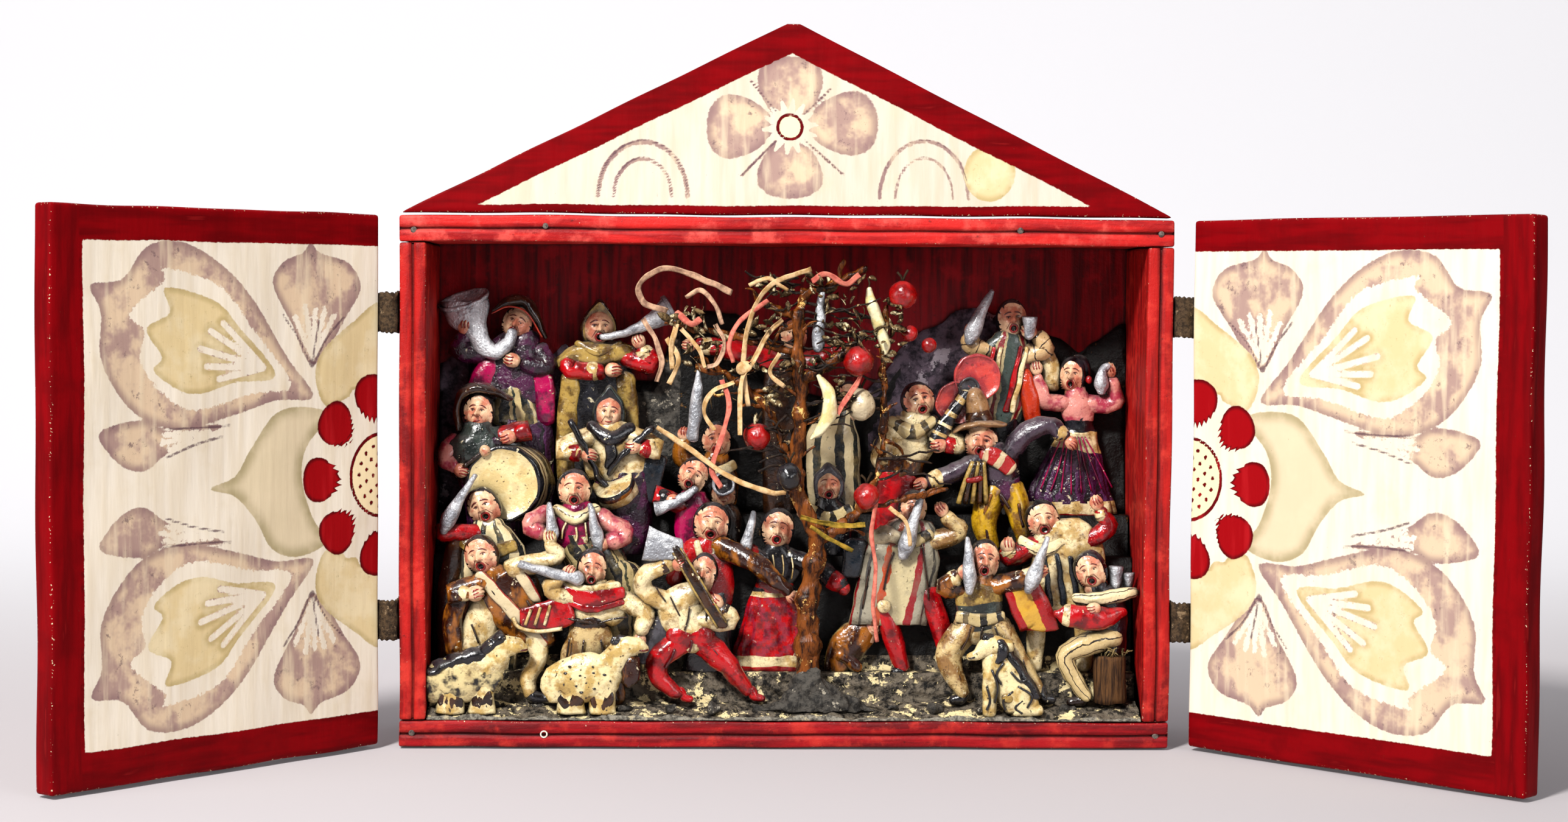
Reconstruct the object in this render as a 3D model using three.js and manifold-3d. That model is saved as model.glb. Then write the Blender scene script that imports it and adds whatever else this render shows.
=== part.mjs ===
// Folding shrine box: a painted wooden case with a gable, two doors on leather straps, and a crowd of
// modelled paste figures round a small natural tree.
// Millimetres. +X is right, +Z up, and the open front faces -Y. The origin is the centre of the underside.
import * as THREE from "three";
import { mergeVertices } from "three/addons/utils/BufferGeometryUtils.js";
import Module from "manifold-3d";

const wasm = await Module();
wasm.setup();

// ---- Driving dimensions ----------------------------------------------------------------------------
const CLEAR = 0.3; // gap between pieces that touch
const CASE = { width: 320, height: 220.3, depth: 65, wall: 11, back: 5 };
const GROOVE = { width: 0.7, depth: 1.4 }; // scored line round the front edge of the case
const GABLE = { halfWidth: 159.5, height: 78.3, tip: 2.6, lean: 1.5, thick: 10, lift: 1.0 };
const DOOR = { width: 159.2, height: 219.4, thick: 10.2, lift: 1.0, round: 1.2 };
const HINGE = { x: 163.64, depth: 1.64, cornerX: 168, cornerDepth: 0, openDeg: 132 };
const STRAP = { tall: 16.5, thick: 1.2, onCase: 21, onDoor: 8.6, heights: [180, 53] };
const FRONT = -CASE.depth / 2;
const INNER = CASE.width / 2 - CASE.wall;
const FLOOR_TOP = CASE.wall;

// Depths behind the front edge of the rows of figures and of the animals, and what they stand on.
const ROW = { animal: 4.8, front: 14.5, second: 26, third: 37.5, back: 49 };
const GROUND = { lip: 12, slopeTop: 17, ledge: 28.8, shelf: 77, upper: 94 };
const STEP = { ledge: 20.2, shelf: 32, upper: 43.6 };

const PAINT = {
  red: [0xa81a2a, 0.55],
  cream: [0xd9cba6, 0.5],
  black: [0x1c1a1c, 0.4],
  grey: [0x8a8790, 0.6],
  purple: [0x5a2a52, 0.45],
  magenta: [0xb0124f, 0.45],
  brown: [0x6b3a17, 0.4],
  yellow: [0xcaa22a, 0.45],
  silver: [0xb9b9bd, 0.45],
  leather: [0x4a3a2c, 0.9],
  wood: [0x6e5434, 0.8],
  plaster: [0x55504a, 0.85],
};

// ---- Solids ----------------------------------------------------------------------------------------
function solidFrom(geometry) {
  geometry.deleteAttribute("normal");
  geometry.deleteAttribute("uv");
  const merged = mergeVertices(geometry, 1e-4);
  const p = merged.attributes.position.array;
  const t = new Uint32Array(merged.index.array);
  let volume = 0;
  for (let i = 0; i < t.length; i += 3) {
    const [a, b, c] = [t[i], t[i + 1], t[i + 2]].map((k) => new THREE.Vector3().fromArray(p, 3 * k));
    volume += a.dot(b.cross(c));
  }
  if (volume < 0) for (let i = 0; i < t.length; i += 3) [t[i], t[i + 1]] = [t[i + 1], t[i]];
  return new wasm.Manifold(new wasm.Mesh({ numProp: 3, vertProperties: p, triVerts: t }));
}

const join = (solids) => solids.reduce((whole, s) => whole.add(s));

function meshOf(name, solid, [color, roughness], metalness = 0) {
  const m = solid.getMesh();
  const geometry = new THREE.BufferGeometry();
  const places = new Float32Array(m.numVert * 3);
  for (let i = 0; i < m.numVert; i++) {
    places.set(m.vertProperties.subarray(i * m.numProp, i * m.numProp + 3), 3 * i);
  }
  geometry.setAttribute("position", new THREE.BufferAttribute(places, 3));
  geometry.setIndex(new THREE.BufferAttribute(new Uint32Array(m.triVerts), 1));
  geometry.computeVertexNormals();
  const mesh = new THREE.Mesh(geometry, new THREE.MeshStandardMaterial({ color, roughness, metalness }));
  mesh.name = name;
  return mesh;
}

// A closed tube through sections [x, z, deeper, halfWidth, halfDepth]. Its cross-sections stand square to
// the path in the XZ plane and reach halfDepth along Y. grow makes the whole tube fatter and longer.
function tube(row, sections, sides, grow = 0) {
  const last = sections.length - 1;
  const centre = sections.map(([x, z, deeper]) => new THREE.Vector3(x, FRONT + row + deeper, z));
  const step = (i) => centre[i + 1].clone().sub(centre[i]).setY(0).normalize();
  const along = centre.map((c, i) => {
    const before = i > 0 ? step(i - 1) : step(0);
    return i < last ? before.add(step(i)).normalize() : before;
  });
  // An end that is nearly upright is cut level, so a skirt or a boot stands flat.
  for (const end of [along[0], along[last]]) if (Math.abs(end.z) > 0.8) end.set(0, 0, Math.sign(end.z));
  centre[0].addScaledVector(along[0], -grow);
  centre[last].addScaledVector(along[last], grow);
  const geometry = new THREE.CylinderGeometry(1, 1, 1, sides, last);
  const v = geometry.attributes.position;
  for (let i = 0; i < v.count; i++) {
    const k = Math.round((0.5 - v.getY(i)) * last);
    const wide = sections[k][3] + grow;
    const deep = (sections[k][4] ?? sections[k][3]) + grow;
    const across = new THREE.Vector3(along[k].z, 0, -along[k].x);
    const place = centre[k].clone().addScaledVector(across, v.getX(i) * wide);
    v.setXYZ(i, place.x, place.y + v.getZ(i) * deep, place.z);
  }
  return solidFrom(geometry);
}

// An ellipsoid of half sizes [wide, deep, tall], tilted by turn degrees in the XZ plane.
function ball(row, [x, z, deeper], [wide, deep, tall], turn = 0, sides = 8, grow = 0) {
  const geometry = new THREE.SphereGeometry(1, sides, Math.round(sides * 0.65));
  geometry.rotateX(Math.PI / 2);
  geometry.scale(wide + grow, deep + grow, tall + grow);
  geometry.rotateY(THREE.MathUtils.degToRad(turn));
  geometry.translate(x, FRONT + row + deeper, z);
  return solidFrom(geometry);
}

// A disc or short barrel facing the viewer, its axis along Y.
function barrel(row, [x, z, deeper], radius, backRadius, half, sides = 12, grow = 0) {
  const geometry = new THREE.CylinderGeometry(backRadius + grow, radius + grow, 2 * (half + grow), sides);
  geometry.translate(x, FRONT + row + deeper, z);
  return solidFrom(geometry);
}

// ---- Case, gable, doors and straps -----------------------------------------------------------------
// A board of the case whose front edge has a scored line along its middle. It is drawn as a section
// across its length, thickness by depth, and extruded.
function groovedBoard(length, depth) {
  const t = CASE.wall;
  const s = new THREE.Shape();
  s.moveTo(0, 0);
  s.lineTo((t - GROOVE.width) / 2, 0);
  s.lineTo(t / 2, GROOVE.depth);
  s.lineTo((t + GROOVE.width) / 2, 0);
  s.lineTo(t, 0);
  s.lineTo(t, depth);
  s.lineTo(0, depth);
  return new THREE.ExtrudeGeometry(s, { depth: length, bevelEnabled: false });
}

function caseMeshes() {
  const inside = CASE.depth - CASE.back - CLEAR;
  const sideHeight = CASE.height - 2 * CASE.wall - 2 * CLEAR;
  const out = [];
  for (const side of [-1, 1]) {
    const g = groovedBoard(sideHeight, inside);
    const left = side < 0 ? -CASE.width / 2 : CASE.width / 2 - CASE.wall;
    g.translate(left, FRONT, CASE.wall + CLEAR);
    out.push(meshOf(side < 0 ? "case_side_left" : "case_side_right", solidFrom(g), PAINT.red));
  }
  for (const [name, bottom] of [["case_floor", 0], ["case_top", CASE.height - CASE.wall]]) {
    const g = groovedBoard(CASE.width, inside);
    g.rotateY(-Math.PI / 2);
    g.translate(CASE.width / 2, FRONT, bottom);
    out.push(meshOf(name, solidFrom(g), PAINT.red));
  }
  const back = new THREE.BoxGeometry(CASE.width, CASE.back, CASE.height);
  back.translate(0, -FRONT - CASE.back / 2, CASE.height / 2);
  out.push(meshOf("case_back", solidFrom(back), PAINT.wood));
  return out;
}

function gableMesh() {
  const { halfWidth, height, tip, lean, thick, lift } = GABLE;
  const s = new THREE.Shape();
  s.moveTo(-halfWidth, 0);
  s.lineTo(halfWidth, 0);
  s.lineTo(lean + tip, height);
  s.lineTo(lean - tip, height);
  const g = new THREE.ExtrudeGeometry(s, { depth: thick, bevelEnabled: false });
  g.rotateX(Math.PI / 2);
  g.translate(0, FRONT + thick, CASE.height + lift);
  return meshOf("gable_board", solidFrom(g), PAINT.cream);
}

// Each door is drawn shut, with its hinge corner where the turned corner has to come, and then swung
// open about the hinge line. side is -1 on the left and 1 on the right.
function doorGroup(side) {
  const swing = new THREE.Group();
  swing.position.set(side * HINGE.x, FRONT + HINGE.depth, 0);
  const angle = THREE.MathUtils.degToRad(HINGE.openDeg);
  const open = new THREE.Vector2(HINGE.cornerX - HINGE.x, HINGE.cornerDepth - HINGE.depth);
  const shut = open.rotateAround(new THREE.Vector2(), -angle); // hinge corner with the door shut
  swing.rotation.z = side * angle;

  const r = DOOR.round;
  const face = new THREE.Shape();
  face.moveTo(r, r);
  face.lineTo(DOOR.width - r, r);
  face.lineTo(DOOR.width - r, DOOR.height - r);
  face.lineTo(r, DOOR.height - r);
  const bevel = { bevelThickness: r, bevelSize: r, bevelSegments: 1 };
  const g = new THREE.ExtrudeGeometry(face, { depth: DOOR.thick - 2 * r, ...bevel });
  g.rotateX(Math.PI / 2);
  g.translate(-DOOR.width + shut.x, shut.y - r, DOOR.lift);
  if (side < 0) g.scale(-1, 1, 1);
  const word = side < 0 ? "left" : "right";
  swing.add(meshOf("door_" + word, solidFrom(g), PAINT.cream));

  STRAP.heights.forEach((z, i) => {
    const leaf = new THREE.BoxGeometry(STRAP.thick, STRAP.onDoor, STRAP.tall);
    const x = shut.x + CLEAR + STRAP.thick / 2;
    leaf.translate(side * x, shut.y - CLEAR - STRAP.onDoor / 2, z);
    swing.add(meshOf(`strap_${word}_${i + 1}_door`, solidFrom(leaf), PAINT.leather));
  });
  return swing;
}

function caseStraps() {
  const out = [];
  for (const side of [-1, 1]) {
    STRAP.heights.forEach((z, i) => {
      const leaf = new THREE.BoxGeometry(STRAP.thick, STRAP.onCase, STRAP.tall);
      const x = CASE.width / 2 + CLEAR + STRAP.thick / 2;
      leaf.translate(side * x, FRONT + 2 + STRAP.onCase / 2, z);
      const name = `strap_${side < 0 ? "left" : "right"}_${i + 1}_case`;
      out.push(meshOf(name, solidFrom(leaf), PAINT.leather));
    });
  }
  return out;
}

// ---- Ground, hill, tree and stool ------------------------------------------------------------------
// The plaster ground is a stepped section run from wall to wall, with a slow wave in its slope. grow
// raises its steps and brings them forward.
function groundSolid(grow = 0) {
  const deepest = CASE.depth - CASE.back - CLEAR;
  const s = new THREE.Shape();
  s.moveTo(0.8, FLOOR_TOP + CLEAR);
  for (const [deep, up] of [
    [0.8, GROUND.lip - 0.2], [2.5, GROUND.lip + 0.6], [9, GROUND.slopeTop - 2], [16, GROUND.slopeTop - 0.4],
    [STEP.ledge - 0.4, GROUND.slopeTop], [STEP.ledge + 0.6, GROUND.ledge], [STEP.shelf - 0.3, GROUND.ledge],
    [STEP.shelf, GROUND.shelf], [STEP.upper - 0.3, GROUND.shelf], [STEP.upper, GROUND.upper],
  ]) s.lineTo(deep - grow, up + grow);
  s.lineTo(deepest, GROUND.upper + grow);
  s.lineTo(deepest, FLOOR_TOP + CLEAR);
  const wide = 2 * (INNER - CLEAR);
  const g = new THREE.ExtrudeGeometry(s, { depth: wide, steps: 7, bevelEnabled: false });
  const v = g.attributes.position;
  for (let i = 0; i < v.count; i++) {
    const [deep, up, x] = [v.getX(i), v.getY(i), v.getZ(i) - wide / 2];
    const loose = up > FLOOR_TOP + 2 * CLEAR && up < GROUND.slopeTop;
    v.setXYZ(i, x, FRONT + deep, up + (loose ? 0.35 * Math.sin(x / 17 + deep) : 0));
  }
  return solidFrom(g);
}

// The hill is a low relief on the back panel, with a rolling skyline.
function hillMesh() {
  const edge = INNER - CLEAR;
  const skyline = [
    [-edge, 158], [-140, 164], [-128, 150], [-104, 158], [-96, 168], [-82, 150], [-56, 150],
    [-46, 178], [-28, 182], [-10, 174], [8, 146], [32, 142], [58, 172], [82, 184], [112, 174],
    [128, 164], [140, 172], [edge, 176],
  ].map(([x, z]) => new THREE.Vector2(x, z));
  const s = new THREE.Shape();
  s.moveTo(edge, GROUND.upper + CLEAR);
  s.lineTo(-edge, GROUND.upper + CLEAR);
  for (const point of skyline) s.lineTo(point.x, point.y);
  const g = new THREE.ExtrudeGeometry(s, { depth: 4.4, bevelEnabled: false });
  g.rotateX(Math.PI / 2);
  g.translate(0, -FRONT - CASE.back - CLEAR, 0);
  return meshOf("hill_relief", solidFrom(g), PAINT.grey);
}

const TREE_DEPTH = 12;
// Trunk, forks and twigs as [x, z, deeper, radius], then the root mound and two small berries.
const BRANCHES = [
  [[9, 25, 0, 5.2], [9.6, 60, 0, 4.4], [14, 89, 0, 3.4]],
  [[14, 86, 0, 3.4], [4, 108, 0, 3], [6, 138, 0, 2.8], [5, 180, 0, 2.2], [9, 191, 0, 1.5]],
  [[7, 190, 0, 1.5], [20, 193, 0, 1.3], [33, 199, 0, 1.1]],
  [[14, 86, 0, 2.6], [31, 99, 2, 1.7], [39, 114, 3, 1.3], [41, 150, 3, 1.3], [42, 182, 3, 1.2]],
  [[6, 114, 0, 2], [-6, 138, 0, 1.5], [-20, 152, 0, 1.3], [-37, 158, 0, 1.1]],
  [[5, 152, 0, 1.8], [31, 170, 0, 1.3]],
  [[6, 178, 0, 1.8], [-14, 188, 0, 1.1]],
  [[4, 164, 2, 1.6], [-50, 176, 4, 1]],
  [[31, 99, 2, 1.4], [68, 108, 3, 0.9]],
  [[42, 178, 3, 1.1], [50, 172, 3, 2.9], [59, 167.5, 3, 2.6]],
];

function treeMesh() {
  const limbs = BRANCHES.map((path, i) => tube(TREE_DEPTH, path, i < 2 ? 5 : 3));
  const mound = tube(TREE_DEPTH - 2.2, [[11, 17.6, 0, 26, 6.6], [11, 21, 0, 14, 6], [10, 30, 0, 6, 5]], 8);
  return meshOf("tree", join([mound, ...limbs]), PAINT.brown);
}

// What hangs in the tree, each just clear of its twig.
const HANGING = {
  hung_bottle_left: [[-36.6, 156.2, 0, 1.2], [-37.5, 146, 0, 2.4], [-39, 129, 0, 2.7]],
  hung_bottle_right: [[14.5, 189.6, 0, 1.2], [14, 182, 0, 2.2], [13, 167, 0, 2.5]],
  banana_left: [[13.4, 154.5, -3.5, 1.3], [17.5, 147, -3.5, 2.8], [17.5, 138, -3.5, 3],
    [10.5, 129, -3.5, 1.6]],
  banana_right: [[34, 190.5, 0, 1.6], [36, 183, 0, 2.4], [40, 173, 0, 2.4], [40.6, 165.5, -2.2, 1.6]],
};
const BAUBLES = {
  red_ball_top: [[48.3, 188.4, 0], 5.7],
  red_ball_upper: [[30, 160.8, -2.6], 6.1],
  red_ball_left: [[-12.2, 129, 1], 5.6],
  red_ball_lower: [[33.6, 104.6, -5], 5.2],
  pale_bulb: [[31.4, 142.5, 2], 5.9],
  dark_bulb: [[1.2, 112.6, -6.6], 4.8],
};

function hangingMeshes() {
  const long = Object.entries(HANGING).map(([name, path]) => {
    const paint = name.startsWith("banana") ? PAINT.yellow : PAINT.silver;
    return meshOf(name, tube(TREE_DEPTH, path, 6), paint, paint === PAINT.silver ? 0.6 : 0);
  });
  const round = Object.entries(BAUBLES).map(([name, [place, r]]) => {
    const paint = name.startsWith("red") ? PAINT.red : name.startsWith("pale") ? PAINT.cream : PAINT.black;
    return meshOf(name, ball(TREE_DEPTH, place, [r, r, r], 0, 6), paint);
  });
  return [...long, ...round];
}

function stoolMesh() {
  const top = 38;
  const bottom = GROUND.slopeTop + 0.6;
  const g = new THREE.CylinderGeometry(6.6, 6.8, top - bottom, 12);
  g.rotateX(Math.PI / 2);
  g.translate(137, FRONT + 12.6, (top + bottom) / 2);
  return meshOf("block_stool", solidFrom(g), PAINT.wood);
}

// ---- Figures ---------------------------------------------------------------------------------------
// Each figure is one modelled piece. body runs from hem to neck; head is [x, z, half width, half height,
// tilt in degrees]; limbs are arms and legs; held is what is in the hands. A section is
// [x, z, deeper, half width, half depth], and a missing half depth is as wide as it is deep.
const foot = { front: GROUND.slopeTop + 0.6, second: GROUND.ledge + CLEAR, third: GROUND.shelf + CLEAR,
  back: GROUND.upper + CLEAR };
const DEEP = 5; // half depth of a standing body
const NECK = 2.8; // half width of a neck, which runs up into the head
const HAIR = 0.6; // how far hair or a cap stands out from the head
const SIDES = { body: 6, head: 5, limb: 4 };

const FIGURES = [
  { name: "leaning_man", row: "front", deeper: 1.2, paint: "brown",
    body: [[-103, 43, 0, 7, 4], [-110, 53, 0, 11, 4], [-117, 64, 0, 13.6, 4.4], [-122, 71.5, 0, 7, 4]],
    head: [-127, 78, 6.6, 8, -12],
    limbs: [
      [[-105, 45, 0, 4.6], [-103, 36, -1, 3.6], [-108, 27, -1, 3], [-107, foot.front, -1.5, 3]],
      [[-107, 19.6, -1.5, 2.6], [-98.5, 18.8, -2, 1.8]],
      [[-130, foot.front, 1, 8, 4], [-130, 40, 1, 8.5, 4], [-124, 60, 1, 7, 4]],
      [[-125, 67, -1, 4.4], [-140.4, 62.6, -2.8, 4.4], [-130, 63, -5.5, 3]],
      [[-114, 73, -1, 4.4], [-95.4, 78.6, -1.6, 3.8], [-98.5, 87, -2.6, 2.4]],
    ] },
  { name: "horn_woman", row: "front", paint: "cream",
    body: [[-82, foot.front, 0, 14, DEEP], [-82, 35, 0, 12, DEEP], [-82, 49, 0, 8, 4.4],
      [-80, 56, 0, 14, DEEP],
      [-79, 62, 0, 13, 4.6], [-80, 66, 0, 5, 4]],
    head: [-81, 72.5, 5.6, 8, 4],
    limbs: [
      [[-87, 58, -2, 4.2, 3.6], [-99.4, 64, -4.4, 3.6, 2.8], [-90, 72, -5, 2.8]],
      [[-72, 60, 0, 4.4], [-57, 54.6, -2, 3.6], [-60.5, 43.5, -3.5, 2.6]],
      [[-90, 56, -2.4, 6, 3], [-105, 52, -4.2, 6.2, 2]],
    ],
    held: [[[-111.5, 75.5, -5.4, 1.3], [-86, 69.5, -5.4, 3.3]]] },
  { name: "axe_man", row: "front", paint: "cream",
    body: [[-38, 42, 0, 8, 4.6], [-41, 50, 0, 9, DEEP], [-45, 57, 0, 9, DEEP], [-37, 64, 0, 4.6, 4]],
    head: [-34.4, 71, 4.8, 7.6, 10],
    limbs: [
      [[-47, 57, 0, 5], [-59, 63, 0, 4.2], [-59, 74, -2.4, 3.8], [-43, 75.5, -4.5, 2.8]],
      [[-36, 51, 0, 4.4], [-22, 51.4, -2.6, 4.2], [-28.5, 60, -5, 3]],
      [[-42, 45, 0, 5.2], [-53, 35, -1.5, 4.4], [-52, 27, -1.5, 3.8], [-43, foot.front, -2, 2.4]],
      [[-36, 45, 0, 5.2], [-24.4, 34, -1, 4.4], [-13.5, foot.front + 1, -1, 2.6]],
      [[-56, 36, 1.5, 5, 2], [-50, 48, 1.5, 5, 2.4]],
    ],
    held: [[[-27, 51, -5.4, 1.7], [-45.5, 83, -4.6, 1.6]], [[-45.5, 80.5, -4.6, 4, 1.2],
      [-56, 82, -4.6, 5.8, 1]]] },
  { name: "front_man", row: "front", paint: "cream",
    body: [[83, 46, 0, 9.5, DEEP], [82, 57, 0, 9.5, DEEP], [81, 67, 0, 10, 4.8], [83, 71, 0, 5, 4]],
    head: [83.5, 77, 5.8, 8, 4],
    limbs: [
      [[76, 66, 0, 4.4], [66.8, 66.6, -2.4, 4.4], [76, 72, -4.5, 3]],
      [[86, 66, 0, 4], [101, 69.5, -1.4, 3.8], [107, 73, -3.5, 3]],
      [[77, 50, 0, 6.4, 5], [68.6, 35, -1.5, 4.6], [75, foot.front, -2, 2.8]],
      [[89, 50, 0, 6.4, 5], [98, 34, -0.5, 4.4], [108.5, foot.front + 0.4, -1, 2.8]],
      [[107, 47, -0.6, 8.5, 1.7], [98.4, 70, -0.6, 8, 1.7]],
    ],
    held: [[[76.8, 66, -6, 2.7], [76.2, 86, -6, 1.1]],
      [[102.4, 66.5, -5, 3.2], [109.4, 86, -5, 1.1]]] },
  { name: "seated_player", row: "front", paint: "cream",
    body: [[138, 39, 0, 5, 4.4], [138, 50, 0, 6, 4.8], [136, 60, 0, 7, 4.8], [132, 66, 0, 4.4, 4]],
    head: [128.6, 72.8, 6, 7.6, -10],
    limbs: [
      [[138, 46, -2, 4.4], [126, 42, -3.5, 4.4], [117.6, 36.6, -3.5, 3.4], [123, 26, -3.5, 2.9],
        [127.4, foot.front + 1, -4, 2.4]],
      [[123, 61.5, -3.4, 2.2], [134, 62.5, -2.6, 3.4], [146, 64.5, -2.4, 2.2]],
      [[139.5, 64, 0, 2.2], [139.5, 74, 0, 2.6]],
      [[144.5, 63, 0, 1.8], [145, 71.5, 0, 2.4]],
    ],
    held: [[[113.8, 55, -5.4, 2.4, 2.4], [121, 54.4, -5.6, 5.2, 3.6], [133, 53.8, -5.6, 4.8, 3.8],
      [141.5, 56, -4.6, 2.2, 2.4]]] },
  { name: "bottle_raiser", row: "second", paint: "cream",
    body: [[-126, foot.second, 0, 12, DEEP], [-125, 60, 0, 13, DEEP], [-124, 78, 0, 14.5, DEEP],
      [-125, 90, 0, 6.5, 4.4]],
    head: [-127, 98, 6.3, 7.8, -24],
    limbs: [
      [[-130, 86, -1, 4], [-144, 86.5, -2.5, 3.6], [-142.4, 94.6, -3.6, 3]],
      [[-116, 86, 0, 4], [-111.5, 76, -1, 3.6]],
      [[-142, foot.second, 0, 5, 3.6], [-142, 76, 0, 4.4, 3.4], [-138, 88, 0, 3.4, 3.2]],
    ],
    held: [[[-142.6, 90.4, -4.6, 3.1], [-130.8, 111, -4.6, 1.2]]] },
  { name: "two_bottle_man", row: "second", paint: "grey",
    body: [[-70, foot.second, 0, 11, DEEP], [-71, 55, 0, 12, DEEP], [-75, 73, 0, 13, DEEP],
      [-87, 83, 0, 10, DEEP],
      [-88, 92, 0, 13, DEEP], [-88, 98, 0, 7, 4.6]],
    head: [-89, 105, 6.4, 8, -2],
    limbs: [
      [[-100, 95, 0, 4.4], [-107.5, 90.5, -2.5, 4.4], [-100, 86.8, -4.6, 3]],
      [[-79, 94, 0, 4.4], [-67.4, 86, -3, 4.6], [-78, 82.6, -5.4, 3]],
    ],
    held: [[[-97.8, 85, -6, 2.4], [-99, 99, -6, 1.1]], [[-78.8, 81.6, -6.4, 2.6],
      [-81.8, 99, -6.4, 1.2]]] },
  { name: "red_vest_singer", row: "second", paint: "red",
    body: [[-33, foot.second, 0, 11, DEEP], [-33, 50, 0, 10.5, DEEP], [-33, 68, 0, 11, DEEP],
      [-34, 78, 0, 10, DEEP],
      [-32, 85, 0, 5, 4.2]],
    head: [-31, 91, 7.2, 8.2, 4],
    limbs: [
      [[-28, 81, -1, 4.6], [-15, 76, -6.6, 4], [-4, 68.5, -8, 3.2], [1.4, 62.5, -8.6, 2.2]],
      [[-42, 79, 0, 4], [-46, 68, -2, 3.8]],
    ] },
  { name: "dark_dress_woman", row: "second", deeper: 1.8, paint: "black",
    body: [[-4, foot.second, 0, 16, 4.2], [-4, 37, 0, 16, 4.2], [-4, 52, 0, 12, 4], [-4, 66, 0, 7.4, 3.6],
      [-3, 76, 0, 10.5, 3.8], [-3, 81, 0, 4.6, 3.4]],
    head: [-3, 88.5, 6.3, 8.2, 6],
    limbs: [
      [[2, 76, 0, 4], [15, 72, -2.6, 3.8], [24.4, 65, -4, 3.6]],
      [[-7, 75, 0, 3.8], [-16, 80, -2.6, 3]],
    ],
    held: [[[-17, 79, -3.4, 2.2], [-13.4, 95, -3.4, 1.7]]] },
  { name: "grey_poncho_man", row: "second", paint: "grey",
    body: [[45, 51, 0, 12, 3.6], [46.5, 62, 0, 15.5, DEEP], [50, 78, 0, 17, DEEP], [53, 90, 0, 11, 4.4]],
    head: [54, 97.5, 5.4, 7.4, 10],
    limbs: [
      [[61, 83, 0, 4.2], [74.6, 88, -2.4, 3.8], [66, 98, -4, 2.8]],
      [[38, 84, -1, 4], [44, 88, -4.4, 3.6], [51, 85, -6, 3]],
      [[42, 56, 0, 4.4], [47, 41, -1, 3.6], [50, foot.second, -1, 2.8]],
      [[61, 62, 0, 4.6], [67, 46, -1, 4], [70, foot.second, -1, 2.8]],
      [[42, 57, -3, 3], [42, 57.1, -6, 3]],
    ],
    held: [[[50.6, 80, -7, 3.6], [57.8, 105.4, -7, 1.3]]] },
  { name: "striped_poncho_man", row: "second", paint: "cream",
    body: [[121, 56, 0, 14, DEEP], [120, 70, 0, 17, DEEP], [117, 81, 0, 18, DEEP], [111, 87.4, 0, 8, 4.4]],
    head: [109.5, 93, 6.4, 7.6, -6],
    limbs: [
      [[107, 82, 0, 4.6], [95.4, 78.4, -2, 4.4], [94.6, 83, -4.4, 3]],
      [[127, 82, 0, 4], [137.6, 91, -2.4, 3.4], [132, 101.4, -3, 2.6]],
      [[108, 60, 0, 4.2, 4], [106.5, foot.second, -1, 3]],
      [[128, 60, 0, 4.2, 4], [128, foot.second, 0, 3.4]],
    ] },
  { name: "crouching_figure", row: "second", deeper: 1, paint: "brown",
    body: [[23, foot.second, 0, 6, 4], [26, 38, 0, 8, DEEP], [32, 45, 0, 7, 4.6], [36, 50, 0, 3.6, 3.4]],
    head: [38, 48, 4.4, 5, 40], limbs: [] },
  { name: "bass_drummer", row: "third", paint: "grey",
    body: [[-124, foot.third, 0, 10, DEEP], [-124, 98, 0, 12, DEEP], [-127, 117, 0, 15.5, DEEP],
      [-130, 128, 0, 12, 4.8],
      [-130, 132, 0, 5, 4]],
    head: [-130.5, 138.4, 5.9, 7.4, 4],
    limbs: [
      [[-141, 124, 0, 4.4], [-143, 118, -3, 4.2], [-138.4, 113.6, -5, 3]],
      [[-123, 127, 0, 4.4], [-108, 129.8, -1.6, 4.2], [-116, 127, -5, 3]],
      [[-139, 145.6, 0, 1.2, 5], [-129, 147.2, 0, 1.6, 6], [-117.6, 143.4, 0, 0.9, 5]],
      [[-130, 143, 0, 6, 5], [-130, 148.6, 0.6, 3.6, 3.6]],
    ],
    held: [[[-138, 114.4, -6.8, 1.1], [-127.2, 121.4, -6.8, 1.3]]],
    barrels: [[[-119.4, 107.4, 0.2], 16.4, 15.6, 5.3, 12]] },
  { name: "snare_drummer", row: "third", paint: "cream",
    body: [[-70, foot.third, 0, 10, DEEP], [-68, 98, 0, 12, DEEP], [-70, 114, 0, 12, DEEP],
      [-73, 125, 0, 14, DEEP],
      [-74, 131, 0, 7, 4.6]],
    head: [-75, 137, 5.9, 7.4, 3],
    limbs: [
      [[-76, 130, 2, 8.6, 4.6], [-76, 140, 2.2, 8, 4.6], [-74, 149.4, 2.6, 1.2, 1.2]],
      [[-81, 126, 0, 4.4], [-95, 121.4, -2.6, 4.4], [-83, 119.6, -5, 3]],
      [[-66, 127, 0, 4.4], [-53.8, 121.4, -3, 4.4], [-64.4, 123.2, -5.4, 3]],
    ],
    held: [[[-90, 133.4, -6.4, 1.3], [-77.6, 107, -6.2, 1.3]],
      [[-56, 130.4, -6.2, 1.3], [-75, 113.4, -6.2, 1.3]],
      [[-70.4, 99.6, -1.6, 9.4, 4.8], [-74, 108.6, -1.6, 9.4, 4.8]]] },
  { name: "small_horn_player", row: "third", paint: "magenta",
    body: [[-38, foot.third, 0, 8, 4.6], [-38, 92, 0, 9, 4.8], [-39, 101, 0, 5.4, 4.2]],
    head: [-38.8, 110.4, 5.8, 7.4, 26],
    limbs: [[[-43.6, 97.4, -0.8, 4], [-56, 103.2, -2.4, 3.9], [-47.4, 100, -4.8, 3]]],
    held: [[[-54, 97.4, -6, 2.7], [-45, 100.6, -6, 2.3], [-37.4, 105.4, -6, 1.5]]] },
  { name: "bell_player", row: "third", deeper: 2, paint: "brown",
    body: [[-24, foot.third, 0, 5, 4], [-24, 92, 0, 6, 4], [-25.6, 98, 0, 4, 3.6]],
    head: [-26, 103, 5, 6, 0], limbs: [],
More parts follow.
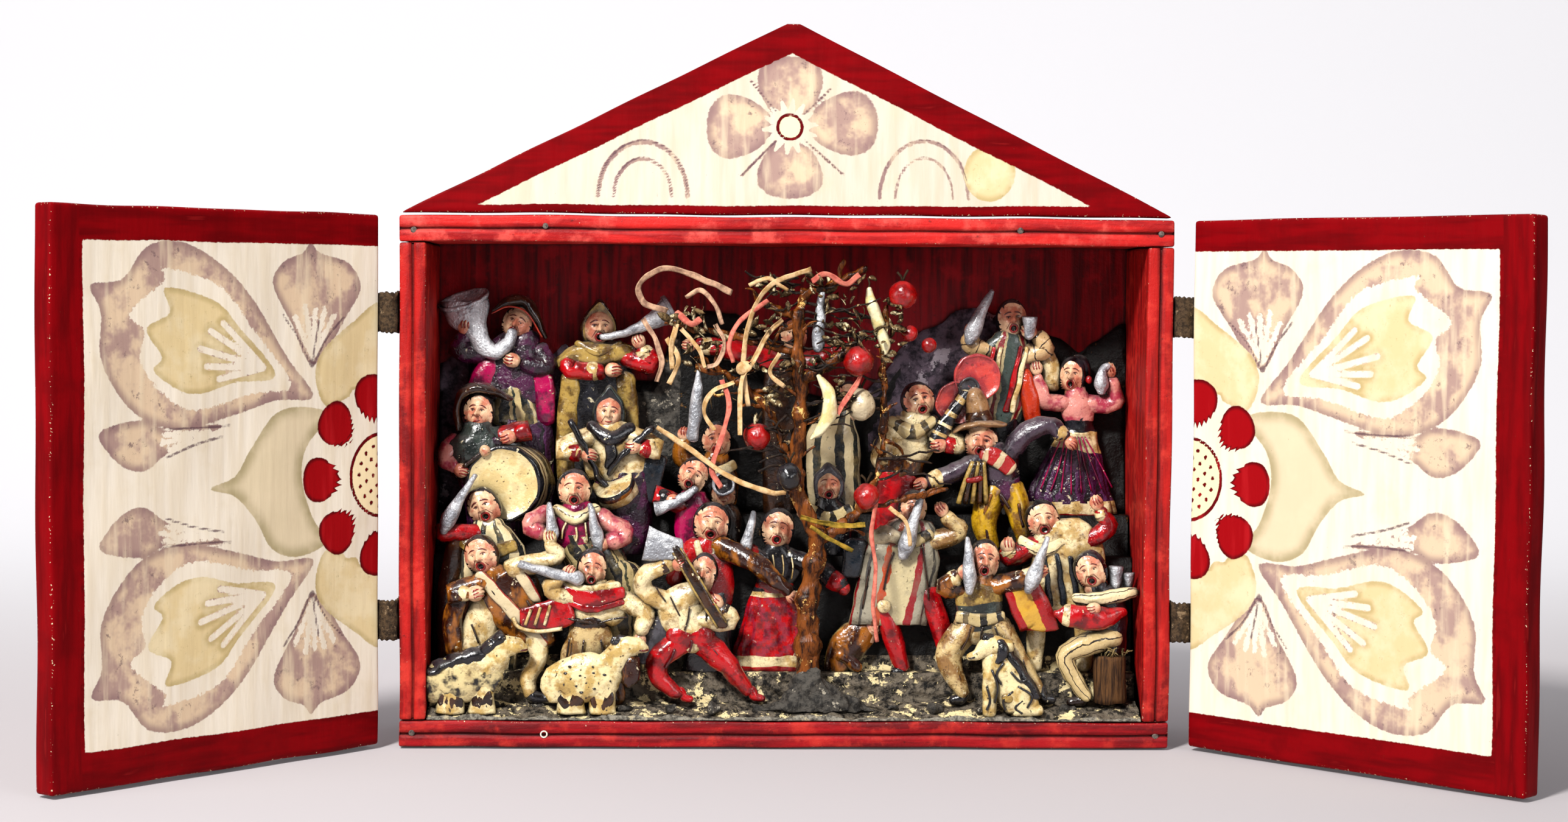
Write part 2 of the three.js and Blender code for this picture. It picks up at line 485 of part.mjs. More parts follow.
    barrels: [[[-26, 108, -5], 4.4, 2.4, 3.4, 10]] },
  { name: "cap_singer", row: "third", deeper: 1, paint: "black",
    body: [[20, foot.third, 0, 9, 4.6], [20, 92, 0, 9, 4.6], [19, 100, 0, 4.6, 4]],
    head: [19, 106.4, 5.6, 7.2, 0], limbs: [] },
  { name: "guitar_player", row: "third", deeper: 1, paint: "cream",
    body: [[48, foot.third, 0, 9, DEEP], [48, 100, 0, 10, DEEP], [50, 115, 0, 9.4, DEEP],
      [53, 127, 0, 11.6, DEEP],
      [56, 136, 0, 6.4, 4.6]],
    head: [57, 143, 6.4, 7.4, -14],
    limbs: [
      [[64, 130, 0, 4.2], [75, 124.4, -1.6, 4.4], [65, 124.4, -4.6, 3.2]],
      [[45, 127, 0, 4.2], [40.6, 118, -2, 3.8]],
    ],
    held: [[[75.4, 142, 3, 2, 1.5], [63.4, 121.6, -1.6, 2, 1.7]]],
    barrels: [[[82, 152.6, 4.4], 9.2, 9.2, 1.7, 12], [[74.6, 143.4, 4.4], 8.2, 8.2, 1.7, 12]] },
  { name: "hat_man", row: "third", deeper: -1, paint: "purple",
    body: [[94, 102, 0, 7.6, DEEP], [91, 112, 0, 8.4, DEEP], [90, 119, 0, 7.4, 4.8], [87, 124, 0, 4.4, 4]],
    head: [84, 125.6, 6.7, 7.6, 8],
    limbs: [
      [[96, 121, -1, 4.2], [103, 130.6, -2.4, 4.2], [113, 133.6, -3.4, 3.8], [122.4, 126, -4.6, 2.6]],
      [[84, 117, -1, 4.4], [72, 112.6, -2.6, 4], [57.4, 108, -3.6, 2.8]],
      [[90, 106, 0, 6, 4.8], [85.6, 93, -1, 4.8], [88, foot.third, -1, 3.4]],
      [[96, 106, 0, 5.4, 4.6], [101.4, 93, -1, 4.2], [104, foot.third, -1, 3.2]],
      [[72.4, 130.6, -0.6, 1, 3.6], [82.6, 133.4, -0.6, 1.8, 6.4], [93.6, 133.6, -0.6, 1, 3.6]],
      [[83, 132, -0.4, 5.2, 4.8], [81.2, 145.4, 0, 3.8, 3.6]],
    ],
    held: [[[82.4, 118, -5.6, 3, 1.8], [80, 101, -5.6, 6.6, 2.2]]] },
  { name: "tuba_player", row: "back", paint: "magenta",
    body: [[-113, foot.back, 0, 13, 4.6], [-113, 120, 0, 14, 4.8], [-116, 135, 0, 17, DEEP],
      [-117, 150, 0, 18, DEEP],
      [-114, 163, 0, 12, 4.8], [-109, 168.4, 0, 4.6, 4]],
    head: [-114.6, 175, 6, 7.4, 24],
    limbs: [
      [[-125, 161, 0, 4.4], [-139, 162.6, -2.4, 4.2], [-136, 173.6, -4, 2.8]],
      [[-105, 162, 0, 4.4], [-101.8, 156, -2.4, 4.4], [-118, 160, -5.4, 3]],
      [[-125.4, 180.4, 2, 1, 4], [-112, 184.4, 2, 3.6, 4.4], [-102.4, 170, 2, 1.2, 4]],
    ],
    held: [[[-135.4, 185, 0, 11.4, 5.4], [-133.6, 176, -1.4, 7, 5.2], [-131, 167.6, -3, 4.6],
      [-124.4, 161.4, -4.4, 4], [-118.6, 164.4, -4.6, 3.4], [-116.6, 171, -4.4, 2.4]]] },
  { name: "long_horn_player", row: "back", paint: "yellow",
    body: [[-80, foot.back, 0, 15, 4.8], [-80, 118, 0, 17, DEEP], [-80, 134, 0, 18, DEEP],
      [-80, 150, 0, 17, DEEP],
      [-79, 161, 0, 13, 4.8], [-79, 166.4, 0, 5, 4]],
    head: [-80, 173, 6.2, 7.6, 0],
    limbs: [
      [[-81, 165, 2, 10, 4.6], [-81, 175.6, 2.2, 8.6, 4.6], [-82, 185.6, 2.6, 1.4, 1.4]],
      [[-90, 160, 0, 4.4], [-91.6, 155.8, -3.8, 4.4], [-74, 156, -5.6, 3]],
      [[-67, 161, -1, 4.2], [-56.6, 160.6, -2.6, 4.2], [-62.4, 168, -4, 3]],
    ],
    held: [[[-78.4, 169.6, -4.4, 1.3], [-66, 172.2, -4.4, 2.2], [-57, 177, -4, 3.4],
      [-50.4, 180.2, -3, 6]]] },
  { name: "hidden_singer", row: "back", paint: "brown",
    body: [[-30, foot.back, 0, 9, 4.6], [-30, 110, 0, 10, 4.8], [-29, 118, 0, 4.6, 4]],
    head: [-29, 125, 5.8, 7.4, 0],
    limbs: [[[-38, 112, 0, 4], [-45, 121, -2, 3.6], [-42.6, 129.6, -3.6, 2.8]]],
    held: [[[-43.4, 124, -5, 3], [-43, 128, -5, 2]]] },
  { name: "red_sleeved_singer", row: "back", deeper: 1, paint: "red",
    body: [[-1, foot.back, 0, 8, 4], [-1, 130, 0, 9, 4], [1, 152, 0, 10, 4], [3, 163, 0, 6, 3.6]],
    head: [4, 171, 5.4, 6.6, 0],
    limbs: [
      [[-4, 159, -1, 4.4], [-22, 164.6, -2, 4.2], [-40, 166.4, -2.6, 3]],
      [[8, 158, -1, 5], [18, 161.6, -2, 6.4, 5], [25, 165, -2, 3]],
    ] },
  { name: "beige_poncho_singer", row: "back", paint: "cream",
    body: [[22, foot.back, 0, 11, 4.6], [21, 112, 0, 12, 4.8], [21, 130, 0, 11, 4.8], [24, 138, 0, 5, 4]],
    head: [28, 143.6, 5.2, 6.6, 0], limbs: [] },
  { name: "tall_man", row: "back", deeper: -0.6, paint: "grey",
    body: [[96, foot.back, 0, 6.4, 4], [95, 118, 0, 7.4, 4], [93.6, 140, 0, 8.6, 4.2],
      [95, 158, 0, 12, 4.4],
      [97, 169.6, 0, 6, 4]],
    head: [98, 178, 6, 7.8, -4],
    limbs: [
      [[91, 162, 0, 4], [79.8, 167, -1, 3.6], [80.2, 175.6, -1.6, 3]],
      [[100, 161, 0, 4.4], [112.6, 165.4, -1.6, 4.2], [105, 173.4, -3.6, 3]],
      [[110, 168, 1, 4, 2.6], [115.4, 150, 1, 4, 2.2]],
      [[104, 154, -1.6, 2.4], [106, 145, -2, 4.8, 3.6], [107.6, 133, -2, 2.6]],
      [[104.6, 173.6, -4.4, 3.2], [104.8, 177.4, -4.4, 3.2]],
    ],
    held: [[[80.4, 170.6, -4.4, 3.4], [88.6, 189.6, -4.4, 1.2]]] },
  { name: "dancer", row: "back", paint: "purple",
    body: [[124, foot.back, 0, 19.5, DEEP], [124, 104, 0, 17.5, DEEP], [126, 119, 0, 12, DEEP],
      [128, 131, 0, 6.4, 4.4],
      [127, 140, 0, 6.8, 4.6], [126, 147.4, 0, 3.6, 3.4]],
    head: [125, 154, 5.2, 7.4, 0],
    limbs: [
      [[123, 142, 0, 3.8], [111, 143.6, -1.6, 3.6], [108.4, 158, -2.8, 2.6]],
      [[130, 142, 0, 3.8], [143.6, 142.6, -1.6, 3.4], [140, 156.6, -2.8, 2.6]],
    ],
    held: [[[136.4, 149, -4, 2.8], [137, 154.6, -4, 2], [143.6, 160.6, -3.6, 1]]] },
];

function figureSolid(f, grow) {
  const row = ROW[f.row] + (f.deeper ?? 0);
  const [hx, hz, wide, tall, tilt] = f.head;
  const parts = [
    tube(row, [...f.body, [hx, hz, 0, NECK]], SIDES.body, grow),
    ball(row, [hx, hz, 0.3], [wide + HAIR, wide + HAIR, tall + HAIR], tilt, SIDES.head, grow),
  ];
  for (const path of f.limbs) parts.push(tube(row, path, SIDES.limb, grow));
  for (const path of f.held ?? []) parts.push(tube(row, path, SIDES.limb, grow));
  for (const [place, r, backR, half, sides] of f.barrels ?? []) {
    parts.push(barrel(row, place, r, backR, half, sides, grow));
  }
  return join(parts);
}

// Animals: a body, a neck with a head, and legs that stand on a small foot of paste.
const ANIMALS = [
  { name: "sheep_left", parts: [
    [[-140, 13.9, 0, 5, 3.2], [-140, 27, 0, 6, 3.7]], [[-127, 13.9, 0, 5, 3.2], [-127, 27, 0, 6, 3.7]],
    [[-146, 25, 0, 6, 3], [-139, 27, 0, 10.5, 3.8], [-121, 29, 0, 8, 3.4]],
    [[-126, 29, 0, 6, 3.6], [-117.6, 40.6, -0.4, 5, 3.6], [-107, 41, -0.8, 2.4, 2.2]]] },
  { name: "sheep_right", parts: [
    [[-90, 13.9, 0, 5.4, 3.2], [-90, 27, 0, 7, 3.7]], [[-77, 13.9, 0, 5.4, 3.2], [-77, 27, 0, 6.4, 3.7]],
    [[-96, 25, 0, 7, 3], [-89, 27, 0, 11, 3.8], [-72, 28, 0, 9, 3.4]],
    [[-80, 31, 0, 6, 3.6], [-71.6, 42, -0.4, 5.2, 3.6], [-61.8, 42, -0.8, 2.6, 2.2]]] },
  { name: "dog", parts: [
    [[85.4, 13.9, 0, 2.6, 3], [86, 26, 0, 4, 3.4], [87, 38, 0, 4.6, 3.6]],
    [[100, 15.4, 0, 7, 3.8], [97, 22, 0, 9, 3.8], [91, 31, 0, 6.4, 3.6], [87, 38, 0, 4, 3.4]],
    [[85, 15.9, 0, 2.2, 3], [106, 16, 0, 2.4, 3.2]],
    [[92, 41, 0, 3.4, 3], [85, 42, -0.4, 5, 3.6], [77, 38.4, -0.6, 2, 2]]] },
];

// The front pieces are whole. Each piece behind is relieved where one in front of it would touch.
function paste(pieces, base) {
  const done = [base];
  const boxesMeet = (a, c) => [0, 1, 2].every((k) => a.min[k] < c.max[k] && c.min[k] < a.max[k]);
  for (const p of pieces) {
    let solid = p.make(0);
    for (const other of done) {
      if (!boxesMeet(solid.boundingBox(), other.grown.boundingBox())) continue;
      if (solid.intersect(other.grown).volume() === 0) continue;
      solid = solid.subtract(other.grown);
    }
    solid = solid.decompose().reduce((a, c) => (c.volume() > a.volume() ? c : a));
    done.push({ name: p.name, paint: p.paint, solid, grown: p.make(CLEAR) });
  }
  return done;
}

// ---- Scene graph -----------------------------------------------------------------------------------
const shrine = new THREE.Group();
shrine.add(...caseMeshes(), gableMesh(), ...caseStraps(), doorGroup(-1), doorGroup(1));
shrine.add(meshOf("plaster_ground", groundSolid(), PAINT.plaster), hillMesh(), stoolMesh());
shrine.add(treeMesh(), ...hangingMeshes());
const animalPieces = ANIMALS.map(({ name, parts }) => ({
  name,
  paint: "cream",
  make: (grow) => join(parts.map((path) => tube(ROW.animal, path, SIDES.limb, grow))),
}));
const figurePieces = FIGURES.map((f) => ({
  name: f.name,
  paint: f.paint,
  make: (grow) => figureSolid(f, grow),
}));
const base = { grown: groundSolid(CLEAR) };
for (const { name, paint, solid } of paste([...animalPieces, ...figurePieces], base).slice(1)) {
  shrine.add(meshOf(name, solid, PAINT[paint]));
}

export default shrine;
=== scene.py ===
"""Folding shrine box: a painted case with a gable and two doors on leather straps, holding a crowd of
modelled paste figures round a natural tree. Metres in the scene; the pieces are drawn in millimetres."""

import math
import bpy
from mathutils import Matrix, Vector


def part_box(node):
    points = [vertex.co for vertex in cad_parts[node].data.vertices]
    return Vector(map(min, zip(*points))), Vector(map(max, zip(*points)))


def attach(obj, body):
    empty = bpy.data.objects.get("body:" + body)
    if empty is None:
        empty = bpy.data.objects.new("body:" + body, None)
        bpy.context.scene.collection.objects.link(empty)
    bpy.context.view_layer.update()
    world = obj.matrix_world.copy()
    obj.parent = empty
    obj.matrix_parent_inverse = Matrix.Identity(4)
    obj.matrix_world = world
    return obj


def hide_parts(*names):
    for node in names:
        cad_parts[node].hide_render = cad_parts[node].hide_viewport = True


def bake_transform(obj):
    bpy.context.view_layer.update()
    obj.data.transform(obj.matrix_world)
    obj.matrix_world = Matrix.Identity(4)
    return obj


bl_info = {
    "name": "Folding shrine box",
    "version": (1, 0, 0),
    "blender": (4, 5, 0),
    "location": "View3D > Sidebar > Shrine",
    "description": "Builds a painted folding shrine box with its figures, tree and stage",
    "category": "Object",
}

import bpy
import numpy as np
from mathutils import Matrix, Vector

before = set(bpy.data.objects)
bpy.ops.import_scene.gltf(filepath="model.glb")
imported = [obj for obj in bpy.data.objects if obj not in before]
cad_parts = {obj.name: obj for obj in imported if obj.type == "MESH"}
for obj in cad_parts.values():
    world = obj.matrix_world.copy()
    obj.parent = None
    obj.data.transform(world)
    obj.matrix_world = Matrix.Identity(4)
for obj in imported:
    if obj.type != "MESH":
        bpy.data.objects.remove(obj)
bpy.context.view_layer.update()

MM = 0.001
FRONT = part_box("case_floor")[0].y / MM  # front edge of the case, millimetres
CASE_LOW, CASE_HIGH = (np.array(v) / MM for v in (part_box("case_floor")[0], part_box("case_top")[1]))
BOARD = CASE_HIGH[2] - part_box("case_top")[0].z / MM
OPEN_DEGREES = 132  # how far each door stands open from shut
DOOR_SIZE = (159.2, 219.4, 10.2)  # width, height and thickness
DOOR_EASE = 0.15  # how far the inner face is set back, so that worn edges clear when shut
STRAP_HEIGHTS = ((1, 180), (2, 53))
TURN = 2.399  # radians from one scattered thing to the next, so that they never line up


# ---- Colour and nodes ------------------------------------------------------------------------------
def colour(hex_code, alpha=1.0):
    """A six-figure sRGB hex colour as the linear colour that Blender's sockets hold."""
    parts = [int(hex_code[i : i + 2], 16) / 255 for i in (0, 2, 4)]
    return [c / 12.92 if c <= 0.04045 else ((c + 0.055) / 1.055) ** 2.4 for c in parts] + [alpha]


def add(tree, kind, links=None, **settings):
    """Adds a node with its settings; links gives each input a value or another node's output."""
    node = tree.nodes.new(kind)
    for key, value in settings.items():
        setattr(node, key, value)
    for key, value in (links or {}).items():
        if isinstance(value, bpy.types.NodeSocket):
            tree.links.new(value, node.inputs[key])
        else:
            node.inputs[key].default_value = value
    return node


def per(size_mm):
    """Noise scale whose lumps are about size_mm across."""
    return 1 / (size_mm * MM)


def new_material(name):
    material = bpy.data.materials.new(name)
    material.use_nodes = True
    tree = material.node_tree
    tree.nodes.clear()
    shader = add(tree, "ShaderNodeBsdfPrincipled")
    add(tree, "ShaderNodeOutputMaterial", {"Surface": shader.outputs[0]})
    place = add(tree, "ShaderNodeTexCoord").outputs["Object"]
    return material, tree, shader, place


def mixed(tree, share, a, b):
    """Colour a where share is 0 and b where it is 1."""
    return add(tree, "ShaderNodeMix", {0: share, 6: a, 7: b}, data_type="RGBA").outputs[2]


def sharpened(tree, value, low, high, to_low=0.0, to_high=1.0):
    links = {"Value": value, "From Min": low, "From Max": high, "To Min": to_low, "To Max": to_high}
    return add(tree, "ShaderNodeMapRange", links, interpolation_type="SMOOTHSTEP").outputs[0]


def clouds(tree, place, size_mm, detail=2.0, rough=0.5, stretch=None):
    """Soft noise of a given size; stretch makes it longer along each axis by that much."""
    if stretch:
        shorter = [1 / s for s in stretch]
        place = add(tree, "ShaderNodeMapping", {"Vector": place, "Scale": shorter}).outputs[0]
    links = {"Vector": place, "Scale": per(size_mm), "Detail": detail, "Roughness": rough}
    return add(tree, "ShaderNodeTexNoise", links).outputs["Fac"]


def maths(tree, operation, *values):
    """One sum on a node, of values or other nodes' outputs."""
    return add(tree, "ShaderNodeMath", dict(enumerate(values)), operation=operation).outputs[0]


def product(tree, a, b):
    return maths(tree, "MULTIPLY", a, b)


def bumped(tree, shader, height, depth_mm, strength=1.0, socket="Normal"):
    links = {"Height": height, "Distance": depth_mm * MM, "Strength": strength}
    tree.links.new(add(tree, "ShaderNodeBump", links).outputs[0], shader.inputs[socket])


PASTE = {}


def paste(name, base, shade, dust=0.35, chips=0.0, gloss=0.22, streaks=None, metallic=0.0, lumps=0.1,
          bands=None, specks=0.5, age=0.0):
    """Hard potato-and-plaster paste, painted with water paint and varnished: glossy and a little lumpy,
    with brush patches of a second tone, dark specks, painted shade darkening the creases and dust on what
    faces up.
    bands = (axis, period in mm, wobble in mm, [(start, colour), ...]) are stripes painted round or along."""
    material, tree, shader, place = new_material(name)
    patches = clouds(tree, place, 7, 3, 0.6, streaks)
    body = mixed(tree, sharpened(tree, patches, 0.44, 0.6), colour(base), colour(shade))
    if bands:
        axis, period, wobble, steps = bands
        cloth = add(tree, "ShaderNodeUVMap", uv_map="cloth").outputs[0]
        split = add(tree, "ShaderNodeSeparateXYZ", {0: cloth})
        drift = maths(tree, "MULTIPLY_ADD", clouds(tree, place, 5, 3), wobble / 100, split.outputs[axis])
        share = product(tree, drift, 100 / period)
        share = maths(tree, "FRACT", share)
        ramp = add(tree, "ShaderNodeValToRGB", {"Fac": share})
        ramp.color_ramp.interpolation = "CONSTANT"
        for i, (start, hex_code) in enumerate(steps):
            stop = ramp.color_ramp.elements[i] if i < 2 else ramp.color_ramp.elements.new(start)
            stop.position = start
            stop.color = colour(hex_code or base)
        body = mixed(tree, product(tree, sharpened(tree, patches, 0.45, 0.7), 0.45), ramp.outputs[0],
                     colour(shade))
    if age:  # old varnish has pooled and gone amber
        body = mixed(tree, sharpened(tree, clouds(tree, place, 6, 5, 0.7), 0.5, 0.68, 0, age), body,
                     colour("5e3608"))
        vein = maths(tree, "SUBTRACT", clouds(tree, place, 5, 2), 0.5)
        vein = maths(tree, "ABSOLUTE", vein)
        body = mixed(tree, sharpened(tree, vein, 0.008, 0.003, 0, age * 0.8), body, colour("2c1408"))
    dots = sharpened(tree, clouds(tree, place, 1.5, 1), 0.69, 0.73, 0, specks)
    body = mixed(tree, dots, body, colour("2a1c14"))
    if chips:
        flakes = clouds(tree, place, 3.2, 4, 0.7)
        lost = sharpened(tree, flakes, 0.70 - chips * 0.2, 0.715 - chips * 0.2)
        body = mixed(tree, lost, body, colour("d8cba9"))
    # painted shade: ambient occlusion darkens the creases towards near black
    crease_shade = add(tree, "ShaderNodeAmbientOcclusion", {"Distance": 7 * MM}, samples=5).outputs["AO"]
    body = mixed(tree, sharpened(tree, crease_shade, 0.25, 0.9, 0.97, 0), body, colour("0e0806"))
    normal = add(tree, "ShaderNodeNewGeometry").outputs["Normal"]
    up = add(tree, "ShaderNodeSeparateXYZ", {0: normal}).outputs[2]
    settled = product(tree, sharpened(tree, up, 0.25, 0.95),
                      sharpened(tree, clouds(tree, place, 4, 4), 0.3, 0.6))
    settled = product(tree, settled, dust * 0.4)
    body = mixed(tree, settled, body, colour("8f8887"))
    tree.links.new(body, shader.inputs["Base Color"])
    wet = sharpened(tree, clouds(tree, place, 2.5, 3), 0.3, 0.7, gloss * 0.6, gloss * 1.7)
    wet = maths(tree, "MULTIPLY_ADD", settled, 0.6, wet)
    tree.links.new(wet, shader.inputs["Roughness"])
    shader.inputs["Metallic"].default_value = metallic
    shader.inputs["IOR"].default_value = 1.5
    shader.inputs["Coat Weight"].default_value = 0.4
    shader.inputs["Coat Roughness"].default_value = 0.14
    bumped(tree, shader, clouds(tree, place, 1.3, 3, 0.55), lumps * 3)
    PASTE[name] = material
    return material


def paste_paints():
    cream, black, red = "ecd8a8", "060508", "b0060f"
    paste("flesh paste", "ecbf98", "cc7c60", dust=0.2, specks=0.5, age=0.35)
    paste("cream paste", cream, "bc9a5c", dust=0.3, chips=0.2, age=0.7)
    paste("aged cream paste", "c9ae78", "8a6434", dust=0.3, chips=0.3, age=0.9)
    paste("dusty cream paste", "b3a383", "85785f", dust=0.9, chips=0.2, age=0.5)
    paste("black paste", black, "1c1c22", dust=0.4, chips=0.2, gloss=0.16)
    paste("grey paste", "4a484e", "26252a", dust=0.9, chips=0.25)
    paste("pale grey paste", "97918b", "5c5853", dust=0.6, chips=0.25)
    paste("green grey paste", "2f3833", "151b19", dust=0.6, chips=0.25)
    paste("red paste", red, "6c040a", dust=0.25, chips=0.12, gloss=0.15)
    paste("dusty red paste", "96182c", "5a0c1c", dust=0.8, chips=0.16)
    paste("coral paste", "c8443c", "a03034", dust=0.5)
    paste("drum skin paste", "e6d29c", "d6bc80", dust=0.3, specks=0.7, age=0.2)
    paste("pink paste", "d88c80", "a83248", dust=0.4, chips=0.12, age=0.2)
    paste("magenta paste", "a8024a", "58022e", dust=0.25, gloss=0.16, chips=0.12)
    paste("purple paste", "1a0416", "461038", dust=0.4, gloss=0.13, lumps=0.22, chips=0.1)
    paste("purple grey paste", "42323f", "241824", dust=0.8)
    paste("brown varnished paste", "2c1006", "9a5a16", dust=0.25, gloss=0.13, streaks=(1, 1, 1.8), chips=0.26)
    paste("dark brown paste", "1c0d07", "3c210e", dust=0.4, gloss=0.16, chips=0.16)
    paste("ochre paste", "a88a44", "5a4218", dust=0.6, chips=0.25, age=0.5)
    paste("yellow paste", "c99c18", "7c5410", dust=0.35, age=0.5)
    paste("orange paste", "b8300c", "8c1608", dust=0.2, gloss=0.16)
    paste("tan felt paste", "96714a", "6e4e30", dust=0.8)
    paste("olive paste", "4c3f1d", "2c240f", dust=0.0)
    paste("navy paste", "131d27", "0c1118", dust=0.5)
    paste("painted line", "6a1512", "4f1114", dust=0.1, specks=0)
    paste("dark red painted line", "48020a", "300208", dust=0.1, specks=0)
    paste("red painted line", "96120c", "7c0c0a", dust=0.1, specks=0)
    paste("dark painted line", "140d10", "24141c", dust=0.1, specks=0)
    # Aluminium powder in varnish: a dull grey metal with coarse brushed lumps.
    paste("silver paint", "c6c8cc", "8f9197", dust=0.2, gloss=0.34, metallic=0.4, lumps=0.28, specks=0.3)
    paste("banana paste", "e8dcb2", "d6c384", dust=0.1, gloss=0.2, specks=0.2)
    paste("red ball varnish", "a60808", "7a0406", dust=0.25, gloss=0.2, specks=0.2)
    paste("speckled cream paste", "c9b795", "a08d6c", dust=0.4, specks=0.95)
    paste("sheepskin paste", "e6d4a0", "bc9c58", dust=0.2, specks=0.9, age=0.5)
    paste("flecked fleece paste", "d0bd88", "0f0d0c", dust=0.3, specks=0.9, age=0.4)
    paste("cream and black poncho", cream, "a98f5c", dust=0.5, chips=0.15,
          bands=("X", 15, 2.2, [(0, "171c1b"), (0.22, None), (0.5, "2f3531"), (0.68, None)]))
    paste("grey and red poncho", "9c9480", "77705f", dust=0.6, chips=0.15,
          bands=("X", 21, 2.5, [(0, "8a1018"), (0.1, None), (0.36, "4b4844"), (0.5, None), (0.72, "b4441c"),
                                (0.8, "c4b48a")]))
    paste("grey green poncho", "4e5a55", "35403d", dust=0.6, chips=0.15,
          bands=("X", 12, 3, [(0, "39453f"), (0.3, "b9a77c"), (0.4, "8f1420"), (0.62, "b9a77c"),
                              (0.72, "39453f")]))
    paste("red and yellow cloth", "9c0e12", "6c0810", dust=0.35, gloss=0.2,
          bands=("X", 11, 1.6, [(0, "9c0e12"), (0.62, "c99a34"), (0.86, "9c0e12")]))
    paste("cream cloth with black lines", cream, "a98f5c", dust=0.35,
          bands=("X", 5.2, 5, [(0, "1a1416"), (0.13, None)]))
    paste("cream sleeve with black rings", "cfae7c", "b08656", dust=0.35,
          bands=("Y", 5, 3, [(0, "1a1416"), (0.12, None)]))
    paste("cream and black scarf", "bda877", "9a8458", dust=0.4,
          bands=("Y", 7, 5, [(0, "14120f"), (0.42, None)]))
    paste("cream and black skirt", "bda877", "8f7c4e", dust=0.3, chips=0.1,
          bands=("X", 8, 4, [(0, "101314"), (0.45, None), (0.6, "1c2a22"), (0.7, None)]))
    paste("red and white scarf", "a31414", "7c0c10", dust=0.3,
          bands=("Y", 7, 3, [(0, "a31414"), (0.62, "cdb58e")]))
    paste("white band with a red line", "cdbb95", "ae9a70", dust=0.3,
          bands=("X", 9, 0.6, [(0, "cdbb95"), (0.36, "9a1418"), (0.62, "cdbb95")]))
    paste("striped drum side", "bda77c", "8f7a52", dust=0.3,
          bands=("Y", 6.4, 1.6, [(0, "120f10"), (0.36, None), (0.56, "4a220c"), (0.7, None)]))
    paste("purple and black skirt", "1d0c1f", "562a52", dust=0.7, gloss=0.14, chips=0.3, lumps=0.24,
          bands=("X", 6, 5, [(0, "34092f"), (0.5, "0e0b10"), (0.8, "4a1f48")]))
    paste("cream legging with black strokes", "cbb27e", "a48a52", dust=0.3,
          bands=("X", 4.6, 4.2, [(0, "241a14"), (0.14, None)]))


# ---- Shells of paste -------------------------------------------------------------------------------
def spans(rows, steps):
    """The soft curve through all the rows but the first and the last, as a list of its spans."""
    out = []
    t = np.linspace(0, 1, steps, endpoint=False)[:, None]
    for a, b, c, d in zip(rows, rows[1:], rows[2:], rows[3:]):
        bend, rise = 2 * a - 5 * b + 4 * c - d, 3 * b - a - 3 * c + d
        out.append(0.5 * (2 * b + (c - a) * t + bend * t**2 + rise * t**3))
    return out


def smooth(points, steps):
    """A soft curve through points of any number of columns, with steps pieces between each two."""
    p = np.array(points, float)
    if len(p) < 3:
        t = np.linspace(0, 1, steps * 2 + 1)[:, None]
        return p[0] * (1 - t) + p[-1] * t
    return np.vstack(spans(np.vstack([2 * p[0] - p[1], p, 2 * p[-1] - p[-2]]), steps) + [p[-1:]])


def hand_wobble(points, size, amount):
    """Moves points a little, as soft paste shaped by fingers: waves of about size mm, amount mm high."""
    p = np.asarray(points, float)
    moved = p.copy()
    for k, (a, b, c) in enumerate([(1.0, 0.6, 0.3), (0.4, 1.1, -0.7), (-0.8, 0.5, 1.0)]):
        wave = p @ np.array([a, b, c]) * (2 * math.pi / (size * (1 + 0.37 * k)))
        moved[..., 0] += amount * 0.5 * np.sin(wave + 1.7 * k)
        moved[..., 1] += amount * 0.5 * np.sin(wave * 1.13 + 0.6 + k)
        moved[..., 2] += amount * 0.5 * np.cos(wave * 0.91 + 2.1 * k)
    return moved


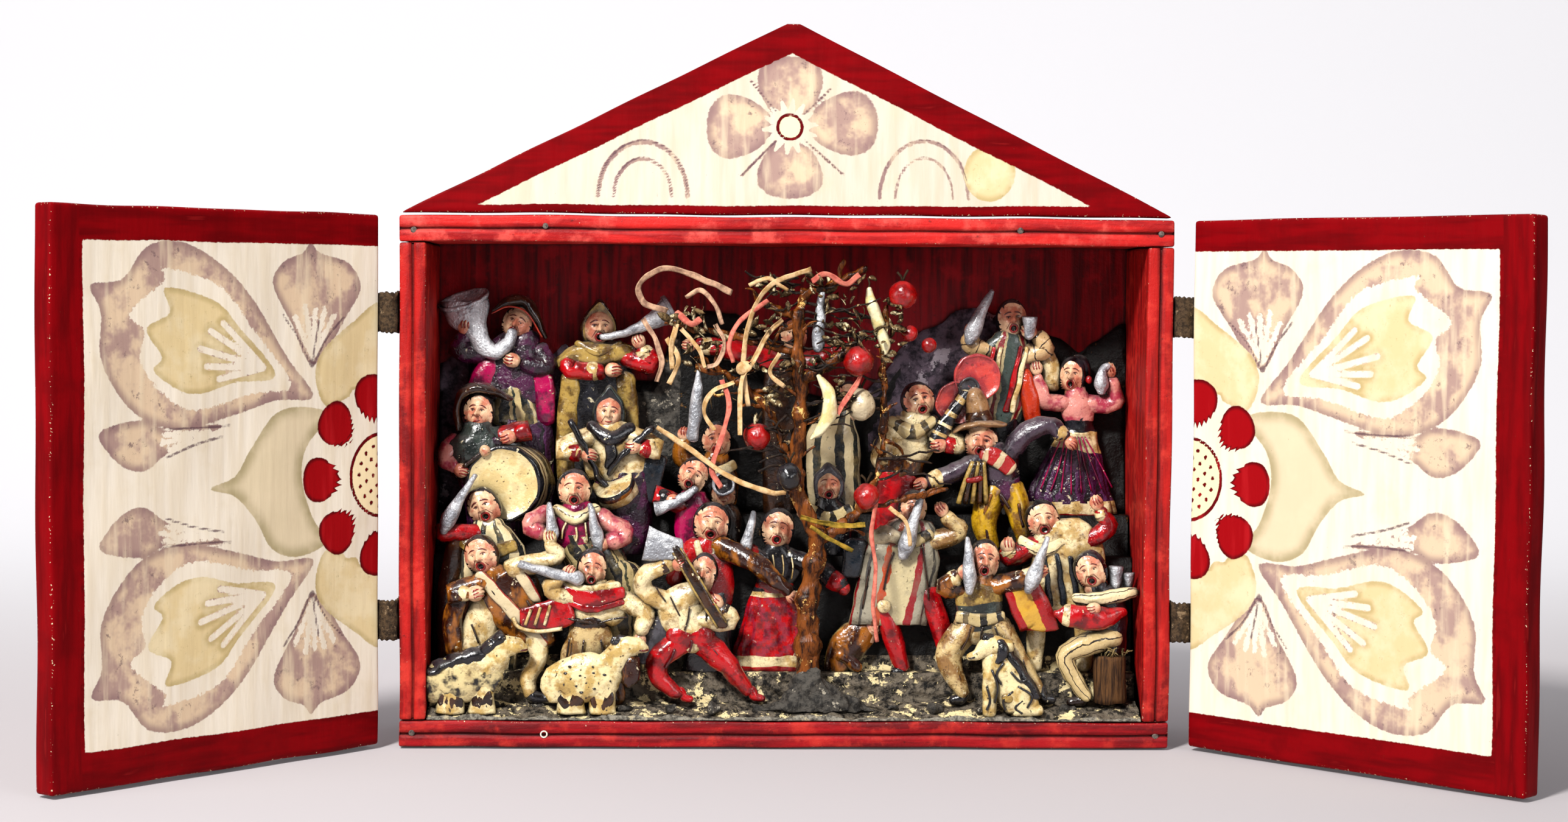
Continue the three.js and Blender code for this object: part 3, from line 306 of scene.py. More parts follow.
class Clay:
    """Gathers the closed shells of one piece, with a paint for each face and a cloth map in 100 mm."""

    def __init__(self):
        self.points, self.faces, self.paints, self.maps, self.count = [], [], [], [], 0

    def skin(self, rings, paint, ends=True, wobble=0.25):
        """Closes rings of points (rows along, columns round) into a shell. paint is a name, or a
        function of the share along and the share round that gives one."""
        rings = np.asarray(rings, float)
        rows, cols, _ = rings.shape
        along = np.concatenate([[0], np.cumsum(np.linalg.norm(np.diff(rings, axis=0), axis=2).mean(1))])
        girth = np.linalg.norm(np.diff(rings, axis=1, append=rings[:, :1]), axis=2).sum(1).max()
        if wobble:
            rings = hand_wobble(rings, 6.5, wobble)
        i, j = np.meshgrid(np.arange(rows - 1), np.arange(cols), indexing="ij")
        near, far = i * cols, (i + 1) * cols
        nxt = (j + 1) % cols
        quads = np.stack([near + j, near + nxt, far + nxt, far + j], -1).reshape(-1, 4)
        u, v = j / cols * girth / 100, along / 100
        un = (j + 1) / cols * girth / 100
        maps = np.stack([np.stack([u, v[i]], -1), np.stack([un, v[i]], -1), np.stack([un, v[i + 1]], -1),
                         np.stack([u, v[i + 1]], -1)], -2).reshape(-1, 4, 2)
        points = rings.reshape(-1, 3)
        middle = points.mean(0)
        a, b, c = (points[quads[:, k]] - middle for k in range(3))
        d = points[quads[:, 3]] - middle
        volume = (a * np.cross(b, c)).sum() + (a * np.cross(c, d)).sum()
        outward = volume > 0
        name = paint if callable(paint) else (lambda s, r: paint)
        shares = [(r / max(rows - 2, 1), k / cols) for r in range(rows - 1) for k in range(cols)]
        start = self.count
        for q, m, (s, r) in zip(quads.tolist(), maps.tolist(), shares):
            if not outward:
                q, m = q[::-1], m[::-1]
            self.faces.append([start + n for n in q])
            self.maps.extend(m)
            self.paints.append(name(s, r))
        self.points.append(points)
        self.count += len(points)
        if ends:
            for row, share in ((0, 0.0), (rows - 1, 1.0)):
                centre = rings[row].mean(0)
                self.points.append(centre[None])
                hub = self.count
                self.count += 1
                for k in range(cols):
                    face = [hub, start + row * cols + k, start + row * cols + (k + 1) % cols]
                    if (row == 0) == outward:
                        face = [face[0], face[2], face[1]]
                    self.faces.append(face)
                    self.maps.extend([[k / cols * girth / 100, v[row]]] * 3)
                    self.paints.append(name(share, k / cols))

    def piece(self, name):
        """The gathered shells as one object at the origin."""
        mesh = bpy.data.meshes.new(name)
        points = np.vstack(self.points) * MM
        mesh.from_pydata(points.tolist(), [], self.faces)
        names = sorted(set(self.paints))
        for n in names:
            mesh.materials.append(PASTE[n])
        order = {n: k for k, n in enumerate(names)}
        mesh.polygons.foreach_set("material_index", [order[p] for p in self.paints])
        mesh.polygons.foreach_set("use_smooth", [True] * len(self.faces))
        layer = mesh.uv_layers.new(name="cloth")
        layer.data.foreach_set("uv", np.array(self.maps, np.float32).ravel())
        mesh.update()
        thing = bpy.data.objects.new(name, mesh)
        bpy.context.scene.collection.objects.link(thing)
        return thing


def roll(clay, row, path, paint, around=18, steps=5, blunt=2.0, folds=None, tips=(True, True), wobble=0.3):
    """Paste rolled along a path of [x, z, deeper, half width, half depth] and pressed into its place.
    folds = (count, depth, turn) are flutes that are deepest at the start, as in a skirt.
    tips says which ends are rounded; the others are cut square."""
    full = [(*p, p[3]) if len(p) == 4 else tuple(p) for p in path]
    p = smooth(full, steps)
    centre = np.stack([p[:, 0], FRONT + row + p[:, 2], p[:, 1]], -1)
    flat = centre.copy()
    flat[:, 1] = 0
    way = np.gradient(flat, axis=0)
    way /= np.maximum(np.linalg.norm(way, axis=1, keepdims=True), 1e-9)
    for end in (0, -1):
        if abs(way[end, 2]) > 0.8:
            way[end] = (0, 0, np.sign(way[end, 2]))
    across = np.stack([way[:, 2], np.zeros(len(p)), -way[:, 0]], -1)
    wide, deep = p[:, 3], p[:, 4]
    share = np.linspace(0, 1, len(p))
    for end, first in ((0, True), (1, False)):
        if not tips[end]:
            continue
        k = 0 if first else -1
        sign = -1 if first else 1
        r = min(wide[k], deep[k]) * 0.9
        turns = [0.98, 0.85, 0.55] if first else [0.55, 0.85, 0.98]
        extra = [(centre[k] + way[k] * sign * r * t, math.sqrt(1 - t * t)) for t in turns]
        cs, fs = np.array([e[0] for e in extra]), np.array([e[1] for e in extra])
        stack = (lambda a, b: np.concatenate([b, a])) if first else (lambda a, b: np.concatenate([a, b]))
        centre = stack(centre, cs)
        across = stack(across, np.repeat(across[k][None], 3, 0))
        wide = stack(wide, wide[k] * fs)
        deep = stack(deep, deep[k] * fs)
        share = stack(share, np.full(3, 0.0 if first else 1.0))
        way = stack(way, np.repeat(way[k][None], 3, 0))
    turn = np.linspace(0, 2 * math.pi, around, endpoint=False) + math.pi / 2
    c, s = np.cos(turn), np.sin(turn)
    c = np.sign(c) * np.abs(c) ** (2 / blunt)
    s = np.sign(s) * np.abs(s) ** (2 / blunt)
    swell = np.ones((len(centre), around))
    if folds:
        count, depth, phase = folds
        fade = (1 - share[:, None]) ** 0.7
        swell += depth * np.cos(count * turn[None] + phase + share[:, None] * 0.7) * fade
    rings = (centre[:, None] + across[:, None] * (wide[:, None] * c[None] * swell)[..., None]
             + np.array([0, 1, 0])[None, None] * (deep[:, None] * s[None] * swell)[..., None])
    clay.skin(rings, paint, wobble=wobble)


def stroke(clay, points, radius, paint, around=6, closed=False):
    """A thin painted line or wire along points in space."""
    p = np.asarray(points, float)
    way = np.gradient(p, axis=0) if not closed else np.roll(p, -1, 0) - np.roll(p, 1, 0)
    way /= np.maximum(np.linalg.norm(way, axis=1, keepdims=True), 1e-9)
    side = np.cross(way, np.array([0, 1, 0]))
    side /= np.maximum(np.linalg.norm(side, axis=1, keepdims=True), 1e-9)
    lift = np.cross(side, way)
    radius = np.broadcast_to(radius, len(p))
    turn = np.linspace(0, 2 * math.pi, around, endpoint=False)
    rings = p[:, None] + (side[:, None] * np.cos(turn)[None, :, None] + lift[:, None]
                          * np.sin(turn)[None, :, None]) * radius[:, None, None]
    if closed:
        rings = np.vstack([rings, rings[:1]])
    clay.skin(rings, paint, ends=not closed, wobble=0)


def turned(tilt=0, turn=0, nod=0):
    """tilt leans to the right in the picture plane, turn looks to the right, nod looks down. Degrees."""
    m = (Matrix.Rotation(math.radians(tilt), 3, "Y") @ Matrix.Rotation(math.radians(turn), 3, "Z")
         @ Matrix.Rotation(math.radians(nod), 3, "X"))
    return np.array(m)


def lump(clay, row, place, size, paint, pose=None, around=18, rings=12, wobble=0.2, shape=None):
    """A rounded lump of half sizes size = (wide, deep, tall) at place = (x, z, deeper)."""
    t = np.linspace(0.02, math.pi - 0.02, rings)[:, None]
    f = np.linspace(0, 2 * math.pi, around, endpoint=False)[None]
    p = np.stack([np.sin(t) * np.cos(f), np.sin(t) * np.sin(f), np.cos(t) * np.ones_like(f)], -1)
    if shape is not None:
        p = shape(p)
    p = p * np.array(size)
    if pose is not None:
        p = p @ np.asarray(pose).T
    p = p + np.array([place[0], FRONT + row + place[2], place[1]])
    clay.skin(p, paint, wobble=wobble)


# ---- Heads, hands and what they hold ---------------------------------------------------------------
def face_lift(a, b, mouth):
    """How far a plain doll face stands out at a across and b up, in half widths of the head."""
    ramp = np.clip((0.42 - b) / 0.5, 0, 1)
    nose = 0.46 * ramp**1.1 * np.exp(-((a / (0.12 + 0.06 * ramp)) ** 2)) * np.clip((b + 0.17) / 0.06, 0, 1)
    brow = 0.05 * np.exp(-(((b - 0.33) / 0.09) ** 2)) * np.exp(-((a / 0.6) ** 4))
    eyes = -0.11 * np.exp(-(((np.abs(a) - 0.34) / 0.19) ** 2) - ((b - 0.16) / 0.14) ** 2)
    cheeks = 0.05 * np.exp(-(((np.abs(a) - 0.46) / 0.2) ** 2) - ((b + 0.12) / 0.2) ** 2)
    chin = 0.06 * np.exp(-((a / 0.3) ** 2) - ((b + 0.8) / 0.16) ** 2)
    lift = nose + brow + eyes + cheeks + chin
    if mouth:
        r = np.sqrt((a / mouth[1]) ** 2 + ((b - mouth[0]) / mouth[2]) ** 2)
        lift = lift * np.clip(r - 0.6, 0, 1) - 0.42 * np.clip(1.05 - r, 0, 0.6)
    return lift


OPEN_MOUTH = (-0.47, 0.25, 0.2)  # height, half width and half height in half sizes of the head


def head(clay, row, place, wide, tall, pose=(0, 0, 0), skin="flesh paste", hair="black paste", mouth="open",
         hood=None, hairline=0.92, brows="painted line", inside="olive paste"):
    """A modelled doll head. hood = (paint, edge paint, thickness, peak) wraps it in a shawl or cap."""
    turn = turned(*pose)
    deep = wide * 0.98
    origin = np.array([place[0], FRONT + row + place[2], place[1]])
    hole = OPEN_MOUTH if mouth == "open" else None

    def front(a, b, out=0.0):
        """A point of the face's surface at a across and b up, moved out by out mm."""
        a, b = np.asarray(a, float), np.asarray(b, float)
        y = np.sqrt(np.clip(1 - a * a - b * b, 0.02, 1)) * deep + face_lift(a, b, None) * wide + out
        return np.stack([a * wide, -y, b * tall], -1) @ turn.T + origin

    t = np.linspace(0.02, math.pi - 0.02, 40)[:, None]
    f = np.linspace(0, 2 * math.pi, 46, endpoint=False)[None]
    a, b = np.sin(t) * np.cos(f), np.sin(t) * np.sin(f)
    c = np.cos(t) * np.ones_like(f)
    lift = face_lift(a, b, hole) * np.clip(c * 3, 0, 1)
    edge = hairline + 0.5 * np.clip(-np.sin(f), 0, 1) ** 1.5 + 0.12 * np.abs(np.cos(f))
    edge = edge + 0.03 * np.sin(5 * f)
    is_hair = (t > edge) & (np.sin(f) > -0.75)
    swell = 1 + 0.15 * is_hair
    jaw = 1 - 0.12 * np.clip(-b, 0, 1) ** 2
    p = np.stack([a * wide * jaw * swell, -(c * deep + lift * wide), b * tall * swell], -1)

    def paint(s, r):
        k = min(int(round(s * 38)), 38)
        j = int(round(r * 46)) % 46
        if hair and is_hair[k, j]:
            return hair
        if hole is not None and c[k, 0] > 0.2:
            if (a[k, j] / hole[1]) ** 2 + ((b[k, j] - hole[0]) / hole[2]) ** 2 < 0.8:
                return inside
        return skin

    clay.skin(p @ turn.T + origin, paint, wobble=0.18)
    line = wide * 0.045
    for side in (-1, 1):
        x = side * np.linspace(0.12, 0.62, 9)
        stroke(clay, front(x, 0.42 - 0.3 * np.abs(x) + 0.1 * np.sin(np.linspace(0.3, 2.7, 9))),
               [line * k for k in (0.5, 0.9, 1.1, 1.1, 1, 0.9, 0.8, 0.6, 0.4)], brows)
        x = side * np.linspace(0.18, 0.5, 7)
        stroke(clay, front(x, 0.17 + 0.05 * np.sin(np.linspace(0, 3.14, 7))), line * 0.6, brows)
        stroke(clay, front(side * np.linspace(0.24, 0.5, 6), np.linspace(-0.1, -0.5, 6)), line * 0.4, brows)
        eye = front(side * 0.34, 0.13, 0.1)
        lump(clay, 0, (eye[0], eye[2], eye[1] - FRONT), (line * 1.2, line * 0.9, line * 1.2),
             "dark painted line", around=8, rings=6, wobble=0)
    if mouth == "open":
        k = np.linspace(0, 2 * math.pi, 22, endpoint=False)
        ring = front(hole[1] * 1.02 * np.cos(k), hole[0] + hole[2] * 1.02 * np.sin(k), -wide * 0.02)
        stroke(clay, ring, wide * 0.075, "red painted line", closed=True, around=8)
    elif mouth:
        slant = {"smile": 0.05, "slant": -0.02}[mouth]
        x = np.linspace(-0.26, 0.26, 9)
        y = -0.45 + slant * (np.abs(x) / 0.26) ** 2 + (0.25 * x if mouth == "slant" else 0)
        stroke(clay, front(x, y), wide * 0.06 * np.sin(np.linspace(0.5, 2.7, 9)), "red painted line")
    if hood:
        cloth, rim, thick, peak = hood
        tt = np.linspace(0, 1, 16)[:, None]
        start = edge + 0.02
        t2 = start + (math.pi - 0.02 - start) * tt
        grow = 1 + thick * np.clip(tt * 6 + 0.5, 0, 1)
        a2, b2, c2 = np.sin(t2) * np.cos(f), np.sin(t2) * np.sin(f), np.cos(t2)
        point = peak * np.exp(-(((f - math.pi / 2) / 0.42) ** 2)) * np.sin(np.clip(t2, 0, math.pi))
        outer = np.stack([a2 * wide * grow, -c2 * deep * grow - thick * wide * 0.6 * (1 - tt),
                          b2 * tall * grow
                          + point * tall], -1)
        inner = outer[:1] * 0.93
        rings = np.vstack([inner, outer])
        clay.skin(rings @ turn.T + origin, lambda s, r: rim if s < 0.06 else cloth, wobble=0.3)


def hand(clay, row, place, direction, size=3.2, skin="flesh paste", lines="red painted line", fingers=4):
    """A closed hand seen from the knuckles: a mitt with finger ridges and the painted lines between them.
    direction is the way the fingers point in the picture plane, in degrees from +X towards +Z."""
    d = math.radians(direction)
    pose = np.array([[math.cos(d), 0, -math.sin(d)], [0, 1, 0], [math.sin(d), 0, math.cos(d)]])
    half = np.array([size * 1.12, size * 0.82, size * 0.95])

    def ridges(p):
        q = p.copy()
        grip = np.clip(-p[..., 1] + 0.3, 0, 1) * np.clip(p[..., 0] + 0.6, 0, 1)
        q[..., 1] -= 0.09 * np.cos(p[..., 2] * fingers * math.pi) * grip
        q[..., 0] += 0.08 * np.cos(p[..., 2] * fingers * math.pi) * np.clip(p[..., 0], 0, 1)
        return q

    lump(clay, row, place, half, skin, pose, around=26, rings=22, wobble=0.15, shape=ridges)
    origin = np.array([place[0], FRONT + row + place[2], place[1]])
    for k in range(fingers - 1):
        h = (k + 1) / fingers * 1.7 - 0.85
        x = np.linspace(-0.12, 0.86, 9)
        y = -np.sqrt(np.clip(1 - x * x - h * h, 0.01, 1))
        p = np.stack([x, y * 1.02, h + 0.07 * np.sin(x * 4)], -1) * half @ pose.T + origin
        stroke(clay, p, size * 0.085, lines)


def bottle(clay, row, path, paint="silver paint"):
    """A painted paste bottle or cup, along a path as for roll."""
    roll(clay, row, path, paint, around=16, steps=6, wobble=0.22)


def flat_disc(clay, row, place, radius, half, face_paint, rim_paint, side_paint, lean=0.0, rim=1.5, dish=0.0,
              back=1.0):
    """A drum, lid or gong facing the viewer, with a raised rim. lean shifts its back sideways."""
    x, z, deeper = place
    k = np.linspace(0, 2 * math.pi, 48, endpoint=False)
    y0 = FRONT + row + deeper - half
    rings, paints = [], []
    for r, y, s, name in [(0.25, dish * 0.9, 0, face_paint), (0.6, dish * 0.5, 0, face_paint),
                          (radius - rim * 1.3, 0.0, 0, face_paint), (radius - rim, -0.5, 0, rim_paint),
                          (radius - rim * 0.3, -0.6, 0, rim_paint), (radius, 0.3, 0, rim_paint),
                          (radius * 1.005, 1.4, 0.1, side_paint),
                          (radius * (1 + back) / 2, half, 0.5, side_paint),
                          (radius * back, 2 * half - 1, 0.9, rim_paint),
                          (radius * back * 0.9, 2 * half, 1, rim_paint)]:
        r = r * radius if r < 1 and name == face_paint else r
        rings.append(np.stack([x + lean * s + r * np.cos(k), np.full(48, y0 + y), z + r * np.sin(k)], -1))
        paints.append(name)
    clay.skin(rings, lambda s, r: paints[min(int(round(s * (len(paints) - 2))), len(paints) - 2)], wobble=0.3)


# ---- Boards and their paint ------------------------------------------------------------------------
def board(name, size, step, round_edge, place, paints=None, grooves=(), wobble=0.25):
    """A sawn board with worn round edges. size is (u, v, w) in mm, place turns local points into the
    row frame, and paints(local) gives the painting's distance fields, kept as attributes."""
    size = np.array(size, float)
    axes = []
    for k in range(3):
        n = max(2, int(round((size[k] - 2 * round_edge) / step)))
        inner = np.linspace(round_edge, size[k] - round_edge, n + 1)
        rim = round_edge * np.array([0, 0.35])
        extra = [g + o for axis, g in grooves if axis == k for o in (-0.8, -0.35, 0, 0.35, 0.8)]
        axes.append(np.unique(np.round(np.concatenate([rim, inner, size[k] - rim, extra]), 4)))
    points, quads, count = [], [], 0
    for k in range(3):
        a, b = [m for m in range(3) if m != k]
        for high in (False, True):
            ga, gb = np.meshgrid(axes[a], axes[b], indexing="ij")
            p = np.zeros(ga.shape + (3,))
            p[..., a], p[..., b], p[..., k] = ga, gb, size[k] if high else 0
            m, n = ga.shape
            i, j = np.meshgrid(np.arange(m - 1), np.arange(n - 1), indexing="ij")
            q = np.stack([i * n + j, (i + 1) * n + j, (i + 1) * n + j + 1, i * n + j + 1], -1).reshape(-1, 4)
            quads.append((q[:, ::-1] if high == (k == 1) else q) + count)
            points.append(p.reshape(-1, 3))
            count += m * n
    points, quads = np.vstack(points), np.vstack(quads)
    _, first, back = np.unique(np.round(points, 4), axis=0, return_index=True, return_inverse=True)
    points, quads = points[first], back.reshape(-1)[quads]
    local = points.copy()
    core = np.clip(points, round_edge, size - round_edge)
    out = points - core
    far = np.linalg.norm(out, axis=1, keepdims=True)
    points = np.where(far > 0, core + out / np.maximum(far, 1e-9) * round_edge, points)
    for axis, at in grooves:  # a V groove scored along the front edge
        near = np.abs(local[:, axis] - at) < 0.5
        points[near & (local[:, 2] < 0.01), 2] += 1.3
    world = hand_wobble(place(points), 45, wobble)
    a, b, c, d = (world[quads[:, k]] for k in range(4))
    if (a * np.cross(b, c)).sum() + (a * np.cross(c, d)).sum() < 0:
        quads = quads[:, ::-1]
    mesh = bpy.data.meshes.new(name)
    mesh.from_pydata((world * MM).tolist(), [], quads.tolist())
    mesh.polygons.foreach_set("use_smooth", [True] * len(quads))
    edge = np.sort(np.minimum(local, size - local), axis=1)[:, 1]
    fields = {"edge": edge, **(paints(local) if paints else {})}
    for key, values in fields.items():
        mesh.attributes.new(key, "FLOAT", "POINT").data.foreach_set("value", np.asarray(values, np.float32))
    mesh.update()
    thing = bpy.data.objects.new(name, mesh)
    bpy.context.scene.collection.objects.link(thing)
    return thing


def within(points, outline):
    """Signed distance of 2-D points to a closed outline in mm: positive inside."""
    a, b = outline, np.roll(outline, -1, 0)
    p = points[:, None]
    ab = (b - a)[None]
    t = np.clip(((p - a) * ab).sum(-1) / np.maximum((ab**2).sum(-1), 1e-9), 0, 1)
    near = np.linalg.norm(p - a - ab * t[..., None], axis=-1).min(1)
    up = (a[None, :, 1] > p[..., 1]) != (b[None, :, 1] > p[..., 1])
    slope = (b[:, 0] - a[:, 0]) / np.where(np.abs(b[:, 1] - a[:, 1]) < 1e-9, 1e-9, b[:, 1] - a[:, 1])
    cross = a[None, :, 0] + (p[..., 1] - a[None, :, 1]) * slope[None]
    odd = (up & (p[..., 0] < cross)).sum(1) % 2 == 1
    return np.where(odd, near, -near)


def curve(points, steps=6, closed=True):
    p = np.array(points, float)
    if not closed:
        return smooth(p, steps)
    return np.vstack(spans(np.vstack([p[-1], p, p[:2]]), steps))


def brushed(points, line, width):
    """Signed distance to a brush stroke of a width along an open line."""
    a, b = line[:-1], line[1:]
    p = points[:, None]
    ab = (b - a)[None]
    t = np.clip(((p - a) * ab).sum(-1) / np.maximum((ab**2).sum(-1), 1e-9), 0, 1)
    return width / 2 - np.linalg.norm(p - a - ab * t[..., None], axis=-1).min(1)


# The door's flower, drawn in mm from the hinge edge and from the middle of the rosette up. The lower
# half mirrors the upper. Outlines are given by the points that turn them.
PETAL = [(35, 33), (48, 49), (66, 73), (82, 87), (99, 94), (116, 92), (127, 80), (141, 77.5), (136.5, 67),
         (137, 50), (128, 35), (116, 26), (98, 22), (74, 27), (54, 32)]
PETAL_BARE = [(46, 38), (66, 61), (82, 78), (108, 84), (108, 79), (124, 67), (117, 60), (119, 50), (111, 38),
              (94, 29), (66, 35)]
PETAL_HEART = [(54, 42), (72, 61), (84, 72), (107, 76.5), (105, 67), (116, 61), (109, 50), (113, 45),
               (101, 37),
               (90, 35.5), (74, 39.5)]
BUD = [(35, 46), (46, 63), (55, 78), (50, 87), (40, 91), (36, 95), (31, 91), (16, 87), (10, 77), (18, 65)]
SMALL_BUD = [(138, 20.5), (129, 25), (116, 26), (107, 22), (92, 23), (79, 23), (92, 18), (107, 13), (117, 7),
             (128, 9.5)]
HEART_LEAF = [(86, -1.5), (74, 3), (66, 14), (54, 27), (38, 29), (27, 25), (38, 13), (40.5, 0), (35, -16),
              (28, -26),
              (43, -31), (56, -27), (64, -15), (74, -5)]
SIDE_LEAF = [(-2, 70), (14, 63), (30, 52), (34, 41), (28, 29), (15, 33), (-2, 38)]
ROSETTE = {"centre": (-2, 0), "disc": 17.2, "petals": 31.5, "angles": (-84, -42, -1, 41, 80),
           "half": (10.4, 8.8)}
DOOR_MIDDLE = 112  # height of the rosette above the door's foot, mm


def door_paints(local):
    """The painting's distance fields on a door: u from the hinge edge, v from the rosette's height."""
    u, v, w = local.T
    side = np.stack([u, np.abs(v - DOOR_MIDDLE)], -1)
    whole = np.stack([u, v - DOOR_MIDDLE], -1)
    mauve = np.maximum.reduce([within(side, curve(PETAL)), within(side, curve(BUD)),
                               within(side, curve(SMALL_BUD))])
    heart = within(side, curve(PETAL_HEART))
    streaks = np.maximum.reduce([brushed(side, np.array([(60, 45), end]), 2.8)
                                 for end in ((80, 63), (86, 60), (91, 53), (88, 46), (82, 41))])
    bare = np.maximum.reduce([np.minimum(within(side, curve(PETAL_BARE)), -heart + 1), streaks]
                             + [brushed(side, np.array([(35.5, 49), end]), 2.5)
                                for end in ((24, 66), (29, 68.5), (34, 68), (39, 69.5), (44, 65))]
                             + [brushed(side, np.array([(86, 20.4), end]), 2.2) for end in
                                ((108, 20.6), (109.5, 17.4), (106, 14.6))])
    dark = np.maximum.reduce([brushed(side, curve(line, 5, False), 1.0) for line in (
        [(35.5, 45), (28, 57), (19, 65)], [(36, 45), (42, 56), (50, 66)], [(35.8, 46), (33.8, 56), (32, 64)],
        [(76, 23), (92, 22), (108, 23)], [(80, 18.6), (95, 15.4), (107, 11.6)])])
    ochre = np.maximum(np.minimum(heart, -streaks), within(side, curve(SIDE_LEAF)))
    olive = within(whole, curve(HEART_LEAF))
    du, dv = whole[:, 0] - ROSETTE["centre"][0], whole[:, 1] - ROSETTE["centre"][1]
    radius = np.hypot(du, dv)
    red = np.full(len(u), -50.0)
    for ring_r in (1.5, 5.4, 9.2, 13):  # dots in rings on the rosette's disc
        for n in range(int(ring_r * 1.25) + 1):
            a = 2 * math.pi * n / (int(ring_r * 1.25) + 1) + ring_r
            red = np.maximum(red, 1.0 - np.hypot(du - ring_r * math.cos(a), dv - ring_r * math.sin(a)))
    for angle in ROSETTE["angles"]:
        a = math.radians(angle)
        along = du * math.cos(a) + dv * math.sin(a) - ROSETTE["petals"]
        across = -du * math.sin(a) + dv * math.cos(a)
        taper = 1 + 0.25 * np.clip(-along / ROSETTE["half"][0], -1, 1)
        r = np.hypot(along / ROSETTE["half"][0], across * taper / ROSETTE["half"][1])
        red = np.maximum(red, (1 - r) * 8 - 1.5 * np.clip(-along / 8, 0, 1) * (1 + np.sin(across * 3.1)))
    ring = 0.75 - np.abs(radius - ROSETTE["disc"])
    bare_round = 40 - radius  # the rosette's petals lie on bare ground
    mauve = np.minimum(mauve, np.where(side[:, 1] < 50, radius - 36, 50))
    ochre = np.minimum(ochre,
                       np.where(bare_round > 0, radius - 37.5 + 1.2 * np.sin(np.arctan2(dv, du) * 26), 50))
    field = np.minimum.reduce([144.5 - u, v - 14.6, 206.4 - v, 3 - w * 6])
    olive = np.minimum(olive,
                       np.where(bare_round > 0, radius - 37.5 + 1.2 * np.sin(np.arctan2(dv, du) * 26), 50))
    return {"field": field, "mauve": mauve, "bare": bare, "ochre": ochre, "olive": olive, "dark": dark,
            "red": np.maximum(red, ring), "disc": ROSETTE["disc"] - radius, "upright": u - 146}


GABLE_FLOWER = {"centre": (0.5, 257.3), "petals": [(90, 15.5, 13.5, 13), (180, 20.5, 13.8, 12.5),
                                                   (4, 21.5, 14.5, 12.5), (270, 17, 12.5, 12.8)]}


def gable_paints(base, wide):
    """The gable's painting, on x and z in the row frame."""
    def fields(local):
        x = local[:, 0] - wide / 2
        z = local[:, 1] + base
        share = np.clip(local[:, 1] / 78.3, 0, 1)
        x = (1 - share) * x + share * (x * 2.6 / (wide / 2) + 1.5)
        p = np.stack([x, z], -1)
        field = within(p, np.array([(-128, 224.6), (125.5, 225.4), (1.2, 287.5)]))
        cx, cz = GABLE_FLOWER["centre"]
        mauve = np.full(len(x), -50.0)
        for angle, far, long_half, wide_half in GABLE_FLOWER["petals"]:
            a = math.radians(angle)
            du, dv = x - cx - far * math.cos(a), z - cz - far * math.sin(a)
            along, across = du * math.cos(a) + dv * math.sin(a), -du * math.sin(a) + dv * math.cos(a)
            taper = 1 + 0.3 * np.clip(-along / long_half, -1, 1)
            mauve = np.maximum(mauve, (1 - np.hypot(along / long_half, across * taper / wide_half)) * 12)
        radius = np.hypot(x - cx, z - cz)
        bare = 9.5 + 2.4 * np.sin(np.arctan2(z - cz, x - cx) * 14) - radius
        strokes = [np.array([(cx + 8 * math.cos(a), cz + 8 * math.sin(a)),
                             (cx + far * math.cos(a), cz + far * math.sin(a))])
                   for a, far in ((2.3, 25), (0.75, 23), (-2.35, 28), (-0.72, 29))]
        lines = np.maximum.reduce([brushed(p, s, 1.1) for s in strokes])
        dark = lines - 0.2
        for middle, tall in ((-60, 22), (56, 23.5)):
            for out, width, lift in ((18.5, 2.0, 0), (12, 1.5, -7)):
                t = np.linspace(0, math.pi, 24)
                arch = np.stack([middle + out * np.cos(t) * (1 - 0.1 * np.sin(t)),
                                 228.5 + (tall + lift) * np.sin(t) ** 0.8], -1)
                lines = np.maximum(lines, brushed(p, arch, width) - 0.25 * (x > 0))
                dark = np.maximum(dark, brushed(p, arch + (0, 0.5), width * 0.45) - 0.3 * (x > 0))
        ring = 0.65 - np.abs(radius - 5)
        return {"field": np.minimum(field, 3 - local[:, 2] * 6), "mauve": np.maximum(mauve, lines),
                "bare": bare,
                "ochre": 10.5 - np.hypot(x - 83, (z - 239) * 0.9), "red": ring, "disc": 4.6 - radius,
                "dark": dark,
                "olive": np.full(len(x), -50.0), "upright": np.full(len(x), -50.0)}
    return fields


def attribute(tree, name):
    return add(tree, "ShaderNodeAttribute", attribute_name=name).outputs["Fac"]


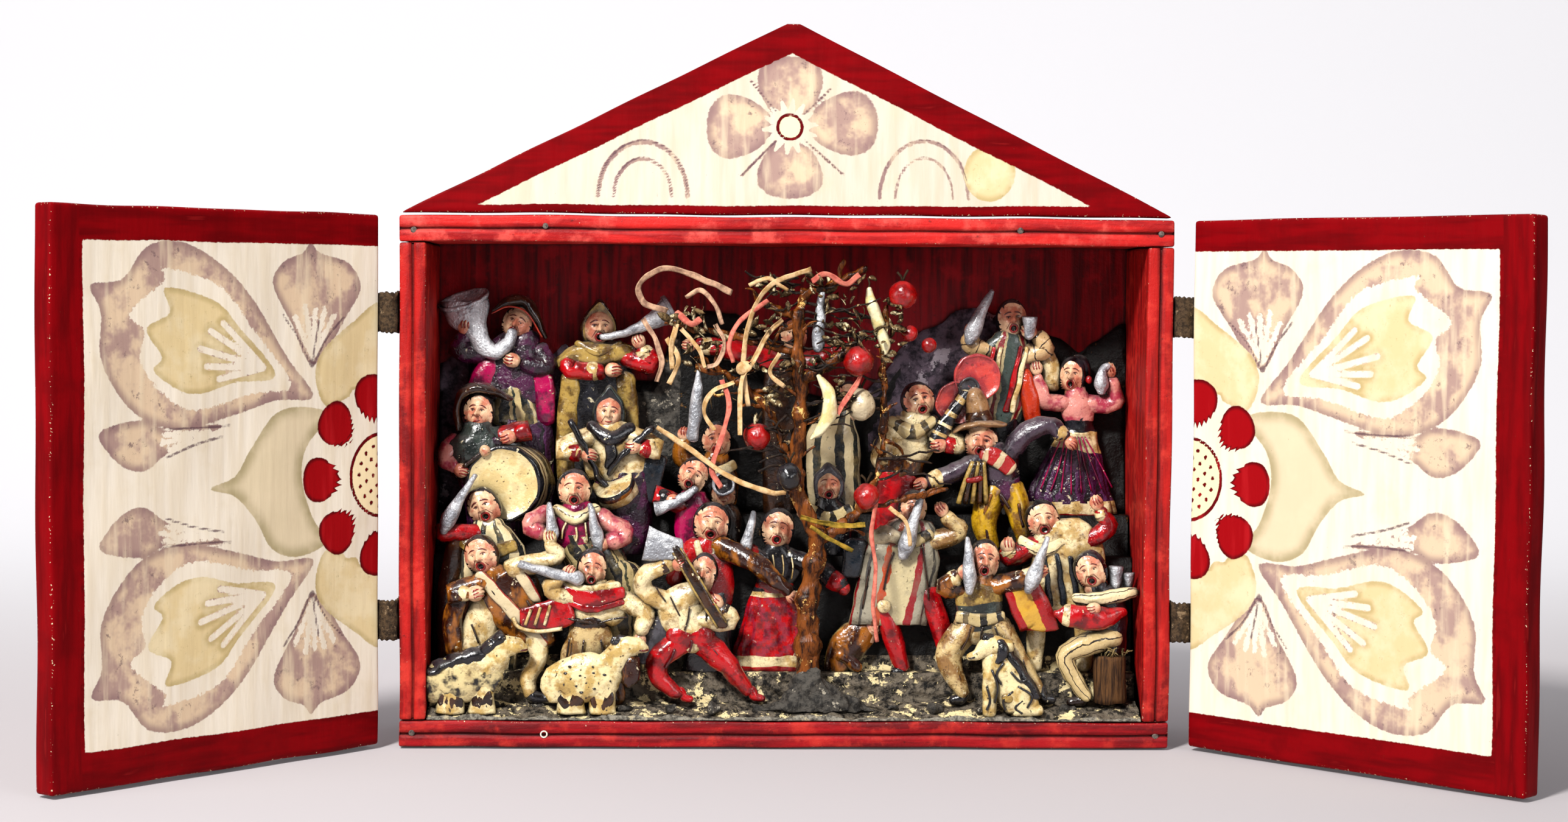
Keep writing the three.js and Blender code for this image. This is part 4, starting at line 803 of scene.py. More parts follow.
def flower_paint(name, red, red_deep, lime="e6dccb", lime_shade="dccfb9"):
    """Limewashed wood with water-paint flowers: dry, matt, thin washes whose pigment pools at the rims,
    inside a border of thick red brushed paint that is chipped along the board's edges."""
    material, tree, shader, place = new_material(name)
    ragged = clouds(tree, place, 1.6, 4, 0.65)
    fine = clouds(tree, place, 0.9, 2, 0.6)
    broad = clouds(tree, place, 16, 4, 0.6)
    brush = clouds(tree, place, 1.4, 3, 0.5, (3, 3, 26))

    def edged(field, slack, soft=0.25):
        """1 where a field, roughened by slack mm, is inside."""
        rough = maths(tree, "MULTIPLY_ADD", ragged, slack * 2, -slack)
        total = maths(tree, "ADD", attribute(tree, field), rough)
        return sharpened(tree, total, -soft, soft)

    ground = mixed(tree, sharpened(tree, brush, 0.3, 0.75), colour(lime), colour(lime_shade))
    ground = mixed(tree, sharpened(tree, broad, 0.5, 0.8, 0, 0.4), ground, colour("d0bf9e"))
    pooled = sharpened(tree, attribute(tree, "mauve"), 4.2, 0.2, 0, 0.75)
    blots = sharpened(tree, broad, 0.44, 0.6)
    wash = mixed(tree, blots, colour("d2b798"), colour("a08078"))
    wash = mixed(tree, pooled, wash, colour("7c5a5e"))
    wash = mixed(tree, sharpened(tree, clouds(tree, place, 5, 6, 0.8), 0.57, 0.66, 0, 0.75), wash,
                 colour("563844"))
    wash = mixed(tree, sharpened(tree, brush, 0.48, 0.72, 0, 0.6), wash, colour("e0cdae"))
    body = mixed(tree, product(tree, edged("mauve", 0.8), 0.92), ground, wash)
    body = mixed(tree, edged("bare", 2.2), body, ground)
    leaf = mixed(tree, sharpened(tree, attribute(tree, "ochre"), 3, 0.3, 0, 0.7), colour("d6c090"),
                 colour("a8925c"))
    leaf = mixed(tree, sharpened(tree, broad, 0.42, 0.64, 0, 0.75), leaf, colour("e2d2ac"))
    leaf = mixed(tree, sharpened(tree, clouds(tree, place, 2.4, 6, 0.85), 0.58, 0.68, 0, 0.5), leaf,
                 colour("8d7746"))
    body = mixed(tree, product(tree, edged("ochre", 0.7), 0.95), body, leaf)
    olive = sharpened(tree, attribute(tree, "olive"), 6, 0.3, 0.15, 0.85)
    olive = mixed(tree, product(tree, olive, sharpened(tree, broad, 0.3, 0.6, 0.4, 1)), colour("dccbab"),
                  colour("9a8c66"))
    body = mixed(tree, edged("olive", 0.5), body, olive)
    body = mixed(tree, product(tree, edged("dark", 0.5), 0.85), body, colour("5b4149"))
    body = mixed(tree, edged("disc", 0.1), body, colour("eedcb0"))
    petal = mixed(tree, sharpened(tree, attribute(tree, "red"), 1.6, 0.2), colour("94060e"), colour("56040a"))
    petal = mixed(tree, sharpened(tree, brush, 0.5, 0.7, 0, 0.5), petal, colour("b01a20"))
    body = mixed(tree, edged("red", 0.35, 0.15), body, petal)
    upright = sharpened(tree, attribute(tree, "upright"), -0.5, 0.5)
    level = clouds(tree, place, 1.4, 3, 0.5, (26, 26, 3))
    strokes = add(tree, "ShaderNodeMix", {0: upright, 2: level, 3: brush}).outputs[0]
    thick = mixed(tree, sharpened(tree, strokes, 0.36, 0.7), colour(red), colour(red_deep))
    thick = mixed(tree, sharpened(tree, broad, 0.45, 0.72, 0, 0.6), thick, colour(red_deep))
    thick = mixed(tree, sharpened(tree, strokes, 0.66, 0.72, 0, 0.3), thick, colour("a01c1c"))
    body = mixed(tree, edged("field", 0.55, 0.2), thick, body)
    lost = maths(tree, "MULTIPLY_ADD", attribute(tree, "edge"), -0.11, fine)
    chipped = sharpened(tree, lost, 0.60, 0.64)
    body = mixed(tree, chipped, body, colour("d2bf9c"))
    grime = sharpened(tree, clouds(tree, place, 2.2, 4, 0.8), 0.68, 0.76, 0, 0.7)
    body = mixed(tree, grime, body, colour("5b4236"))
    tree.links.new(body, shader.inputs["Base Color"])
    shine = maths(tree, "MULTIPLY_ADD", brush, 0.25, 0.42)
    tree.links.new(shine, shader.inputs["Roughness"])
    shader.inputs["Specular IOR Level"].default_value = 0.05
    bumped(tree, shader, brush, 0.25)
    return material


def red_wood(name, red, deep, worn, streak=(26, 3, 3), wear=0.0, grime=0.6):
    """Pine boards under one coat of red water paint, brushed along the grain and handled: painted shade
    darkening the hollows, pinker where rubbed, with the pale ground showing along the edges."""
    material, tree, shader, place = new_material(name)
    brush = clouds(tree, place, 1.5, 4, 0.6, streak)
    broad = clouds(tree, place, 12, 5, 0.65)
    fine = clouds(tree, place, 0.8, 3, 0.7)
    body = mixed(tree, sharpened(tree, brush, 0.35, 0.68), colour(red), colour(deep))
    body = mixed(tree, sharpened(tree, broad, 0.48, 0.7, 0, 0.75), body, colour(worn))
    body = mixed(tree, sharpened(tree, clouds(tree, place, 4, 5, 0.8), 0.6, 0.68, 0, grime), body,
                 colour("3a0d0e"))
    flakes = clouds(tree, place, 2.4, 5, 0.75)
    body = mixed(tree, sharpened(tree, flakes, 0.74 - wear, 0.76 - wear), body, colour("d9b9a0"))
    lost = maths(tree, "MULTIPLY_ADD", attribute(tree, "edge"), -0.14, fine)
    body = mixed(tree, sharpened(tree, lost, 0.6, 0.64), body, colour("d8c3a2"))
    # painted shade: ambient occlusion darkens the grooves and hollows
    crease_shade = add(tree, "ShaderNodeAmbientOcclusion", {"Distance": 2.4 * MM}, samples=5).outputs["AO"]
    body = mixed(tree, sharpened(tree, crease_shade, 0.4, 0.9, 0.9, 0), body, colour("1c0404"))
    tree.links.new(body, shader.inputs["Base Color"])
    shine = maths(tree, "MULTIPLY_ADD", broad, 0.3, 0.36)
    tree.links.new(shine, shader.inputs["Roughness"])
    shader.inputs["Specular IOR Level"].default_value = 0.2
    both = maths(tree, "MULTIPLY_ADD", flakes, 0.6, brush)
    bumped(tree, shader, both, 0.5)
    return material


def plain_finish(name, base, shade, size=2.0, rough=0.8, depth=0.3, stretch=None, third=None):
    """A dry natural surface in two tones, such as twig bark, paper, leather or plaster dust, with painted
    shade darkening its creases.
    """
    material, tree, shader, place = new_material(name)
    tone = clouds(tree, place, size, 5, 0.7, stretch)
    body = mixed(tree, sharpened(tree, tone, 0.4, 0.62), colour(base), colour(shade))
    if third:
        patch = clouds(tree, place, size * 2.3, 5, 0.75)
        body = mixed(tree, sharpened(tree, patch, third[1], third[1] + 0.03), body, colour(third[0]))
    # painted shade: ambient occlusion darkens the creases towards near black
    crease_shade = add(tree, "ShaderNodeAmbientOcclusion", {"Distance": 3 * MM}, samples=5).outputs["AO"]
    body = mixed(tree, sharpened(tree, crease_shade, 0.2, 0.8, 0.8, 0), body, colour("0d0907"))
    tree.links.new(body, shader.inputs["Base Color"])
    shader.inputs["Roughness"].default_value = rough
    shader.inputs["Specular IOR Level"].default_value = 0.22
    bumped(tree, shader, tone, depth)
    PASTE[name] = material
    return material


# ---- Figures ---------------------------------------------------------------------------------------
ROW = {"animal": 4.8, "front": 14.5, "second": 26, "third": 37.5, "back": 49}  # depths behind the front


class Figure:
    """One modelled figure in its row. A path is [(x, z, deeper, half width, half depth), ...] in mm."""

    def __init__(self, name, row, deeper=0.0, slot="cream_paste"):
        self.name, self.slot, self.clay = name, slot, Clay()
        self.row = ROW[row] + deeper

    def roll(self, path, paint, **how):
        roll(self.clay, self.row, path, paint, **how)

    def sleeve(self, path, paint, cuff=None):
        """An arm with a few elbow creases, and a cuff ring in its own colour before the hand."""
        self.roll(path, paint, around=16, folds=(2, 0.05, 1), wobble=0.45)
        if cuff:
            (x0, z0, d0, *_), (x1, z1, d1, w1, *_) = path[-2:]
            near = [(x1 - (x1 - x0) * t, z1 - (z1 - z0) * t, d1 - (d1 - d0) * t, w1 * 1.12) for t in (0.3,
                    0.1)]
            self.roll(near, cuff, around=16, steps=2, wobble=0.2)

    def flap(self, path, paint, **how):
        """A thin sheet of rolled paste laid on, such as a cape, an apron or a band."""
        self.roll([(*p[:4], p[4] if len(p) > 4 else 1.3) for p in path], paint, around=20, blunt=3, **how)

    def head(self, x, z, wide, tall, tilt=0, turn=0, nod=0, deeper=0.2, **how):
        self.roll([(x + tilt * -0.06, z - tall * 1.15, 0.4, 3.2), (x, z, 0.4, 2.8)],
                  how.get("skin", "flesh paste"),
                  around=12, steps=2)
        head(self.clay, self.row, (x, z, deeper), wide, tall, (tilt, turn, nod), **how)

    def hand(self, x, z, deeper, direction, size=3.3, **how):
        hand(self.clay, self.row, (x, z, deeper), direction, size, **how)

    def lump(self, x, z, deeper, size, paint, **how):
        lump(self.clay, self.row, (x, z, deeper), size, paint, **how)

    def disc(self, x, z, deeper, *args, **how):
        flat_disc(self.clay, self.row, (x, z, deeper), *args, **how)

    def mouth(self, x, z, deeper, wide, deep, lift, lean=0.0, paint="silver paint"):
        """The open flared mouth of a horn that faces up, its far lip lifted so that it shows."""
        k = np.linspace(0, 2 * math.pi, 36, endpoint=False)
        y = FRONT + self.row + deeper
        c, d, rings = math.cos(lean), math.sin(lean), []
        for r, dz in ((0.15, -4.5), (0.5, -3.6), (0.82, -1.6), (0.97, 0.2), (1.03, 0.7), (1.06, 0),
                      (0.98, -1.6)):
            u, w = wide * r * np.cos(k), lift * r * np.sin(k) + dz
            rings.append(np.stack([x + u * c - w * d, y + deep * r * np.sin(k), z + u * d + w * c], -1))
        self.clay.skin(rings, lambda s, r: "pale grey paste" if s < 0.3 else paint, wobble=0.2)

    def tub(self, x, z, deeper, radius, height, tilt, nod, paints):
        """A small drum or tub whose top leans tilt degrees and faces the viewer by nod, in painted bands."""
        k = np.linspace(0, 2 * math.pi, 40, endpoint=False)
        steps = [(0.3, 0.5)] + [(0.9, 0.5)] + [(1, 0.5 - n / 4.4) for n in range(len(paints) - 2)] + [(0.9,
                -0.5)]
        rings = np.stack([np.stack([radius * r * np.cos(k), radius * r * np.sin(k), np.full(40, height * h)],
                                   -1)
                          for r, h in steps])
        rings = rings @ turned(tilt, 0, nod).T + np.array([x, FRONT + self.row + deeper, z])
        self.clay.skin(rings, lambda s, r: paints[int(round(s * (len(paints) - 1)))], wobble=0.3)

    def line(self, points, radius, paint):
        """A painted line or thin rope through (x, z, deeper) points."""
        p = smooth(np.array(points, float), 5)
        stroke(self.clay, np.stack([p[:, 0], FRONT + self.row + p[:, 2], p[:, 1]], -1), radius, paint,
               around=7)

    def marks(self, points, paint="black paste", size=0.45):
        """Short brush strokes on a cloth, each from (x, z) to (x, z) at a depth."""
        for x0, z0, x1, z1, deeper in points:
            bend = 0.5 * math.sin(x0 * 3 + z0)
            self.line([(x0, z0, deeper), ((x0 + x1) / 2 + bend, (z0 + z1) / 2 - bend, deeper - 0.3),
                       (x1, z1, deeper)],
                      size, paint)

    def boot(self, x, z, toe, paint="black paste", size=2.7, deeper=-1.8):
        """A boot from the ankle at (x, z) to a toe that far sideways."""
        self.roll([(x, z + 1.5, deeper + 0.6, size, size * 1.05),
                   (x + toe * 0.25, z - 1.4, deeper, size * 1.05),
                   (x + toe, z - 2.2, deeper - 0.5, size * 0.72)], paint, around=14, wobble=0.2)

    def done(self):
        thing = self.clay.piece(self.name + "_modelled")
        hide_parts(self.name)
        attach(thing, "case")
        return thing


def leaning_man():
    f = Figure("leaning_man", "front", 1.2, "brown_paste")
    f.roll([(-130, 17.8, 1, 7.5, 4), (-130.5, 40, 1, 7.5, 4), (-124, 60, 1, 7, 4)], "cream paste",
           folds=(5, 0.07, 0))
    f.roll([(-138.5, 38, -1.4, 3.8, 3), (-139, 52, -1.6, 4.4, 3), (-136, 62, -1, 3.4, 3)],
           "brown varnished paste")
    f.roll([(-103, 43, 0, 7, 4), (-110, 53, 0, 11, 4), (-117, 64, 0, 13.6, 4.4), (-122, 71.5, 0, 7, 4)],
           "brown varnished paste", folds=(6, 0.07, 0.5))
    f.flap([(-128, 71, -3.4, 2.4), (-117, 59, -4.7, 2.8), (-108, 49, -4.4, 2.8), (-101, 41, -3.2, 2.4)],
           "white band with a red line")
    f.flap([(-113, 75, -3.2, 2.2), (-108, 67, -3.8, 2.6), (-104, 60, -2.6, 2.2)],
           "white band with a red line")
    f.marks([(-124, 66, -112, 50, -5), (-131, 50, -128, 42, -4.6), (-108, 60, -103, 52, -4.2)],
            "dark brown paste")
    f.roll([(-105, 44, -0.6, 4.8), (-103, 36, -1.4, 4), (-107.5, 27, -1.4, 3.4), (-107, 21, -1.6, 3)],
           "cream paste")
    f.boot(-107, 20.6, 8.5)
    f.sleeve([(-125, 67, -1, 4.4), (-140, 62.6, -2.8, 4.4), (-133, 63, -5, 3.2)], "brown varnished paste",
             "cream paste")
    f.hand(-129.4, 63, -5.6, 10, 3.6)
    f.sleeve([(-114, 73, -1, 4.4), (-96, 78, -1.6, 3.8), (-98.2, 83, -2.4, 2.8)], "cream paste")
    f.hand(-98.4, 86, -2.8, 95, 3.0, skin="cream paste")
    f.head(-127, 78.2, 6.6, 8, -14, -12, mouth="open", hair="dark brown paste")
    return f.done()


def horn_woman():
    f = Figure("horn_woman", "front", 0, "cream_paste")
    f.roll([(-82, 17.8, 0, 14.4, 5), (-82, 26, 0, 13.6, 5), (-82, 38, 0, 11.4, 4.8), (-82, 50, 0, 8, 4.4)],
           lambda s, r: "brown varnished paste" if s < 0.5 and 0.55 < r < 0.8 else "aged cream paste",
           around=44, folds=(9, 0.075, 0.3))
    f.roll([(-82, 49.6, -0.2, 8.3, 4.7), (-82, 52.2, -0.2, 8.3, 4.7)], "dark brown paste", around=24, steps=2)
    f.roll([(-82, 52, 0, 9, 4.4), (-80, 57, 0, 13.4, 4.9), (-79, 63, 0, 12, 4.6), (-80, 66.5, 0, 6, 4)],
           "cream paste",
           folds=(4, 0.05, 1))
    f.flap([(-93, 64, -3.4, 3.2, 1.6), (-81, 61.4, -5, 3.6, 1.6), (-68, 63.6, -3.6, 2.8, 1.6)], "red paste")
    f.flap([(-92, 67, -3.6, 1.4, 1.4), (-81, 65.4, -5.2, 1.5, 1.4), (-70, 66.8, -3.8, 1.3, 1.4)],
           "cream paste")
    f.flap([(-91, 59.4, -3.6, 1.4, 1.4), (-81, 56.8, -5, 1.6, 1.4), (-68, 59.4, -3.8, 1.4, 1.4)], "red paste")
    f.flap([(-90, 56.4, -3.4, 6, 1.9), (-99, 53.6, -4.2, 6.6, 1.6), (-110, 52, -4.4, 4.8, 1.2)], "red paste")
    for k in range(3):
        f.line([(-98 - 4 * k, 58.4 - k * 0.9, -6), (-100.4 - 4 * k, 50, -6.1)], 0.7, "cream paste")
    f.line([(-93, 48.6, -5.6), (-103, 47.4, -5.8), (-111, 49, -5.6), (-113.6, 53, -5.2)], 0.9, "cream paste")
    f.marks([(-92, 53, -80, 50.6, -5.2), (-78, 50.6, -66, 53.4, -5), (-90, 44, -92, 32, -5.4),
             (-84, 44, -85, 28, -5.8),
             (-77, 44, -75, 30, -5.6), (-72, 40, -69, 28, -5)], "dark brown paste")
    f.sleeve([(-87, 60, -2, 4.2, 3.6), (-98, 64.6, -3.8, 3.8, 3), (-93.6, 69.5, -4.8, 3)], "cream paste")
    f.hand(-90.4, 72, -5.6, 60, 3.2)
    f.sleeve([(-72, 61, 0, 4.4), (-59, 55.6, -2, 3.8), (-60, 47.4, -3.2, 3)], "cream paste", "cream paste")
    f.hand(-60.8, 43.4, -3.6, 265, 3.0)
    f.head(-81, 72.7, 5.8, 8, 6, 4, hair="black paste")
    f.roll([(-111.5, 75.8, -6, 1.5), (-102, 73, -6.4, 2), (-93, 71, -6.6, 2.4), (-86.4, 69.6, -6.2, 2.9)],
           "silver paint", tips=(False, True))
    return f.done()


def axe_man():
    f = Figure("axe_man", "front", 0, "cream_paste")
    f.flap([(-57, 35, 0.6, 5, 2.2), (-54, 45, 0.4, 5.6, 2.6), (-50, 52, 0, 5, 2.4)], "grey paste")
    f.roll([(-42, 44, 0, 6, 4.4), (-52.6, 35.6, -1.5, 5, 4.4), (-52, 27, -1.5, 4), (-45, 21, -2, 2.8)],
           "red paste",
           folds=(5, 0.06, 0))
    f.roll([(-36, 44, 0, 6, 4.6), (-25.4, 34.6, -1, 5), (-15.4, 22, -1, 2.8)], "red paste",
           folds=(5, 0.06, 1))
    f.boot(-43.4, 20.6, 4, "red paste", 2)
    f.boot(-13.6, 21, 4.6, "red paste", 2)
    f.roll([(-38, 42, 0, 8, 4.8), (-41, 50, 0, 9.4, 5), (-45, 57, 0, 9, 5), (-38, 64, 0, 5, 4.2)],
           "cream paste",
           folds=(5, 0.06, 0.8))
    f.roll([(-46, 45, -0.6, 6.4, 4.7), (-33, 44.4, -0.6, 6, 4.7)], "red paste", around=20)
    f.sleeve([(-47, 58, 0, 5), (-58.6, 63.4, -1, 4.4), (-58.4, 71, -2.8, 4), (-49, 75.4, -4, 3.2)],
             "cream paste",
             "dark brown paste")
    f.hand(-44, 76, -5.4, 20, 3.3)
    f.sleeve([(-36, 52, 0, 4.4), (-23, 52, -2.6, 4.2), (-26.4, 56.4, -4.4, 3.4)], "cream paste",
             "dark brown paste")
    f.hand(-29, 60, -5.8, 130, 3.3)
    f.roll([(-26.4, 50.4, -6.6, 2.4, 1.7), (-36, 66, -7, 2.6, 1.8), (-46, 83, -5.8, 2.2, 1.6)],
           "dark brown paste",
           around=16, blunt=3)
    for side in (-1, 1):
        f.line([(-26.4 + side * 1.7, 50.4 + side * 1.2, -7.9), (-36 + side * 1.9, 66 + side * 1.3, -8.4),
                (-45.4 + side * 1.6, 81.6 + side, -7.2)], 0.5, "ochre paste")
    f.roll([(-44, 82.4, -5.4, 4.4, 1.6), (-50, 82.6, -5.8, 5.6, 1.4), (-58.4, 84.4, -5.4, 7.4, 1)],
           "silver paint",
           blunt=3.6, tips=(True, False))
    f.marks([(-48, 62, -44, 54, -5.2), (-40, 58, -42, 48, -5.4), (-54, 66, -50, 60, -5),
             (-34, 60, -33, 52, -5)], "dark brown paste", 0.35)
    f.marks([(-46, 40, -50, 32, -5.4), (-30, 40, -24, 33, -5.2), (-40, 39, -39, 44, -6)],
            "dark red painted line", 0.5)
    f.head(-34.4, 71.2, 5.4, 8, 10, -6, mouth="smile", hair="black paste")
    return f.done()


def front_man():
    f = Figure("front_man", "front", 0, "cream_paste")
    f.roll([(77, 50, 0, 6.4, 5), (69, 37, -1.5, 5.4, 4.6), (74.6, 22, -2, 3.2)], "aged cream paste",
           folds=(4, 0.06, 0))
    f.roll([(89, 50, 0, 6.4, 5), (98, 35, -0.5, 5.2, 4.6), (107, 22.4, -1, 3.2)], "aged cream paste",
           folds=(4, 0.06, 1))
    f.boot(75.4, 20.6, -4.5)
    f.boot(108, 21, 4.5)

    def tunic(s, r):
        for end, paint in ((0.2, "cream paste"), (0.44, "green grey paste"), (0.7, "ochre paste")):
            if s < end:
                return paint
        return "brown varnished paste"

    f.roll([(83, 46, 0, 9.5, 5), (82, 57, 0, 9.5, 5), (81, 67, 0, 10, 4.8), (83, 71, 0, 5, 4)], tunic,
           folds=(5, 0.05, 1))
    f.flap([(72.6, 54, -3.4, 2.4), (82, 52.6, -5, 2.6), (91.6, 54.4, -3.4, 2.4)], "cream and black scarf")
    f.roll([(107.4, 49, -1, 8, 1.8), (103, 58, -1.6, 8.4, 1.9), (98.6, 68, -1, 7.6, 1.7)],
           "red and yellow cloth",
           blunt=4, around=28)
    f.sleeve([(76, 66, 0, 4.4), (67, 66.6, -2.2, 4.4), (71.6, 70.6, -4, 3.4)], "brown varnished paste",
             "cream paste")
    f.hand(75.4, 73, -5.2, 40, 3.4)
    f.sleeve([(87, 66, 0, 4.2), (98, 69, -1.4, 4.2), (102.6, 71.2, -3, 3.4)], "brown varnished paste",
             "cream paste")
    f.hand(106.6, 73.2, -4.4, 20, 3.3)
    bottle(f.clay, f.row, [(77, 65, -7, 1.9), (76.9, 70, -7.2, 2.9), (76.6, 77, -7.2, 2.4),
                           (76.2, 87, -6.6, 1.1)])
    bottle(f.clay, f.row, [(102, 65.6, -6, 2.2), (103.6, 70, -6.4, 3.4), (106, 77, -6.4, 2.4),
                           (109.6, 87, -5.6, 1.1)])
    f.marks([(78, 50, 74, 40, -5), (88, 50, 92, 40, -5), (83, 50, 82, 44, -5.4), (72, 34, 74, 27, -4.6),
             (100, 36, 102, 29, -4.6)],
            "dark brown paste", 0.4)
    f.head(83.5, 77.2, 6, 8.2, 5, 4, hair="black paste")
    return f.done()


def seated_player():
    f = Figure("seated_player", "front", 0, "cream_paste")
    f.roll([(138, 45, -1.4, 5), (127, 42.6, -3.4, 5), (117.8, 37, -3.5, 4), (123, 26, -3.5, 3.4),
            (127, 20.6, -3.8, 2.7)],
           "cream legging with black strokes")
    f.boot(126.6, 20, -6, "dark brown paste")
    f.roll([(138, 39, 0, 5.4, 4.6), (138, 50, 0, 6.4, 4.8), (136, 60, 0, 7, 4.8), (132, 66, 0, 4.4, 4)],
           "black paste",
           folds=(4, 0.06, 0))
    f.roll([(122, 61.8, -3.6, 2), (128, 61.4, -3.8, 3), (135, 62, -3.4, 3.4), (147, 64.6, -2.8, 2)],
           "cream cloth with black lines", folds=(7, 0.1, 0), around=26)
    f.roll([(139.5, 64, 0, 1.6), (139.4, 69, -0.2, 2.6), (139.5, 75, 0, 3)], "silver paint",
           tips=(True, False))
    f.roll([(144.6, 63, 0, 1.2), (145, 72.4, 0, 2.5)], "silver paint", tips=(True, False), steps=3)
    f.roll([(113.8, 55.4, -5.8, 1.6, 2), (118, 55, -6.4, 4.6, 3), (124, 54.2, -6.6, 5.2, 3.4),
            (133, 53.8, -6.4, 4.8, 3.4),
            (141.5, 56.4, -5, 2.2, 2.2)],
           lambda s, r: "cream paste" if 0.2 < s < 0.34 else "red paste", around=22)
    f.hand(129, 58, -8, 190, 2.8)
    f.head(128.8, 73.2, 6.2, 7.8, -16, -14, hair="black paste", hairline=0.8)
    return f.done()


def bottle_raiser():
    f = Figure("bottle_raiser", "second", 0, "cream_paste")
    f.roll([(-142, 29.3, 0, 5, 3.6), (-142, 60, 0, 5, 3.6), (-138, 84, 0, 4.4, 3.6)], "dark brown paste")
    f.roll([(-126, 29.3, 0, 12, 5), (-125, 60, 0, 13, 5), (-124, 78, 0, 14.5, 5), (-125, 90.5, 0, 7, 4.4)],
           "cream and black poncho", folds=(6, 0.05, 0), around=30)
    f.flap([(-136, 84, -2.6, 2.6), (-126, 79, -5, 3.4), (-114, 82, -3, 2.8)], "ochre paste")
    f.sleeve([(-130, 87, -1, 4), (-143.4, 87.4, -2.5, 3.8), (-143, 89.4, -3.4, 3)], "red paste",
             "cream paste")
    f.hand(-141.6, 93.4, -4.8, 70, 3.3)
    bottle(f.clay, f.row, [(-143.4, 88.6, -6.2, 2), (-141.4, 93, -6.4, 3.2), (-137, 101, -6.2, 2.2),
                           (-130.6, 111.6, -5.4, 1.1)])
    f.head(-127, 98, 6.4, 7.8, -26, -8, hair="black paste")
    return f.done()


def two_bottle_man():
    f = Figure("two_bottle_man", "second", 0, "grey_paste")
    f.roll([(-70, 29.3, 0, 11, 5), (-71, 50, 0, 12, 5), (-74, 72, 0, 13, 5)], "cream and black skirt",
           folds=(8, 0.07, 0), around=36)
    f.roll([(-76, 70, 0, 11, 5), (-82, 79, 0, 11.4, 5.2), (-87, 86, 0, 10.4, 5)], "cream and black skirt",
           folds=(6, 0.08, 0), around=30)
    f.roll([(-87, 83, 0, 10.4, 5), (-88, 91, 0, 13, 5), (-88, 98, 0, 7, 4.6)], "magenta paste",
           folds=(5, 0.06, 0))
    f.roll([(-96, 97, -2, 2.6), (-88, 93.6, -4.4, 3), (-80, 97.4, -2, 2.6)], "cream cloth with black lines")
    f.sleeve([(-100, 95, 0, 4.4), (-107, 90.5, -2.5, 4.4), (-103, 87.6, -4, 3.6)], "pink paste")
    f.hand(-99.6, 87, -5, -10, 3.3)
    f.sleeve([(-79, 94, 0, 4.4), (-68, 87, -2.6, 4.6), (-73.6, 84, -4.4, 3.6)], "pink paste")
    f.hand(-77.6, 82.8, -6, 190, 3.3)
    bottle(f.clay, f.row, [(-97.6, 84, -7, 1.8), (-97.8, 88, -7, 2.7), (-98.4, 93, -7, 2),
                           (-99.2, 100, -6.4, 1)])
    bottle(f.clay, f.row, [(-78.4, 80.6, -7.4, 1.9), (-79, 86, -7.6, 2.9), (-80.4, 92, -7.4, 2.1),
                           (-82, 99.6, -6.8, 1.1)])
    f.marks([(-92, 92, -94, 85, -5.6), (-84, 92, -83, 84, -5.8), (-88, 90, -88, 84, -5.8)], "cream paste",
            0.5)
    f.head(-89, 105.2, 6.5, 8, -2, 0, hair="black paste")
    return f.done()


def red_vest_singer():
    f = Figure("red_vest_singer", "second", 0, "red_paste")
    f.roll([(-33, 29.3, 0, 11, 5), (-33, 50, 0, 10.5, 5), (-33, 62, 0, 10.6, 5)], "black paste",
           folds=(5, 0.05, 0))
    f.roll([(-33, 58, 0, 11, 5), (-33, 68, 0, 11.4, 5), (-34, 78, 0, 10.4, 5), (-32, 85, 0, 5.4, 4.2)],
           "red paste",
           folds=(4, 0.05, 0))
    f.flap([(-37, 84, -3.6, 1.4), (-34.6, 72, -5, 1.5), (-34, 62, -4.8, 1.5)], "cream paste")
    f.sleeve([(-28, 82, -1, 4.8), (-15, 76.6, -6, 4.4), (-5, 69.5, -8, 3.6), (1.2, 63.6, -8.6, 2.6)],
             "brown varnished paste")
    f.hand(3, 61.4, -8.8, 310, 2.7)
    f.sleeve([(-42, 79, 0, 4), (-46, 68, -2, 3.8)], "red paste")
    f.head(-31, 91.2, 7.2, 8.3, 5, 0, hair="black paste")
    return f.done()


def dark_dress_woman():
    f = Figure("dark_dress_woman", "second", 1.8, "black_paste")

    def skirt(s, r):
        if s < 0.12:
            return "red paste"
        if s < 0.22 or 0.8 < s < 0.88:
            return "cream paste"
        if s > 0.8:
            return "black paste"
        return "red paste" if int(r * 26 + 1.5 * math.sin(s * 9)) % 2 else "dusty red paste"

    f.roll([(-4, 29.3, 0, 16, 4.4), (-4, 38, 0, 16.6, 4.6), (-4, 44, 0, 14.6, 4.4), (-4, 56, 0, 11.6, 4.2),
            (-4, 64, 0, 9, 4)], skirt, around=54, folds=(12, 0.1, 0), steps=6)
    f.roll([(-4, 62.5, 0, 8.4, 4.2), (-4, 66, 0, 8.2, 4.2)], "red painted line", around=24, steps=2)
    f.roll([(-4, 65, 0, 7.6, 3.8), (-3, 74, 0, 10.8, 4), (-3, 81, 0, 5.4, 3.6)], "black paste",
           folds=(5, 0.05, 0))
    for x in (-9, -5, -1, 3):
        f.line([(x, 79 - abs(x + 3) * 0.3, -4.2), (x + 0.6, 73, -4.6), (x, 68, -4.2)], 0.35, "cream paste")
    f.sleeve([(2, 77, 0, 4.2), (14, 73, -2.4, 4), (23.4, 66, -3.8, 4)], "black paste", "red paste")
    f.lump(25, 64.2, -4, (3, 3, 3), "red paste")
    f.sleeve([(-7, 76, 0, 3.8), (-15.6, 79.4, -2.4, 3.4)], "black paste", "red paste")
    f.hand(-16.6, 81.4, -3.8, 80, 2.9)
    bottle(f.clay, f.row, [(-17, 77.4, -4.8, 1.6), (-16.2, 83, -5, 2.6), (-14.8, 89, -4.8, 2),
                           (-13.2, 96, -4.2, 1.2)])
    f.head(-3, 88.8, 6.4, 8.2, 6, 0, hair="black paste")
    return f.done()


